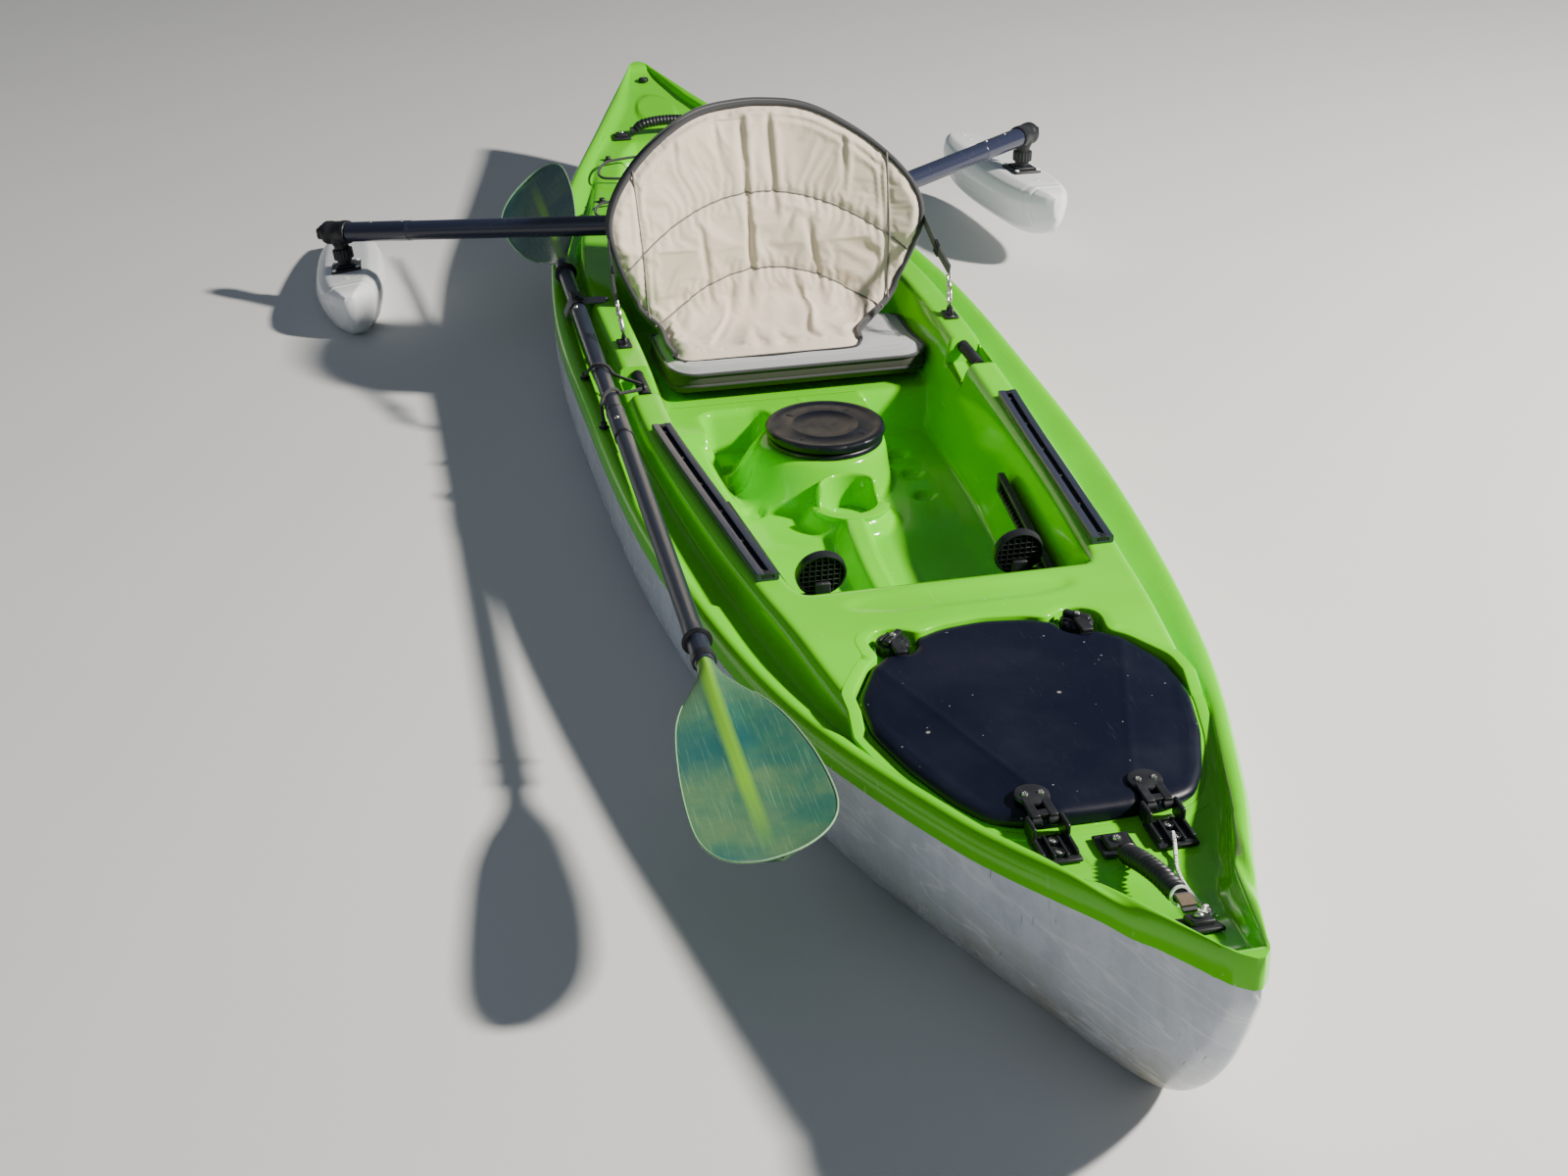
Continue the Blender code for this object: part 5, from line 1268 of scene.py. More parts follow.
def make_foot_rails():
    """Toothed foot brace rails: channel, teeth and end screws."""
    for side, tag in SIDES:
        name = "foot_rail_" + tag
        slope = (rail_side(RAIL_FORE) - rail_side(RAIL_AFT)) / (RAIL_FORE - RAIL_AFT)
        turn = Matrix.Rotation(side * math.atan(slope), 3, "Z")
        middle = (RAIL_AFT + RAIL_FORE) / 2
        length = (RAIL_FORE - RAIL_AFT) * math.hypot(1, slope)
        centre = Vector((middle, side * rail_side(middle), RAIL_HEIGHT))
        inward = turn @ Vector((0, -side, 0))

        def block(label, size, offset, radius, segments=2):
            place = centre + turn @ Vector((offset[0], 0, offset[2])) + inward * offset[1]
            return black_block(label, size, place, radius, turn, segments)

        parts = [block("rail_web", (length, 0.005, 0.033), (0, -0.0035, 0), 0.0015),
                 block("rail_top", (length, 0.012, 0.0065), (0, 0.0, 0.0135), 0.002),
                 block("rail_foot", (length, 0.012, 0.0065), (0, 0.0, -0.0135), 0.002)]
        for end in (-1, 1):
            parts.append(block("rail_end", (0.016, 0.012, 0.034), (end * (length / 2 - 0.008), 0.0, 0),
                               0.003))
            place = centre + turn @ Vector((end * (length / 2 - 0.009), 0, 0)) + inward * 0.0039
            parts.append(bolt("rail_screw", place, 0.0042, coat("bolt"), inward))
        teeth = 24
        for i in range(teeth):
            x = -length / 2 + 0.026 + (length - 0.052) * i / (teeth - 1)
            parts.append(block("rail_tooth", (0.0045, 0.0075, 0.007), (x, 0.0015, -0.0075), 0.001, 1))
        joined(name + "_dress", parts, stands_for=(name,))


def make_pedals():
    """Round foot pedals with a raised rim, an open grid of ribs behind, a stem and an arm to the rail."""
    for side, tag in SIDES:
        name = "foot_pedal_" + tag
        foot = Vector((PEDAL_X, side * PEDAL_SIDE, RAIL_HEIGHT))
        place = foot + Vector((0, 0, PEDAL_RISE))
        facing = Vector((-0.98, 0, 0.2)).normalized()
        turn = Matrix((Vector((0, 1, 0)), facing.cross(Vector((0, 1, 0))), facing)).transposed()
        rim = [(0.0355, -0.0078), (0.0375, -0.0062), (0.038, -0.001), (0.038, 0.004), (0.0366, 0.0066),
               (0.031, 0.0088), (0.01, 0.0094), (0.004, 0.0094), (0.004, 0.002), (0.0325, 0.0016),
               (0.0335, -0.0076)]
        parts = [loose("pedal_disc", *ring_mesh(rim, place, 64, facing), coat("black"))]
        parts.append(loose("pedal_hub", *lathe_mesh([(0.0045, 0.0015), (0.0045, 0.0092)], place, 20, facing),
                           coat("black")))
        for i in range(-3, 4):
            offset = i * 0.0092
            reach = 2 * math.sqrt(0.0335 ** 2 - offset ** 2)
            for size, shift in (((reach, 0.0022, 0.008), (0, offset, -0.0028)),
                                ((0.0022, reach, 0.008), (offset, 0, -0.0028))):
                parts.append(black_block("pedal_rib", size, place + turn @ Vector(shift), 0.0008, turn, 2))
        for i in range(-3, 4):
            grip = (2 * math.sqrt(0.031 ** 2 - (i * 0.0085) ** 2), 0.0024, 0.002)
            parts.append(black_block("pedal_grip", grip, place + turn @ Vector((0, i * 0.0085, 0.0096)),
                                     0.0008, turn, 2))
        parts.append(black_block("pedal_stem", (0.008, 0.024, PEDAL_RISE), place + Vector((0.011, 0, -0.03)),
                                 0.003))
        reach = rail_side(PEDAL_X + 0.027) - 0.006 - 0.0006 - PEDAL_SIDE
        middle = foot + Vector((0.012, side * reach / 2, 0))
        parts.append(black_block("pedal_arm", (0.030, reach, 0.020), middle, 0.004))
        parts.append(black_block("pedal_trigger", (0.012, 0.016, 0.006),
                                 middle + Vector((0, side * 0.004, 0.0102)), 0.002))
        joined(name + "_dress", parts, "pedal_" + tag, (name,))


def make_carry_bars():
    """Ribbed carry bars across the side pockets, with their end flanges."""
    for side, tag in SIDES:
        name = "carry_bar_" + tag
        y = side * (along(COAMING_INSIDE, BAR_X) + 0.022)
        z = along(DECK_HEIGHT, BAR_X) - 0.012
        points = [Vector((BAR_X - BAR_REACH + 2 * BAR_REACH * i / 120, y, z)) for i in range(121)]
        radii = []
        for p in points:
            edge = BAR_REACH - abs(p.x - BAR_X)
            ribbed = 0.0006 * math.cos(2 * math.pi * (p.x - BAR_X) / 0.0062) if edge > 0.012 else 0.0
            radii.append(0.0103 + ribbed - 0.002 * float(step(0.012, 0.006, edge)))
        parts = [loose("bar_grip", *tube_mesh(points, radii, 28, up=(0, 0, 1)), coat("black"), angle=70)]
        for end in (-1, 1):
            flange = [(0.0108, 0.0), (0.011, 0.0015), (0.0105, 0.004), (0.0085, 0.005)]
            parts.append(loose("bar_flange",
                               *lathe_mesh(flange, (BAR_X + end * 0.0496, y, z), 28, (-end, 0, 0)),
                               coat("black")))
        joined(name + "_dress", parts, stands_for=(name,))


# Handles


def ribbed_grip(name, route, radius, pitch, count=220, ends=0.02):
    """Soft grip sleeve with round ribs along a route, tapered at its ends."""
    points = curve_points(route, count)
    run = 0.0
    length = sum((b - a).length for a, b in zip(points, points[1:]))
    radii = []
    for i, p in enumerate(points):
        run += (p - points[max(i - 1, 0)]).length
        edge = min(run, length - run)
        rib = 0.13 * math.cos(2 * math.pi * run / pitch) if edge > ends * 0.6 else 0.0
        radii.append(radius * (0.9 + rib) * (0.78 + 0.22 * float(step(0.0, ends * 0.5, edge))))
    return loose(name, *tube_mesh(points, radii, 24, up=(0, 0, 1)), coat("black"), angle=70)


def deck_plate(name, x, y, size):
    """Rounded plate with a raised socket for a handle end and one screw."""
    slope = (along(DECK_HEIGHT, x + size[0] / 2) - along(DECK_HEIGHT, x - size[0] / 2)) / size[0]
    turn = Matrix.Rotation(-math.atan(slope), 3, "Y")
    up = turn @ Vector((0, 0, 1))
    base = Vector((x, y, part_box(name)[0][2])) + Vector((0, 0, abs(slope) * size[0] / 2))
    parts = [black_block("plate_foot", (size[0], size[1], 0.0055), base + up * 0.0028, 0.0024, turn)]
    parts.append(black_block("plate_boss", (size[0] * 0.62, size[1] * 0.66, 0.0085), base + up * 0.0076,
                             0.0028, turn))
    parts.append(loose("plate_washer", *lathe_mesh([(0.0075, 0.0), (0.0078, 0.001), (0.0066, 0.0015)],
                                                   base + up * 0.0117, 24, up), coat("black")))
    parts.append(bolt("plate_screw", base + up * 0.0128, 0.0054, coat("bolt"), up, 0.003))
    joined(name + "_dress", parts, stands_for=(name,))


def make_bow_handle():
    """Bow handle: two deck plates, a ribbed grip, its webbing end and a brown tab."""
    deck_plate("bow_handle_plate_aft", 1.455, 0.0, (0.046, 0.044, 0.012))
    deck_plate("bow_handle_plate_fore", 1.69, 0.0, (0.046, 0.040, 0.012))
    aft = along(DECK_HEIGHT, 1.485) + 0.0138
    fore = along(DECK_HEIGHT, 1.66) + 0.0168
    route = [(1.479, 0, aft), (1.495, 0, aft + 0.003), (1.53, 0, aft + 0.0175), (1.575, 0, aft + 0.033),
             (1.61, 0, fore - 0.0065), (1.637, 0, fore - 0.0015)]
    grip = ribbed_grip("bow_grip", route, 0.0125, 0.0108, 300)
    ring = ring_mesh([(0.0095, -0.0018), (0.0118, -0.0018), (0.0122, 0.0), (0.0118, 0.0018),
                      (0.0095, 0.0018)], (1.6365, 0, fore - 0.0015), 32, (0.95, 0, 0.3))
    tail = curve_points([(1.625, 0, fore), (1.645, 0, fore + 0.0015), (1.656, 0, fore + 0.0005),
                         (1.664, 0, fore - 0.0015)], 24)
    parts = [grip, loose("bow_ring", *ring, coat("float")),
             loose("bow_strap", *strap_mesh(tail, 0.016, 0.0035, (0, 1, 0)), coat("webbing"))]
    tab = curve_points([(1.642, 0, fore + 0.0045), (1.652, 0, fore + 0.0045), (1.66, 0, fore + 0.003)], 12)
    parts.append(loose("bow_tab", *strap_mesh(tab, 0.017, 0.002, (0, 1, 0)), coat("brown_webbing")))
    joined("bow_handle_dress", parts, stands_for=("bow_handle",))


def make_stern_handle():
    """Stern handle: ribbed grip across the deck between two plates."""
    x = -1.418
    for side, tag in SIDES:
        deck_plate("stern_handle_plate_" + tag, x, side * 0.105, (0.036, 0.04, 0.012))
    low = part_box("stern_handle")[0][2] + 0.0125
    half = [(0.0846, low), (0.076, low + 0.001), (0.055, low + 0.014), (0.0, low + 0.02)]
    route = [(x, -y, z) for y, z in half] + [(x, y, z) for y, z in half[-2::-1]]
    points = curve_points(route, 260)
    radii = []
    for p in points:
        rib = 0.05 * math.cos(2 * math.pi * p.y / 0.0078) if abs(p.y) < 0.068 else 0.0
        radii.append(0.0125 * (0.9 + rib) * (1.0 if abs(p.y) < 0.07 else 0.8))
    grip = loose("stern_grip", *tube_mesh(points, radii, 24, up=(1, 0, 0)), coat("black"), angle=70)
    joined("stern_handle_dress", [grip], stands_for=("stern_handle",))


def make_stern_cap():
    """Small black cap with a slotted screw on the stern tip."""
    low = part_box("stern_fitting")[0][2]
    profile = [(0.011, 0.0), (0.012, 0.0012), (0.012, 0.0055), (0.0108, 0.0078), (0.0075, 0.0092),
               (0.002, 0.0094)]
    parts = [loose("cap_body", *lathe_mesh(profile, (-1.735, 0, low), 36), coat("black")),
             bolt("cap_screw", (-1.735, 0, low + 0.0094), 0.0042, coat("bolt"), height=0.0018)]
    joined("stern_fitting_dress", parts, stands_for=("stern_fitting",))


# Seat


def back_frame(height, y, depth):
    """Point of the seat back: height up it, distance across, depth behind its front face."""
    bulge = 0.85 * min(1.0, max(height, 0.0) / 0.15) * y * y
    if height > 0.06:
        x = BACK_FOOT.x + bulge * math.cos(BACK_LEAN) + height * math.sin(BACK_LEAN)
        z = BACK_FOOT.z + height * math.cos(BACK_LEAN) - bulge * math.sin(BACK_LEAN)
    else:
        x = along(FOOT_FORWARD, height) + bulge
        z = along(FOOT_RISE, height)
    turn = 1.5 * float(step(0.07, -0.03, height))
    slid = y - 0.034 * float(step(0.03, -0.07, height))
    return Vector((x - depth * math.cos(turn), slid, z - depth * math.sin(turn)))


def back_half_width(height):
    """Half width of the seat back at a height up it."""
    return along(BACK_SHAPE, height)


def back_outline(count):
    """Even (y, height) points round the seat back, from the foot's middle round to port and back."""
    side = [(back_half_width(h), h) for h in np.linspace(BACK_SHAPE[0][0], BACK_SHAPE[-1][0], 160)]
    foot = BACK_SHAPE[0][0]
    half = [(0.0, foot)] + side + [(0.0, BACK_SHAPE[-1][0] + 0.001)]
    loop = half + [(-y, h) for y, h in half[-2:0:-1]]
    closed = np.array(loop + [loop[0]])
    length = np.concatenate([[0], np.cumsum(np.hypot(*np.diff(closed, axis=0).T))])
    at = np.linspace(0, length[-1], count, endpoint=False)
    y = np.interp(at, length, closed[:, 0])
    h = np.interp(at, length, closed[:, 1])
    for _ in range(5):
        y = (np.roll(y, 1) + 2 * y + np.roll(y, -1)) / 4
        h = (np.roll(h, 1) + 2 * h + np.roll(h, -1)) / 4
    return y, h


def upper_seam(y):
    """Height of the seat back's upper cross seam."""
    return 0.244 - 1.85 * y * y


def lower_seam(y):
    """Height of the seat back's lower cross seam."""
    return 0.105 - 2.1 * y * y


def side_seam(h):
    """Distance of the seat back's side seams from its middle."""
    return 0.225 + 0.045 * np.clip(h, 0, 0.4)


def seam_distance(y, h):
    """Distance from the nearest sewn line of the seat back."""
    upper = np.abs(h - upper_seam(y)) / np.sqrt(1 + (3.7 * y) ** 2)
    lower = np.abs(h - lower_seam(y)) / np.sqrt(1 + (4.2 * y) ** 2)
    side = np.where(h > 0.02, np.abs(np.abs(y) - side_seam(h)), 9.0)
    upper = np.where(np.abs(y) > 0.27, 9.0, upper)
    lower = np.where(np.abs(y) > side_seam(h), 9.0, lower)
    return np.minimum(np.minimum(upper, lower), side)


def wrinkles(y, h):
    """Folds of the seat back: pleats, long folds down it, and gathers along the seams and the foot."""
    relief = np.zeros(np.shape(y))
    for y0, drift, top, foot, depth, width in (
            (-0.024, -0.004, 0.385, 0.1, 0.0062, 0.0062), (0.028, 0.003, 0.385, 0.2, 0.0055, 0.0055),
            (-0.072, 0.03, 0.376, 0.31, 0.0042, 0.0048), (-0.155, 0.03, 0.354, 0.3, 0.0036, 0.0045),
            (0.162, -0.05, 0.342, 0.25, 0.0036, 0.005), (-0.02, -0.1, 0.2, 0.03, 0.0034, 0.008),
            (0.085, 0.1, 0.2, 0.02, 0.0026, 0.009), (-0.12, 0.08, 0.2, 0.03, 0.0026, 0.008),
            (0.05, 0.2, 0.1, -0.08, 0.003, 0.007), (-0.06, -0.2, 0.1, -0.08, 0.003, 0.007)):
        middle = y0 + drift * (top - h)
        fade = step(foot - 0.02, foot + 0.05, h) * step(top + 0.005, top - 0.02, h)
        relief -= depth * np.exp(-((y - middle) / width) ** 2) * fade
        relief += depth * 0.55 * np.exp(-((y - middle - 1.9 * width) / (1.3 * width)) ** 2) * fade
    near = np.exp(-(seam_distance(y, h) / 0.014) ** 2)
    relief += 0.0012 * near * (np.sin(240 * y + 3 * np.sin(60 * y)) + 0.6 * np.sin(410 * y + 1.0))
    gather = step(0.06, -0.02, h) * step(-0.13, -0.1, h)
    return (relief + gather * 0.0026 * np.sin(88 * y + 2 * np.sin(31 * y))
            * (0.6 + 0.4 * np.sin(60 * h + 9 * y)))


def thickness(height):
    """Share of the full padding: thin at the foot flap, full above the fold."""
    return 0.2 + 0.8 * float(step(-0.02, 0.08, height))


def back_sheet(edge_y, edge_h, pitch=0.0062):
    """Even triangles over the seat back's front, as (y, height) points with the outline first, and faces."""
    outline = [Vector((float(a), float(b))) for a, b in zip(edge_y, edge_h)]
    columns = np.arange(-0.3, 0.3, pitch)
    rows = np.arange(BACK_SHAPE[0][0], BACK_SHAPE[-1][0], pitch * math.sqrt(3) / 2)
    grid_y = np.array([columns + (pitch / 2 if r % 2 else 0.0) for r in range(len(rows))])
    grid_h = np.repeat(rows[:, None], len(columns), axis=1)
    inner = [Vector((p.x * (1 - pitch / 0.3), 0.18 + (p.y - 0.18) * (1 - pitch / 0.3))) for p in outline]
    kept = inside_outline(grid_y, grid_h, inner)
    points = outline + [Vector((float(a), float(b))) for a, b in zip(grid_y[kept], grid_h[kept])]
    edges = [(i, (i + 1) % len(outline)) for i in range(len(outline))]
    verts, _, faces, _, _, _ = delaunay_2d_cdt(points, edges, [], 1, 1e-7)
    return np.array([tuple(v) for v in verts]), [tuple(f) for f in faces]


def settle_cloth(sheet, held, shrink, pressure):
    """Let a sewn sheet swell and pucker between its held lines, then keep the shape it reaches."""
    before = np.array([tuple(v.co) for v in sheet.data.vertices])
    group = sheet.vertex_groups.new(name="held")
    for index in np.nonzero(held)[0]:
        group.add([int(index)], 1.0, "REPLACE")
    cloth = sheet.modifiers.new("Cloth", "CLOTH")
    cloth.settings.quality = 5
    cloth.settings.mass = 0.25
    cloth.settings.vertex_group_mass = "held"
    cloth.settings.shrink_min = shrink
    cloth.settings.use_pressure = True
    cloth.settings.uniform_pressure_force = pressure
    cloth.settings.bending_stiffness = 0.3
    cloth.settings.air_damping = 6.0
    cloth.settings.effector_weights.gravity = 0.0
    cloth.collision_settings.use_collision = False
    cloth.point_cache.frame_start = 1
    cloth.point_cache.frame_end = 20
    for number in range(1, 21):
        bpy.context.scene.frame_set(number)
    apply_modifiers(sheet)
    bpy.context.scene.frame_set(1)
    after = np.array([tuple(v.co) for v in sheet.data.vertices])
    move = after - before
    reach = np.linalg.norm(move, axis=1, keepdims=True)
    move *= np.minimum(1.0, 0.012 / np.maximum(reach, 1e-9))
    sheet.data.vertices.foreach_set("co", (before + move).ravel())
    sheet.data.update()


def make_seat_back():
    """Sewn seat back: swelling front sheet, dark edge wall and back, piping and seam tapes."""
    sizes = settings()[0]
    count = 280
    edge_y, edge_h = back_outline(count)
    flat, faces = back_sheet(edge_y, edge_h)
    y, h = flat[:, 0], flat[:, 1]
    border = np.min(np.hypot(y[:, None] - edge_y[None, :], h[:, None] - edge_h[None, :]), axis=1)
    seam = seam_distance(y, h)
    puff = sizes.puff * (1 - np.exp(-seam / 0.012)) * step(0.0, 0.028, border)
    band = 0.0026 * np.exp(-((border - 0.026) / 0.004) ** 2) * step(0.24, 0.3, h)
    relief = puff - band + wrinkles(y, h) * step(0.0, 0.02, border) - 0.001 * np.exp(-(seam / 0.003) ** 2)
    drop = 0.008 * (1 - step(0.0, 0.02, border))
    verts = [back_frame(float(b), float(a), float(d)) for a, b, d in zip(y, h, drop - relief)]
    front = loose("back_front", verts, faces, coat("back_cloth"), angle=80)
    settle_cloth(front, (seam < 0.004) | (border < 0.004) | (h < -0.1), -0.035, 1.2)
    smooth = front.modifiers.new("Smooth", "SUBSURF")
    smooth.levels = 1
    smooth.render_levels = 1

    wall = []
    for depth, outward in ((0.008, 0.0), (0.014, 0.0022), (0.022, 0.003), (0.028, 0.0012), (0.031, 0.0)):
        scale = 1 + outward / 0.25
        wall += [back_frame(float(0.18 + (b - 0.18) * scale), float(a * scale), depth * thickness(b))
                 for a, b in zip(edge_y, edge_h)]
    rows = len(wall) // count
    strips = band_faces(rows, count)
    rear = [back_frame(float(b), float(a), float((0.031 + 0.005 * step(0.0, 0.02, gap)) * thickness(b)))
            for a, b, gap in zip(y, h, border)]
    parts = [front, loose("back_wall", wall, strips, coat("dark_cloth"), angle=70),
             loose("back_rear", rear, faces, coat("dark_cloth"), angle=70)]

    piped = [(float(a), float(b)) for a, b in zip(edge_y, edge_h) if b > BACK_SHAPE[0][0] + 0.02]
    for depth, radius in ((0.0075, sizes.piping), (0.031, sizes.piping * 0.8)):
        rim = [back_frame(b, a, depth * thickness(b)) for a, b in piped]
        parts.append(loose("back_piping", *tube_mesh(rim, radius, 10), coat("webbing"), angle=80))
    wing = 0.263
    tapes = [[(a, upper_seam(a)) for a in np.linspace(-wing, wing, 120)],
             [(a, lower_seam(a)) for a in np.linspace(-0.215, 0.215, 90)],
             [(side_seam(b), b) for b in np.linspace(0.03, 0.295, 70)],
             [(-side_seam(b), b) for b in np.linspace(0.03, 0.295, 70)]]
    for line in tapes:
        path = [back_frame(float(b), float(a), -float(wrinkles(np.array([a]), np.array([b]))[0]))
                for a, b in line]
        parts.append(loose("back_seam", *tube_mesh(path, 0.002, 6), coat("seam_tape"), angle=80))
    whole = joined("seat_back_pad", parts, body=None)
    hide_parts("seat_backrest")
    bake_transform(whole)


# Height of the cushion's underside along x
CUSHION_FOOT = [(-0.415, 0.114), (-0.39, 0.1054), (-0.33, 0.1054), (-0.17, 0.114), (-0.135, 0.128)]


def cushion_outline(inset, count=260):
    """Even (x, y) points round the seat cushion, with rounded corners."""
    low_x, high_x, half = -0.413 + inset, -0.137 - inset, 0.234 - inset
    radius = max(0.05 - inset, 0.01)
    points = []
    for cx, cy, start in ((high_x - radius, half - radius, 0), (low_x + radius, half - radius, 90),
                          (low_x + radius, -half + radius, 180), (high_x - radius, -half + radius, 270)):
        for i in range(13):
            a = math.radians(start + 90 * i / 12)
            points.append((cx + radius * math.cos(a), cy + radius * math.sin(a) + 0.012))
    closed = np.array(points + [points[0]])
    length = np.concatenate([[0], np.cumsum(np.hypot(*np.diff(closed, axis=0).T))])
    at = np.linspace(0, length[-1], count, endpoint=False)
    return np.interp(at, length, closed[:, 0]), np.interp(at, length, closed[:, 1])


def cushion_top(x, y):
    """Height of the cushion's upper face."""
    height = along([(-0.415, 0.138), (-0.4, 0.142), (-0.36, 0.1535), (-0.28, 0.154), (-0.2, 0.163),
                    (-0.17, 0.166), (-0.137, 0.164)], x)
    return height - 0.006 * (1 - (y / 0.232) ** 2) * step(-0.15, -0.2, x)


def make_cushion():
    """Seat cushion: crowned top with a sewn channel, dark front band between two pipings."""
    count = 260
    verts = []
    rows = [(0.03, "foot", 0.0), (0.012, "foot", 0.0), (0.002, "foot", 0.004), (0.0, "wall", 0.25),
            (-0.002, "wall", 0.5), (-0.001, "wall", 0.8), (0.0, "wall", 1.0)]
    for inset, kind, share in rows:
        x, y = cushion_outline(inset, count)
        low = along(CUSHION_FOOT, x)
        high = cushion_top(x, y) - 0.006
        z = low + share if kind == "foot" else low + (high - low) * share
        verts += list(zip(x, y, z))
    n = len(rows)
    faces = band_faces(n, count)
    faces.append(tuple(range(count)))
    band = loose("cushion_wall", [tuple(float(c) for c in v) for v in verts], faces, coat("band_cloth"),
                 angle=60)
    top = []
    insets = [0.0, 0.004, 0.009, 0.015, 0.021, 0.026, 0.029, 0.032, 0.036, 0.042, 0.05, 0.06, 0.07, 0.08,
              0.095, 0.11, 0.125, 0.14, 0.155]
    for inset in insets:
        x, y = cushion_outline(inset, count)
        crown = 0.0075 * step(0.0, 0.02, inset) - 0.0025 * math.exp(-((inset - 0.0305) / 0.003) ** 2)
        folds = 0.0012 * np.sin(60 * x + 4 * y) * np.sin(48 * y) * float(step(0.035, 0.06, inset))
        z = cushion_top(x, y) - 0.006 + crown + folds
        top += list(zip(x, y, z))
    n = len(insets)
    faces = band_faces(n, count)
    faces.append(tuple((n - 1) * count + i for i in range(count)))
    cover = loose("cushion_cover", [tuple(float(c) for c in v) for v in top], faces, coat("cushion_cloth"),
                  angle=70)
    parts = [band, cover]
    for share, radius in ((1.0, 0.0032), (0.3, 0.0026)):
        x, y = cushion_outline(-0.0015, count)
        low = along(CUSHION_FOOT, x)
        z = low + (cushion_top(x, y) - 0.006 - low) * share
        parts.append(loose("cushion_piping",
                           *tube_mesh(list(zip(x.tolist(), y.tolist(), z.tolist())), radius, 8, True),
                           coat("webbing"), angle=80))
    whole = joined("seat_cushion_pad", parts, "kayak", ("seat_cushion",))


def strap_ends(side):
    """Upper end of a side strap, on the wing of the seat back, and its lower end at the hook."""
    upper = back_frame(0.17, 0.291, 0.016) + Vector((0.0, 0.004, 0.0))
    lower = Vector((-0.225, 0.305, along(DECK_HEIGHT, -0.19) + 0.075))
    return [Vector((p.x, side * p.y, p.z)) for p in (upper, lower)]


def make_seat_straps():
    """Side straps with adjusters, snap hooks and pad-eyes."""
    for side, tag in SIDES:
        upper, lower = strap_ends(side)
        middle = (upper + lower) / 2 + Vector((0, 0, -0.006))
        route = curve_points([upper, middle, lower], 40)
        across = (0.45, 0, 0.9)
        parts = [loose("strap_web", *strap_mesh(route, 0.02, 0.0018, across), coat("webbing"))]
        doubled = [p + Vector((0, side * 0.0022, 0)) for p in route[22:]]
        parts.append(loose("strap_tail", *strap_mesh(doubled, 0.02, 0.0016, across), coat("webbing")))
        heading = (route[24] - route[20]).normalized()
        wide = (Vector(across) - heading * heading.dot(Vector(across))).normalized()
        turn = Matrix((heading, wide, heading.cross(wide))).transposed()
        for offset in (-0.008, 0.0, 0.008):
            parts.append(black_block("adjuster_bar", (0.003, 0.026, 0.0055), route[22] + heading * offset,
                                     0.0012, turn))
        for offset in (-0.0125, 0.0125):
            parts.append(black_block("adjuster_side", (0.019, 0.003, 0.0055), route[22] + wide * offset,
                                     0.0012, turn))
        strap = joined("seat_strap_dress_" + tag, parts, body=None)
        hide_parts("seat_strap_" + tag)
        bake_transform(strap)

        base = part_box("pad_eye_" + tag)[0][2]
        eye = Vector((-0.19, side * 0.299, base))
        loop = curve_points([eye + Vector((x, 0, z))
                             for x, z in ((-0.0125, 0.003), (-0.0115, 0.011), (-0.006, 0.0165),
                                          (0.006, 0.0165), (0.0115, 0.011), (0.0125, 0.003))], 30)
        parts = [black_block("eye_plate", (0.040, 0.024, 0.005), eye + Vector((0, 0, 0.0025)), 0.0022),
                 loose("eye_loop", *tube_mesh(loop, 0.0032, 12, up=(0, 1, 0)), coat("black"))]
        for x in (-0.0155, 0.0155):
            parts.append(bolt("eye_screw", eye + Vector((x, 0, 0.005)), 0.0032, coat("bolt"), height=0.0014))
        joined("pad_eye_dress_" + tag, parts, stands_for=("pad_eye_" + tag,))
        make_snap_hook(tag, eye, lower)


def make_snap_hook(tag, eye, lower):
    """Steel snap hook from the pad-eye's loop up to the strap: hook, gate, swivel and eye."""
    foot = eye + Vector((-0.004, 0, 0.0195))
    head = lower + Vector((0.0007, 0, -0.0063))
    up = (head - foot).normalized()
    fore = up.cross(Vector((0, 1, 0))).normalized()
    length = (head - foot).length

    def at(across, rise):
        return foot + fore * across + up * rise

    hook = [at(0.0085, 0.022), at(0.0095, 0.014), at(0.008, 0.006), at(0.0, 0.0015), at(-0.0075, 0.006),
            at(-0.0085, 0.014), at(-0.008, 0.024), at(-0.004, 0.031), at(0.0, 0.034)]
    parts = [loose("hook_bend", *tube_mesh(curve_points(hook, 44), 0.0026, 12, up=(0, 1, 0)), coat("steel"))]
    gate = [at(0.0085, 0.0195), at(0.0078, 0.028), at(0.003, 0.033)]
    parts.append(loose("hook_gate", *tube_mesh(curve_points(gate, 14), 0.002, 10, up=(0, 1, 0)),
                       coat("steel")))
    parts.append(bolt("hook_knob", at(0.0105, 0.027), 0.0032, coat("steel"), fore, 0.004))
    collar = [(0.0045, 0.0), (0.0058, 0.001), (0.0058, 0.006), (0.0042, 0.0078), (0.0036, 0.0095),
              (0.005, 0.0115)]
    parts.append(loose("hook_swivel", *lathe_mesh(collar, at(0.0, 0.033), 24, up), coat("steel")))
    ring = [at(0.0, 0.044), at(0.0098, 0.047), at(0.0105, length - 0.002), at(-0.0105, length - 0.002),
            at(-0.0098, 0.047)]
    rounded_ring = [ring[0], (ring[0] + ring[1]) / 2 + fore * 0.001, ring[1], ring[2],
                    (ring[2] + ring[3]) / 2, ring[3], ring[4]]
    parts.append(loose("hook_eye", *tube_mesh(rounded_ring, 0.0022, 10, True, up=(0, 1, 0)), coat("steel")))
    joined("snap_hook_dress_" + tag, parts, stands_for=("snap_hook_" + tag,))


# Paddle


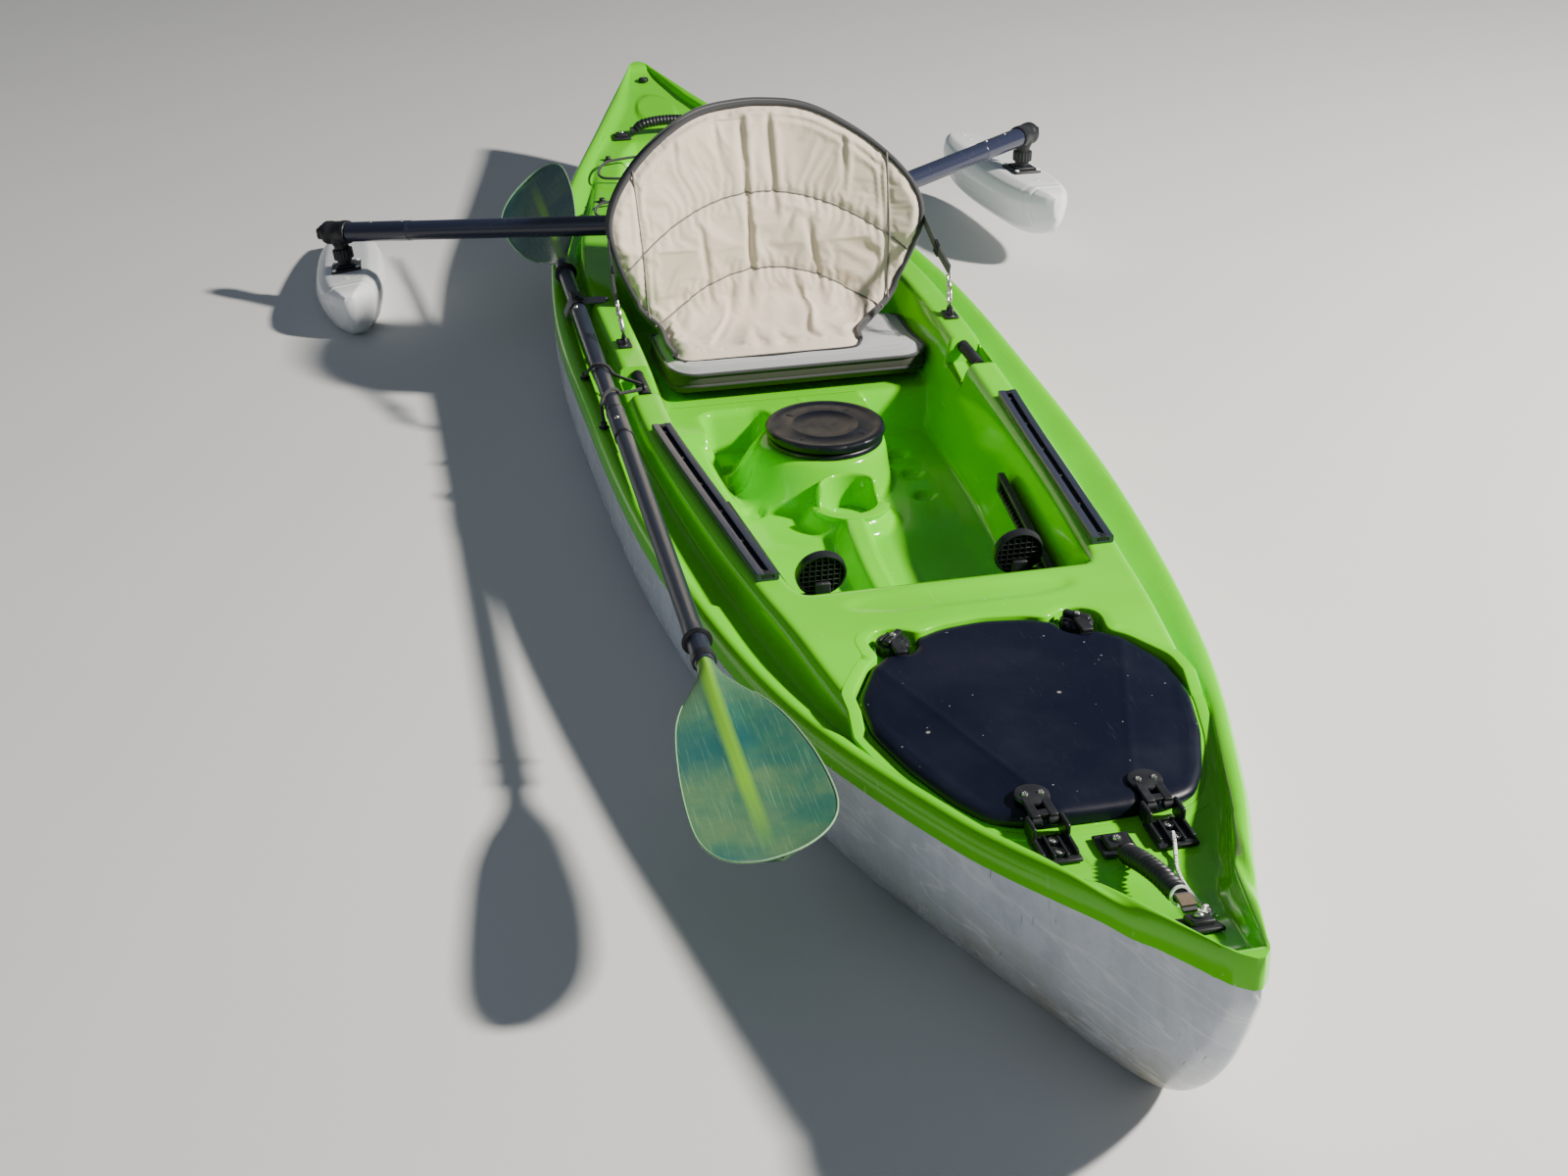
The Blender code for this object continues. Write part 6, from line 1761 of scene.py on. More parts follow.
def blade(name, root, heading, normal, slot_node):
    """Spoon blade: one long edge and one cut back, a low spine and a pale rolled edge."""
    across = heading.cross(normal).normalized()
    length = 0.484
    widths = [(0.0, 0.0125), (0.02, 0.0145), (0.04, 0.022), (0.07, 0.036), (0.1, 0.05), (0.135, 0.062),
              (0.17, 0.07), (0.22, 0.078), (0.27, 0.0838), (0.32, 0.0868), (0.35, 0.0875)]
    for i in range(1, 17):
        u = math.sin(0.5 * math.pi * i / 16)
        widths.append((0.35 + (length - 0.35) * u, 0.0835 * math.sqrt(1 - u ** 3) + 0.004))
    thick = [(0.0, 0.0125), (0.02, 0.0115), (0.05, 0.008), (0.1, 0.0045), (0.17, 0.0028), (0.3, 0.0022),
             (length, 0.0018)]
    spine = [(0.0, 0.0), (0.03, 0.0015), (0.1, 0.004), (0.2, 0.0036), (0.32, 0.002), (0.44, 0.0004),
             (length, 0.0)]
    distances = np.concatenate([np.linspace(0, 0.34, 52),
                                0.35 + (length - 0.35) * np.sin(np.linspace(0, 0.5 * math.pi, 44))])
    halves = rounded(along(widths, distances), 2, 0, 1)
    sides = 52
    rows = []
    for distance, half in zip(distances, halves):
        spoon = 0.02 * (distance / 0.47) ** 2
        grown = (float(distance) / length) ** 2
        lean = across * 0.005 * float(step(0.05, 0.3, distance))
        middle = root + heading * float(distance) + normal * spoon - lean
        row = []
        for i in range(sides):
            a = 2 * math.pi * i / sides
            t = math.cos(a)
            dish = 0.006 * t * t * float(step(0.05, 0.2, distance))
            ridge = along(spine, distance) * math.exp(-(t * half / 0.011) ** 2)
            rise = along(thick, distance) * math.sin(a) * (1.0 - 0.25 * abs(t)) + dish
            rise += ridge * (1 if math.sin(a) > 0 else -1) * abs(math.sin(a)) ** 0.3
            row.append(middle + across * (half * t) + normal * rise
                       + heading * (0.016 * t * half / 0.087 * grown))
        rows.append(row)
    n = len(rows)
    verts = [p for row in rows for p in row]
    faces = band_faces(n, sides)
    faces += end_faces(n, sides)
    skin = loose(name, verts, faces, blade_fibre(name + "_fibre", root, heading, across), angle=50)
    edge = [row[0] for row in rows[14:]] + [row[sides // 2] for row in rows[:13:-1]]
    rim = loose(name + "_edge", *tube_mesh(edge, 0.0013, 6), coat("blade_edge"))
    return joined(name, [skin, rim], "kayak", (slot_node,))


def shaft_place(x):
    """Point on the paddle shaft's axis at a place along the kayak."""
    t = (x - SHAFT_AFT.x) / (SHAFT_FORE.x - SHAFT_AFT.x)
    return SHAFT_AFT.lerp(SHAFT_FORE, t)


def make_paddle():
    """Paddle: two-piece shaft with its joint, drip rings, and two feathered blades."""
    heading = (SHAFT_FORE - SHAFT_AFT).normalized()
    length = (SHAFT_FORE - SHAFT_AFT).length
    profile = [(0.0128, 0.0), (0.0142, 0.004), (SHAFT_RADIUS, 0.02), (SHAFT_RADIUS, length * 0.5 - 0.05),
               (0.0158, length * 0.5 - 0.049), (0.0158, length * 0.5 + 0.049),
               (SHAFT_RADIUS, length * 0.5 + 0.05), (SHAFT_RADIUS, length - 0.1), (0.0152, length - 0.098),
               (0.0152, length - 0.012), (0.0142, length - 0.004), (0.0128, length)]
    parts = [loose("shaft_tube", *lathe_mesh(profile, SHAFT_AFT, 48, heading), coat("shaft"), angle=30)]
    middle = SHAFT_AFT.lerp(SHAFT_FORE, 0.5)
    for shift in (-0.0495, 0.0495):
        band = [(0.0156, -0.003), (0.0163, -0.0024), (0.0163, 0.0024), (0.0156, 0.003)]
        parts.append(loose("shaft_band", *lathe_mesh(band, middle + heading * shift, 40, heading),
                           coat("black")))
    for x, turn_angle in ((-0.385, 0.5), (0.135, 0.3)):
        facing = Matrix.Rotation(turn_angle, 3, heading) @ Vector((0, 0, 1))
        parts.append(bolt("shaft_button", shaft_place(x) + facing * 0.0146, 0.0042, coat("steel"), facing,
                          0.0028))
    band = [(0.0152, -0.007), (0.0168, -0.006), (0.0168, 0.006), (0.0152, 0.007)]
    parts.append(loose("shaft_ferrule", *lathe_mesh(band, SHAFT_FORE - heading * 0.012, 40, heading),
                       coat("black")))
    joined("paddle_shaft_dress", parts, stands_for=("paddle_shaft",))

    fore_normal = Matrix.Rotation(math.radians(6), 3, heading) @ Vector((0, 0, 1))
    aft_normal = Matrix.Rotation(math.radians(38), 3, heading) @ Vector((0, 0, 1))
    blade("blade_fore", SHAFT_FORE + heading * GAP, heading, fore_normal, "paddle_blade_fore")
    blade("blade_aft", SHAFT_AFT - heading * GAP, -heading, aft_normal, "paddle_blade_aft")

    for place, tag in ((0.06, "fore"), (1.53, "aft")):
        start = SHAFT_FORE - heading * place
        ring = [(0.0148, 0.0), (0.0175, 0.0), (0.0212, 0.0018), (0.0214, 0.003), (0.0195, 0.0042),
                (0.0175, 0.0078), (0.0165, 0.009), (0.0148, 0.009)]
        piece("drip_ring_dress_" + tag, *ring_mesh(ring, start, 48, -heading), coat("black"),
              stands_for=("drip_ring_" + tag,), slot="black_fitting")


# Cords on the deck


def over_shaft(x, angles, clearance, slant=0.0):
    """Points round the top of the paddle shaft, at angles counted up from its inboard side."""
    points = []
    for i, angle in enumerate(angles):
        turn = math.radians(angle)
        shift = slant * (i / (len(angles) - 1) - 0.5)
        radius = SHAFT_RADIUS + clearance
        points.append(shaft_place(x) + Vector((shift, radius * math.cos(turn), radius * math.sin(turn))))
    return points


def rail_top(x):
    """Height of the deck's outer lip."""
    return along(SEAM_HEIGHT, x) + 0.04


def make_paddle_holders():
    """Bungee zigzag with its anchors, and the webbing strap with a buckle."""
    thick = settings()[0].bungee / 2
    angles = (15, 55, 90, 125, 160)[::-1]
    aft_x, fore_x, outboard = -0.13, 0.085, -0.379
    aft = over_shaft(-0.085, angles, 0.0045, 0.03)
    fore = over_shaft(0.03, angles, 0.0045, -0.03)
    inboard = Vector((0.0, -0.297, along(DECK_HEIGHT, 0.0) + 0.0068))
    route = [Vector((aft_x, outboard, rail_top(aft_x) + 0.006))] + aft + [inboard] + fore[::-1]
    route.append(Vector((fore_x, outboard, rail_top(fore_x) + 0.006)))
    parts = [loose("bungee_cord", *tube_mesh(curve_points(route, 150), thick, 10), coat("bungee"), angle=80)]
    saddle = black_block("bungee_saddle", (0.03, 0.013, 0.004), inboard + Vector((0, 0.001, -0.0042)), 0.0018)
    arch = curve_points([inboard + Vector((x, 0, z))
                         for x, z in ((-0.009, -0.004), (-0.007, 0.003), (0, 0.0055), (0.007, 0.003),
                                      (0.009, -0.004))], 18)
    parts += [saddle, loose("bungee_arch", *tube_mesh(arch, 0.0022, 8, up=(0, 1, 0)), coat("black"))]
    joined("paddle_bungee_dress", parts, stands_for=("paddle_bungee",))
    for x, tag in ((aft_x, "aft"), (fore_x, "fore")):
        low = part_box("bungee_anchor_" + tag)[0][2]
        profile = [(0.0088, 0.0), (0.0092, 0.0008), (0.0085, 0.002), (0.0052, 0.0032), (0.0046, 0.0062),
                   (0.006, 0.0075), (0.0055, 0.0092), (0.002, 0.0096)]
        piece("bungee_anchor_dress_" + tag, *lathe_mesh(profile, (x, outboard, low), 28), coat("black"),
              stands_for=("bungee_anchor_" + tag,), slot="black_fitting")

    x = -0.42
    start = Vector((x, -0.298, along(DECK_HEIGHT, x) + 0.0022))
    end = Vector((x, -0.373, rail_top(x) + 0.007))
    route = [start, start + Vector((0, -0.012, 0.0))] + over_shaft(x, (42, 65, 90, 125, 155), 0.0022) + [end]
    path = curve_points(route, 60)
    parts = [loose("strap_web", *strap_mesh(path, 0.03, 0.0024, (1, 0, 0)), coat("grey_webbing"))]
    top = over_shaft(x, (90, 125), 0.0052)
    turn = Matrix.Rotation(-0.15, 3, "X")
    parts.append(black_block("strap_buckle", (0.038, 0.022, 0.0055), top[0] + Vector((0, -0.0015, 0.0012)),
                             0.002, turn))
    parts.append(black_block("buckle_bar", (0.026, 0.006, 0.003), top[0] + Vector((0, -0.0015, 0.0045)),
                             0.0012, turn))
    parts.append(bolt("strap_rivet", start + Vector((0, 0.004, 0.0012)), 0.0042, coat("bolt")))
    joined("paddle_strap_dress", parts, stands_for=("paddle_strap",))


def make_tankwell_cord():
    """Cord laced across the tankwell, with its side anchors."""
    places = [(-1.27, 0.150), (-1.13, 0.185), (-1.0, 0.205), (-0.88, 0.23)]
    route = []
    for i, (x, y) in enumerate(places):
        side = 1 if i % 2 == 0 else -1
        z = along(DECK_HEIGHT, x) + 0.0126
        route.append((x, side * y, z))
        route.append((x + 0.03, -side * along(places, x + 0.03), z))
    piece("tankwell_cord_dress", *tube_mesh(curve_points(route, 260), settings()[0].bungee / 2, 10),
          coat("bungee"), stands_for=("tankwell_cord",), slot="black_fitting", angle=80)
    for x, y, end in ((-1.27, 0.150, "aft"), (-1.0, 0.205, "fore")):
        for side, tag in SIDES:
            name = "cord_anchor_%s_%s" % (tag, end)
            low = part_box(name)[0][2]
            centre = (x - 0.012, side * (y + 0.008), low)
            profile = [(0.0098, 0.0), (0.0102, 0.0008), (0.0092, 0.0022), (0.0055, 0.0036), (0.005, 0.006),
                       (0.0066, 0.0072), (0.006, 0.0084), (0.002, 0.0086)]
            piece(name + "_dress", *lathe_mesh(profile, centre, 28), coat("black"), stands_for=(name,),
                  slot="black_fitting")


# Outriggers


def arm_places(side):
    """Pivot, elbow, heading and downward direction of one outrigger arm."""
    pivot = Vector((-0.585, side * 0.19, 0.29))
    end = Vector((-1.056, -0.76, 0.165)) if side < 0 else Vector((-1.087, 0.737, 0.255))
    heading = (end - pivot).normalized()
    down = (Vector((0, 0, -1)) - heading * heading.dot(Vector((0, 0, -1)))).normalized()
    return pivot, end, heading, down


def float_frame(side, end, down):
    """A float's fore and athwart directions, and the place where it meets its post's plate."""
    yaw = math.radians(-1.5 if side < 0 else 6)
    fore = Vector((math.cos(yaw), math.sin(yaw), 0))
    fore = (fore - down * fore.dot(down)).normalized()
    return fore, down.cross(fore), end + down * 0.078


def star_knob(name, start, facing, radius, depth, paint, lobes=6):
    """Lobed hand knob with a hub and a screw end."""
    wave = lambda a, h: 0.09 * math.cos(lobes * a) if h > depth * 0.15 else 0.0
    profile = [(radius * 0.45, 0.0), (radius * 0.5, depth * 0.28), (radius * 0.88, depth * 0.34),
               (radius * 0.98, depth * 0.45), (radius * 0.98, depth * 0.82), (radius * 0.88, depth * 0.95),
               (radius * 0.5, depth), (radius * 0.42, depth * 0.93), (radius * 0.1, depth * 0.92)]
    return loose(name, *lathe_mesh(profile, start, 60, facing, wave), paint)


def make_outriggers():
    """Outriggers: mounts on the deck, arms with sleeves, elbows with posts, and the floats."""
    for side, tag in SIDES:
        make_arm_mount(side, tag)
        make_arm(side, tag)
        make_float(side, tag)


def make_arm_mount(side, tag):
    """Deck mount of an arm: base, ribbed cheeks, pin and hand knob."""
    pivot, _, heading, _ = arm_places(side)
    angle = math.atan2(heading.y, heading.x)
    turn = Matrix.Rotation(angle, 3, "Z")
    name = "outrigger_mount_" + tag
    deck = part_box(name)[0][2]
    across = Vector((-math.sin(angle), math.cos(angle), 0))
    parts = [black_block("mount_base", (0.09, 0.08, 0.0078), (pivot.x, pivot.y, deck + 0.0039), 0.003, turn)]
    for sx in (-1, 1):
        for sy in (-1, 1):
            place = Vector((pivot.x, pivot.y, deck + 0.0078)) + turn @ Vector((sx * 0.036, sy * 0.0325, 0))
            parts.append(bolt("mount_bolt", place, 0.0052, coat("bolt"), height=0.003))
    tall = pivot.z + 0.018 - deck - 0.004
    for s in (-1, 1):
        place = pivot + across * s * (0.02 + GAP + 0.004)
        centre = Vector((place.x, place.y, deck + 0.004 + tall / 2))
        parts.append(black_block("mount_cheek", (0.05, 0.0078, tall), centre, 0.0035, turn, 4))
        for rib in (-0.017, 0.017):
            offset = across * s * 0.0052 + turn @ Vector((rib, 0, 0))
            parts.append(black_block("cheek_rib", (0.005, 0.004, tall * 0.55),
                                     Vector((place.x, place.y, deck + 0.006 + tall * 0.3)) + offset, 0.0015,
                                     turn, 2))
    reach = 0.0323
    pin = [(0.0088, 0.0), (0.009, 0.0035), (0.005, 0.0046), (0.005, 2 * reach - 0.0046),
           (0.009, 2 * reach - 0.0035), (0.0088, 2 * reach)]
    parts.append(loose("mount_pin", *lathe_mesh(pin, pivot - across * reach, 32, across), coat("bolt"),
                       angle=30))
    forward = across if across.x > 0 else -across
    start = Vector((pivot.x, pivot.y, deck + 0.024)) + forward * 0.0262
    parts.append(star_knob("mount_knob", start, forward, 0.0196, 0.0237, coat("black")))
    joined(name + "_dress", parts, stands_for=(name,))


def make_arm(side, tag):
    """Arm with its outer sleeve, and the elbow with its knob, post and plate."""
    pivot, end, heading, down = arm_places(side)
    length = (end - heading * 0.03 - pivot).length
    heel = 0.032
    profile = [(0.0165, -heel), (0.0192, -heel + 0.0012), (0.0196, -heel + 0.004), (0.0196, length - 0.16),
               (0.0198, length - 0.159), (0.0206, length - 0.158), (0.0206, length - 0.002), (0.019, length)]
    parts = [loose("arm_tube", *lathe_mesh(profile, pivot, 56, heading), coat("arm"), angle=30)]
    cap = [(0.014, -heel - 0.0002), (0.0168, -heel + 0.0006), (0.0168, -heel + 0.002)]
    parts.append(loose("arm_cap", *lathe_mesh(cap, pivot, 40, heading), coat("black")))
    facing = -down
    for place in (length - 0.14, length - 0.06):
        parts.append(bolt("arm_button", pivot + heading * place + facing * 0.0202, 0.004, coat("steel"),
                          facing, 0.002))
    joined("outrigger_arm_dress_" + tag, parts, "arm_" + tag, ("outrigger_arm_" + tag,))

    sleeve = [(0.0205, -0.0297), (0.0235, -0.0285), (0.0242, -0.024), (0.0242, -0.014), (0.0232, -0.0125),
              (0.0232, 0.012), (0.0242, 0.0135), (0.0242, 0.026), (0.0225, 0.0298), (0.016, 0.031)]
    parts = [loose("elbow_body", *lathe_mesh(sleeve, end, 56, heading), coat("black"))]
    parts.append(star_knob("elbow_knob", end + heading * 0.0285, heading, 0.0152, 0.0195, coat("black"), 5))
    post = [(0.0235, -0.004), (0.0215, 0.012), (0.018, 0.022), (0.0155, 0.027), (0.0155, 0.034),
            (0.0155, 0.072)]
    parts.append(loose("elbow_post", *lathe_mesh(post, end, 44, down), coat("black")))
    wave = lambda a, h: 0.035 * math.cos(18 * a)
    collar = [(0.0165, 0.0335), (0.0198, 0.0345), (0.0204, 0.037), (0.0204, 0.0525), (0.0198, 0.0555),
              (0.0165, 0.0562)]
    parts.append(loose("post_collar", *lathe_mesh(collar, end, 90, down, wave), coat("black")))
    fore, athwart, seat = float_frame(side, end, down)
    turn = Matrix((fore, athwart, -down)).transposed()
    parts.append(black_block("post_plate", (0.075, 0.062, 0.0065), seat - down * 0.0036, 0.003, turn))
    parts.append(black_block("plate_step", (0.05, 0.042, 0.005), seat - down * 0.0085, 0.002, turn))
    for sx in (-1, 1):
        for sy in (-1, 1):
            place = seat - down * 0.0068 + fore * sx * 0.0305 + athwart * sy * 0.0245
            parts.append(bolt("plate_bolt", place, 0.0048, coat("float"), -down, 0.0028))
    joined("outrigger_elbow_dress_" + tag, parts, "arm_" + tag, ("outrigger_elbow_" + tag,))


# A float's length, half width, depth and how far aft of its plate its middle lies
FLOAT_LENGTH = 0.56
FLOAT_HALF_WIDTH = 0.074
FLOAT_DEPTH = 0.125
FLOAT_AFT = 0.085
# Shares of a float's width and depth, and the drop of its top, along its length
FLOAT_SHAPE = {
    "width": [(-0.5, 0.16), (-0.47, 0.5), (-0.38, 0.78), (-0.2, 0.96), (0.1, 1.0), (0.28, 0.9), (0.4, 0.66),
              (0.47, 0.36), (0.5, 0.14)],
    "depth": [(-0.5, 0.42), (-0.47, 0.75), (-0.38, 0.92), (-0.2, 1.0), (0.1, 1.0), (0.28, 0.96), (0.4, 0.84),
              (0.47, 0.66), (0.5, 0.42)],
    "drop": [(-0.5, 0.05), (-0.47, 0.0), (0.4, 0.0), (0.47, 0.04), (0.5, 0.1)],
}


def make_float(side, tag):
    """Moulded float: flat top panel, rounded shoulders, a keel edge and two grooves at the nose."""
    _, end, _, down = arm_places(side)
    fore, athwart, seat = float_frame(side, end, down)
    places = np.concatenate([np.linspace(-0.5, -0.44, 16), np.linspace(-0.43, 0.38, 70),
                             np.linspace(0.385, 0.5, 40)])
    rows = []
    for place in places:
        half = FLOAT_HALF_WIDTH * along(FLOAT_SHAPE["width"], place)
        top = FLOAT_DEPTH * along(FLOAT_SHAPE["drop"], place)
        low = FLOAT_DEPTH * (along(FLOAT_SHAPE["depth"], place) + 0.5 * along(FLOAT_SHAPE["drop"], place))
        groove = sum(math.exp(-((place - g) / 0.006) ** 2) for g in (0.37, 0.41))
        corners = [(0.0, top), (half * 0.3, top), (half * 0.62, top), (half * 0.9, top + (low - top) * 0.1),
                   (half, top + (low - top) * 0.3), (half * 0.93, top + (low - top) * 0.5),
                   (half * 0.72, top + (low - top) * 0.78), (half * 0.3, low * 0.985), (0.0, low)]
        line = np.array(corners)
        counts = (6, 7, 8, 8, 7, 9, 9, 6)
        fine = []
        for (a, b), count in zip(zip(line[:-1], line[1:]), counts):
            fine += [a + (b - a) * i / count for i in range(count)]
        fine.append(line[-1])
        fine = np.array(fine)
        for _ in range(5):
            fine[1:-1] = (fine[:-2] + 2 * fine[1:-1] + fine[2:]) / 4
        fine[:, 0] *= 1 - 0.035 * groove
        fine[:, 1] += 0.0022 * groove * (fine[:, 1] < top + 0.02)
        loop = list(fine) + [np.array((-p[0], p[1])) for p in fine[-2:0:-1]]
        centre = seat + fore * (float(place) * FLOAT_LENGTH - FLOAT_AFT)
        rows.append([centre + athwart * float(p[0]) + down * float(p[1]) for p in loop])
    count = len(rows[0])
    verts = [p for row in rows for p in row]
    faces = band_faces(len(rows), count)
    faces += end_faces(len(rows), count)
    parts = [loose("float_shell", verts, faces, coat("float"), angle=50)]
    rim = []
    for t in np.linspace(0, 2 * math.pi, 100, endpoint=False):
        place = 0.33 * math.cos(t)
        reach = 0.74 * FLOAT_HALF_WIDTH * along(FLOAT_SHAPE["width"], place)
        squared = abs(math.sin(t)) ** 0.55 * (1 if math.sin(t) > 0 else -1)
        rim.append(seat + fore * (place * FLOAT_LENGTH - FLOAT_AFT) + athwart * reach * squared * 0.82
                   + down * 0.0008)
    parts.append(loose("float_panel_edge", *tube_mesh(rim, 0.0016, 8, True), coat("float"), angle=80))
    for place, size in ((-0.36, 0.0045), (0.3, 0.0035), (-0.42, 0.003)):
        hole = seat + fore * (place * FLOAT_LENGTH - FLOAT_AFT) - down * 0.0006
        parts.append(loose("float_hole",
                           *ring_mesh([(size, 0.0), (size + 0.0025, 0.0), (size + 0.0012, 0.0012)], hole, 24,
                                      -down), coat("float")))
        # Black disc in each hole's mouth: painted shade of the hole
        parts.append(loose("float_hole_dark", *lathe_mesh([(size, -0.0002), (size, 0.0004)], hole, 20, -down),
                           coat("shaded_hole")))
    joined("outrigger_float_dress_" + tag, parts, "arm_" + tag, ("outrigger_float_" + tag,))


# Bow rope


def make_bow_rope():
    """Flecked mooring rope from the port hinge to the bow handle, with its knot."""
    places = [(1.452, 0.07, 0.0091), (1.472, 0.064, 0.009), (1.498, 0.055, 0.004), (1.53, 0.044, 0.004),
              (1.575, 0.036, 0.004), (1.625, 0.03, 0.005), (1.652, 0.024, 0.006)]
    points = curve_points([(x, y, along(DECK_HEIGHT, x) + GAP + lift) for x, y, lift in places], 36)
    diameter = settings()[0].rope
    curve = bpy.data.curves.new("bow_rope_line", "CURVE")
    curve.dimensions = "3D"
    curve.bevel_depth = diameter / 2
    curve.bevel_resolution = 5
    curve.use_fill_caps = True
    spline = curve.splines.new("POLY")
    spline.points.add(len(points) - 1)
    for target, point in zip(spline.points, points):
        target.co = (*point, 1)
    curve.materials.append(coat("rope"))
    rope = bpy.data.objects.new("bow_rope_line", curve)
    bpy.context.collection.objects.link(rope)
    settle(rope, "kayak", ("bow_rope",))

    centre = points[-1] + Vector((0.004, -0.002, 0.001))
    knot = []
    for i in range(90):
        t = 2 * math.pi * i / 90
        reach = 0.0052 + 0.0028 * math.cos(3 * t)
        knot.append(centre
                    + Vector((reach * math.cos(2 * t) * 1.15, reach * math.sin(2 * t),
                              0.0026 * math.sin(3 * t))))
    end = piece("bow_rope_knot", *tube_mesh(knot, diameter / 2, 10, True), coat("rope"), slot="rope_white",
                angle=80)


# Stage, camera and light


def waterline_loop(count=140):
    """Points just inside the hull's outer face at the waterline, from the stern round to the bow and back."""
    half = []
    for x in np.linspace(-1.66, 1.615, count):
        pairs = hull_section(float(x), 0.003)
        for (y0, z0), (y1, z1) in zip(pairs, pairs[1:]):
            if z0 >= 0 > z1:
                t = z0 / (z0 - z1)
                half.append(Vector((float(x), y0 + (y1 - y0) * t)))
                break
    return half + [Vector((p.x, -p.y)) for p in half[::-1]]


def make_floor():
    """Pale floor at the waterline, open inside the hull."""
    inner = waterline_loop()
    reach = 14.0
    outer = [Vector((reach * math.cos(a), reach * math.sin(a)))
             for a in np.linspace(0, 2 * math.pi, 64, False)]
    points = inner + outer
    n, m = len(inner), len(outer)
    edges = [(i, (i + 1) % n) for i in range(n)] + [(n + i, n + (i + 1) % m) for i in range(m)]
    verts, _, faces, _, _, _ = delaunay_2d_cdt(points, edges, [], 2, 1e-6)
    centre = np.array([np.mean([verts[i] for i in face], axis=0) for face in faces])
    hollow = inside_outline(centre[:, 0], centre[:, 1], inner)
    faces = [tuple(face) for face, open_here in zip(faces, hollow) if not open_here]
    mesh = bpy.data.meshes.new("studio_floor")
    mesh.from_pydata([(v[0], v[1], 0.0) for v in verts], [], faces)
    mesh.materials.append(pale_floor())
    floor = bpy.data.objects.new("studio_floor", mesh)
    bpy.context.collection.objects.link(floor)


def make_lights():
    """Daylight: a strong small sun lamp from port, a weak cool fill to starboard and a pale room."""
    world = bpy.data.worlds.new("studio_room")
    world.use_nodes = True
    world.node_tree.nodes["Background"].inputs["Color"].default_value = (0.72, 0.84, 1.0, 1.0)
    world.node_tree.nodes["Background"].inputs["Strength"].default_value = 0.17
    bpy.context.scene.world = world
    for name, place, power, size, colour in (("key", (2.2, 4.6, 4.0), 1180.0, 0.4, (1.0, 0.95, 0.86)),
                                             ("fill", (2.5, -4.5, 3.0), 26.0, 4.0, (0.8, 0.88, 1.0))):
        data = bpy.data.lights.new("studio_" + name, "AREA")
        data.energy = power
        data.size = size
        data.color = colour
        lamp = bpy.data.objects.new("studio_" + name, data)
        lamp.location = place
        lamp.rotation_euler = (Vector((0.2, 0.0, 0.1)) - Vector(place)).to_track_quat("-Z", "Y").to_euler()
        bpy.context.collection.objects.link(lamp)


def make_camera():
    """Camera at the photograph's place, ahead of the bow to starboard and looking down."""
    yaw, pitch, roll = (math.radians(a) for a in (167.236, 28.065, 0.37))
    look = Vector((math.cos(pitch) * math.cos(yaw), math.cos(pitch) * math.sin(yaw), -math.sin(pitch)))
    right = look.cross(Vector((0, 0, 1))).normalized()
    down = look.cross(right)
    right, down = (right * math.cos(roll) + down * math.sin(roll),
                   down * math.cos(roll) - right * math.sin(roll))
    data = bpy.data.cameras.new("photo_camera")
    data.sensor_width = 36.0
    data.lens = 50.03
    camera = bpy.data.objects.new("photo_camera", data)
    turn = Matrix((right, -down, -look)).transposed().to_4x4()
    camera.matrix_world = Matrix.Translation((3.375, -0.821, 1.634)) @ turn
    bpy.context.collection.objects.link(camera)
    bpy.context.scene.camera = camera


# Add-on


class KayakSizes(bpy.types.PropertyGroup):
    """Sizes that a user may change."""
    piping: FloatProperty(name="Piping", description="Radius of the seat's edge piping", default=0.0055,
                          min=0.002, max=0.012, unit="LENGTH")
    puff: FloatProperty(name="Puff", description="How far the seat back swells between its seams",
                        default=0.006, min=0.0, max=0.02, unit="LENGTH")
    rope: FloatProperty(name="Bow Rope", description="Diameter of the bow rope", default=0.005,
                        min=0.002, max=0.012, unit="LENGTH")
    bungee: FloatProperty(name="Bungee", description="Diameter of the bungee and deck cords", default=0.006,
                          min=0.002, max=0.012, unit="LENGTH")


class KayakColours(bpy.types.PropertyGroup):
    """Main colours that a user may change."""
    deck_lime: FloatVectorProperty(name="Deck", description="Deck plastic", subtype="COLOR", size=3,
                                   default=(0.12, 0.6, 0.0), min=0, max=1)
    hull_white: FloatVectorProperty(name="Hull", description="Hull plastic", subtype="COLOR", size=3,
                                    # Grey-blue default: white plastic made darker and bluer, with the shade
                                    # on the hull's side painted in
                                    default=(0.6, 0.64, 0.7), min=0, max=1)
    hatch_navy: FloatVectorProperty(name="Hatch", description="Front hatch plastic", subtype="COLOR", size=3,
                                    default=(0.003, 0.004, 0.013), min=0, max=1)
    seat_fabric: FloatVectorProperty(name="Seat", description="Seat back cloth", subtype="COLOR", size=3,
                                     default=(0.92, 0.78, 0.64), min=0, max=1)
    blade_green: FloatVectorProperty(name="Blade", description="Paddle blade fibre", subtype="COLOR", size=3,
                                     default=(0.03, 0.13, 0.08), min=0, max=1)


class KAYAK_PT_panel(bpy.types.Panel):
    """Lists the kayak's steps and settings."""
    bl_idname = "KAYAK_PT_panel"
    bl_label = "Kayak"
    bl_space_type = "VIEW_3D"
    bl_region_type = "UI"
    bl_category = "Kayak"

    def draw(self, context):
        for group in (context.scene.kayak_sizes, context.scene.kayak_colours):
            for label in group.__annotations__:
                self.layout.prop(group, label)
        for operator in OPERATORS:
            self.layout.operator(operator.bl_idname)


class KAYAK_OT_stage(bpy.types.Operator):
    """Make the floor, the lights and the camera."""
    bl_idname = "kayak.stage"
    bl_label = "Studio Stage"

    def execute(self, context):
        make_floor()
        make_lights()
        make_camera()
        return {"FINISHED"}


class KAYAK_OT_deck(bpy.types.Operator):
    """Make the moulded deck with its wells and rims."""
    bl_idname = "kayak.deck"
    bl_label = "Deck"

    def execute(self, context):
        make_deck()
        return {"FINISHED"}


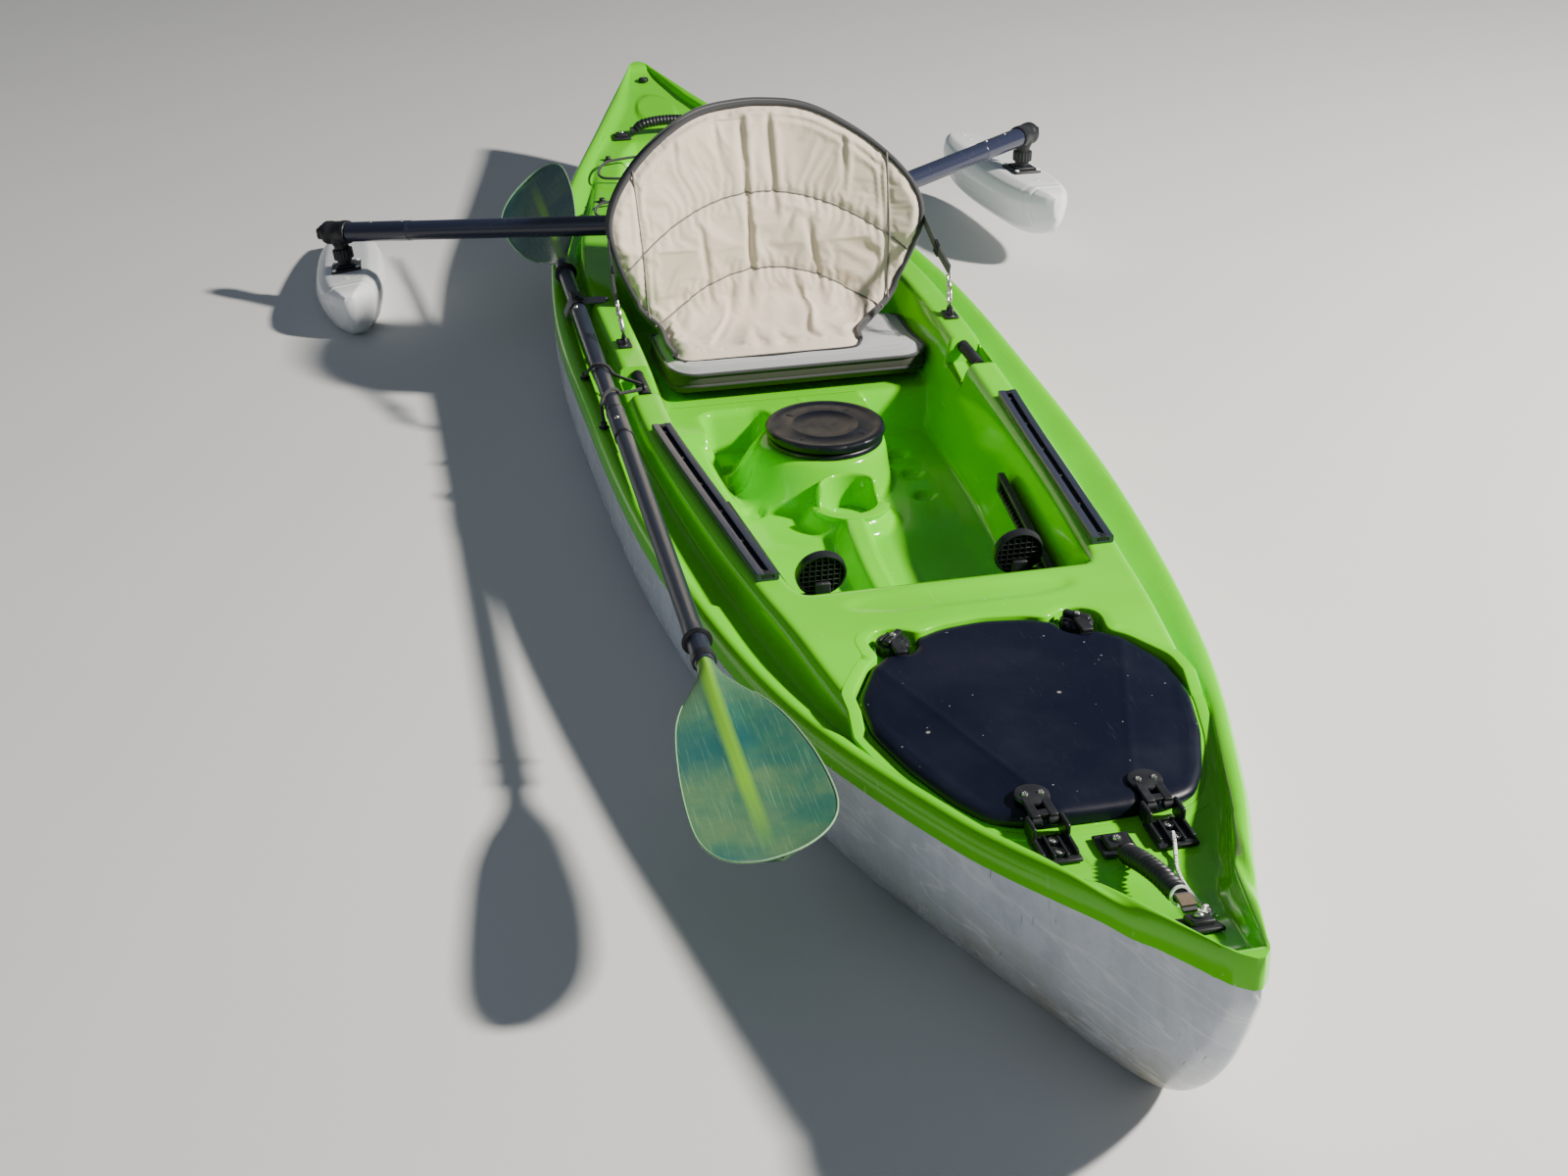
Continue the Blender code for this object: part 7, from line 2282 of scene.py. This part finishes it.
class KAYAK_OT_hull(bpy.types.Operator):
    """Make the hull bowl."""
    bl_idname = "kayak.hull"
    bl_label = "Hull"

    def execute(self, context):
        make_hull()
        return {"FINISHED"}


class KAYAK_OT_front_hatch(bpy.types.Operator):
    """Make the front hatch lid, its latches and its hinges."""
    bl_idname = "kayak.front_hatch"
    bl_label = "Front Hatch"

    def execute(self, context):
        make_front_hatch()
        make_latches()
        make_hinges()
        return {"FINISHED"}


class KAYAK_OT_round_hatch(bpy.types.Operator):
    """Make the round hatch's ring and lid."""
    bl_idname = "kayak.round_hatch"
    bl_label = "Round Hatch"

    def execute(self, context):
        make_round_hatch()
        return {"FINISHED"}


class KAYAK_OT_cockpit_fittings(bpy.types.Operator):
    """Make the gear tracks, foot rails, pedals and carry bars."""
    bl_idname = "kayak.cockpit_fittings"
    bl_label = "Cockpit Fittings"

    def execute(self, context):
        make_tracks()
        make_foot_rails()
        make_pedals()
        make_carry_bars()
        return {"FINISHED"}


class KAYAK_OT_handles(bpy.types.Operator):
    """Make the bow and stern handles and the stern cap."""
    bl_idname = "kayak.handles"
    bl_label = "Handles"

    def execute(self, context):
        make_bow_handle()
        make_stern_handle()
        make_stern_cap()
        return {"FINISHED"}


class KAYAK_OT_seat_back(bpy.types.Operator):
    """Make the sewn seat back with its piping."""
    bl_idname = "kayak.seat_back"
    bl_label = "Seat Back"

    def execute(self, context):
        make_seat_back()
        return {"FINISHED"}


class KAYAK_OT_seat_cushion(bpy.types.Operator):
    """Make the seat cushion."""
    bl_idname = "kayak.seat_cushion"
    bl_label = "Seat Cushion"

    def execute(self, context):
        make_cushion()
        return {"FINISHED"}


class KAYAK_OT_seat_straps(bpy.types.Operator):
    """Make the seat's side straps, snap hooks and pad-eyes."""
    bl_idname = "kayak.seat_straps"
    bl_label = "Seat Straps"

    def execute(self, context):
        make_seat_straps()
        return {"FINISHED"}


class KAYAK_OT_paddle(bpy.types.Operator):
    """Make the paddle's shaft, rings and blades."""
    bl_idname = "kayak.paddle"
    bl_label = "Paddle"

    def execute(self, context):
        make_paddle()
        return {"FINISHED"}


class KAYAK_OT_deck_cords(bpy.types.Operator):
    """Make the bungee, the strap and the tankwell cord."""
    bl_idname = "kayak.deck_cords"
    bl_label = "Deck Cords"

    def execute(self, context):
        make_paddle_holders()
        make_tankwell_cord()
        return {"FINISHED"}


class KAYAK_OT_outriggers(bpy.types.Operator):
    """Make the outrigger mounts, arms, elbows and floats."""
    bl_idname = "kayak.outriggers"
    bl_label = "Outriggers"

    def execute(self, context):
        make_outriggers()
        return {"FINISHED"}


class KAYAK_OT_bow_rope(bpy.types.Operator):
    """Make the bow rope with its knot."""
    bl_idname = "kayak.bow_rope"
    bl_label = "Bow Rope"

    def execute(self, context):
        make_bow_rope()
        return {"FINISHED"}


OPERATORS = (
    KAYAK_OT_stage,
    KAYAK_OT_deck,
    KAYAK_OT_hull,
    KAYAK_OT_front_hatch,
    KAYAK_OT_round_hatch,
    KAYAK_OT_cockpit_fittings,
    KAYAK_OT_handles,
    KAYAK_OT_seat_back,
    KAYAK_OT_seat_cushion,
    KAYAK_OT_seat_straps,
    KAYAK_OT_paddle,
    KAYAK_OT_deck_cords,
    KAYAK_OT_outriggers,
    KAYAK_OT_bow_rope,
)


def register():
    """Register the classes and add the settings to the scene."""
    for cls in (KayakSizes, KayakColours, *OPERATORS, KAYAK_PT_panel):
        bpy.utils.register_class(cls)
    bpy.types.Scene.kayak_sizes = PointerProperty(type=KayakSizes)
    bpy.types.Scene.kayak_colours = PointerProperty(type=KayakColours)


def unregister():
    """Take the settings and the classes away again."""
    del bpy.types.Scene.kayak_colours
    del bpy.types.Scene.kayak_sizes
    for cls in (KAYAK_PT_panel, *reversed(OPERATORS), KayakColours, KayakSizes):
        bpy.utils.unregister_class(cls)


def main():
    """Make every step in its order."""
    register()
    for operator in OPERATORS:
        group, label = operator.bl_idname.split(".")
        getattr(getattr(bpy.ops, group), label)()


if __name__ == "__main__":
    main()
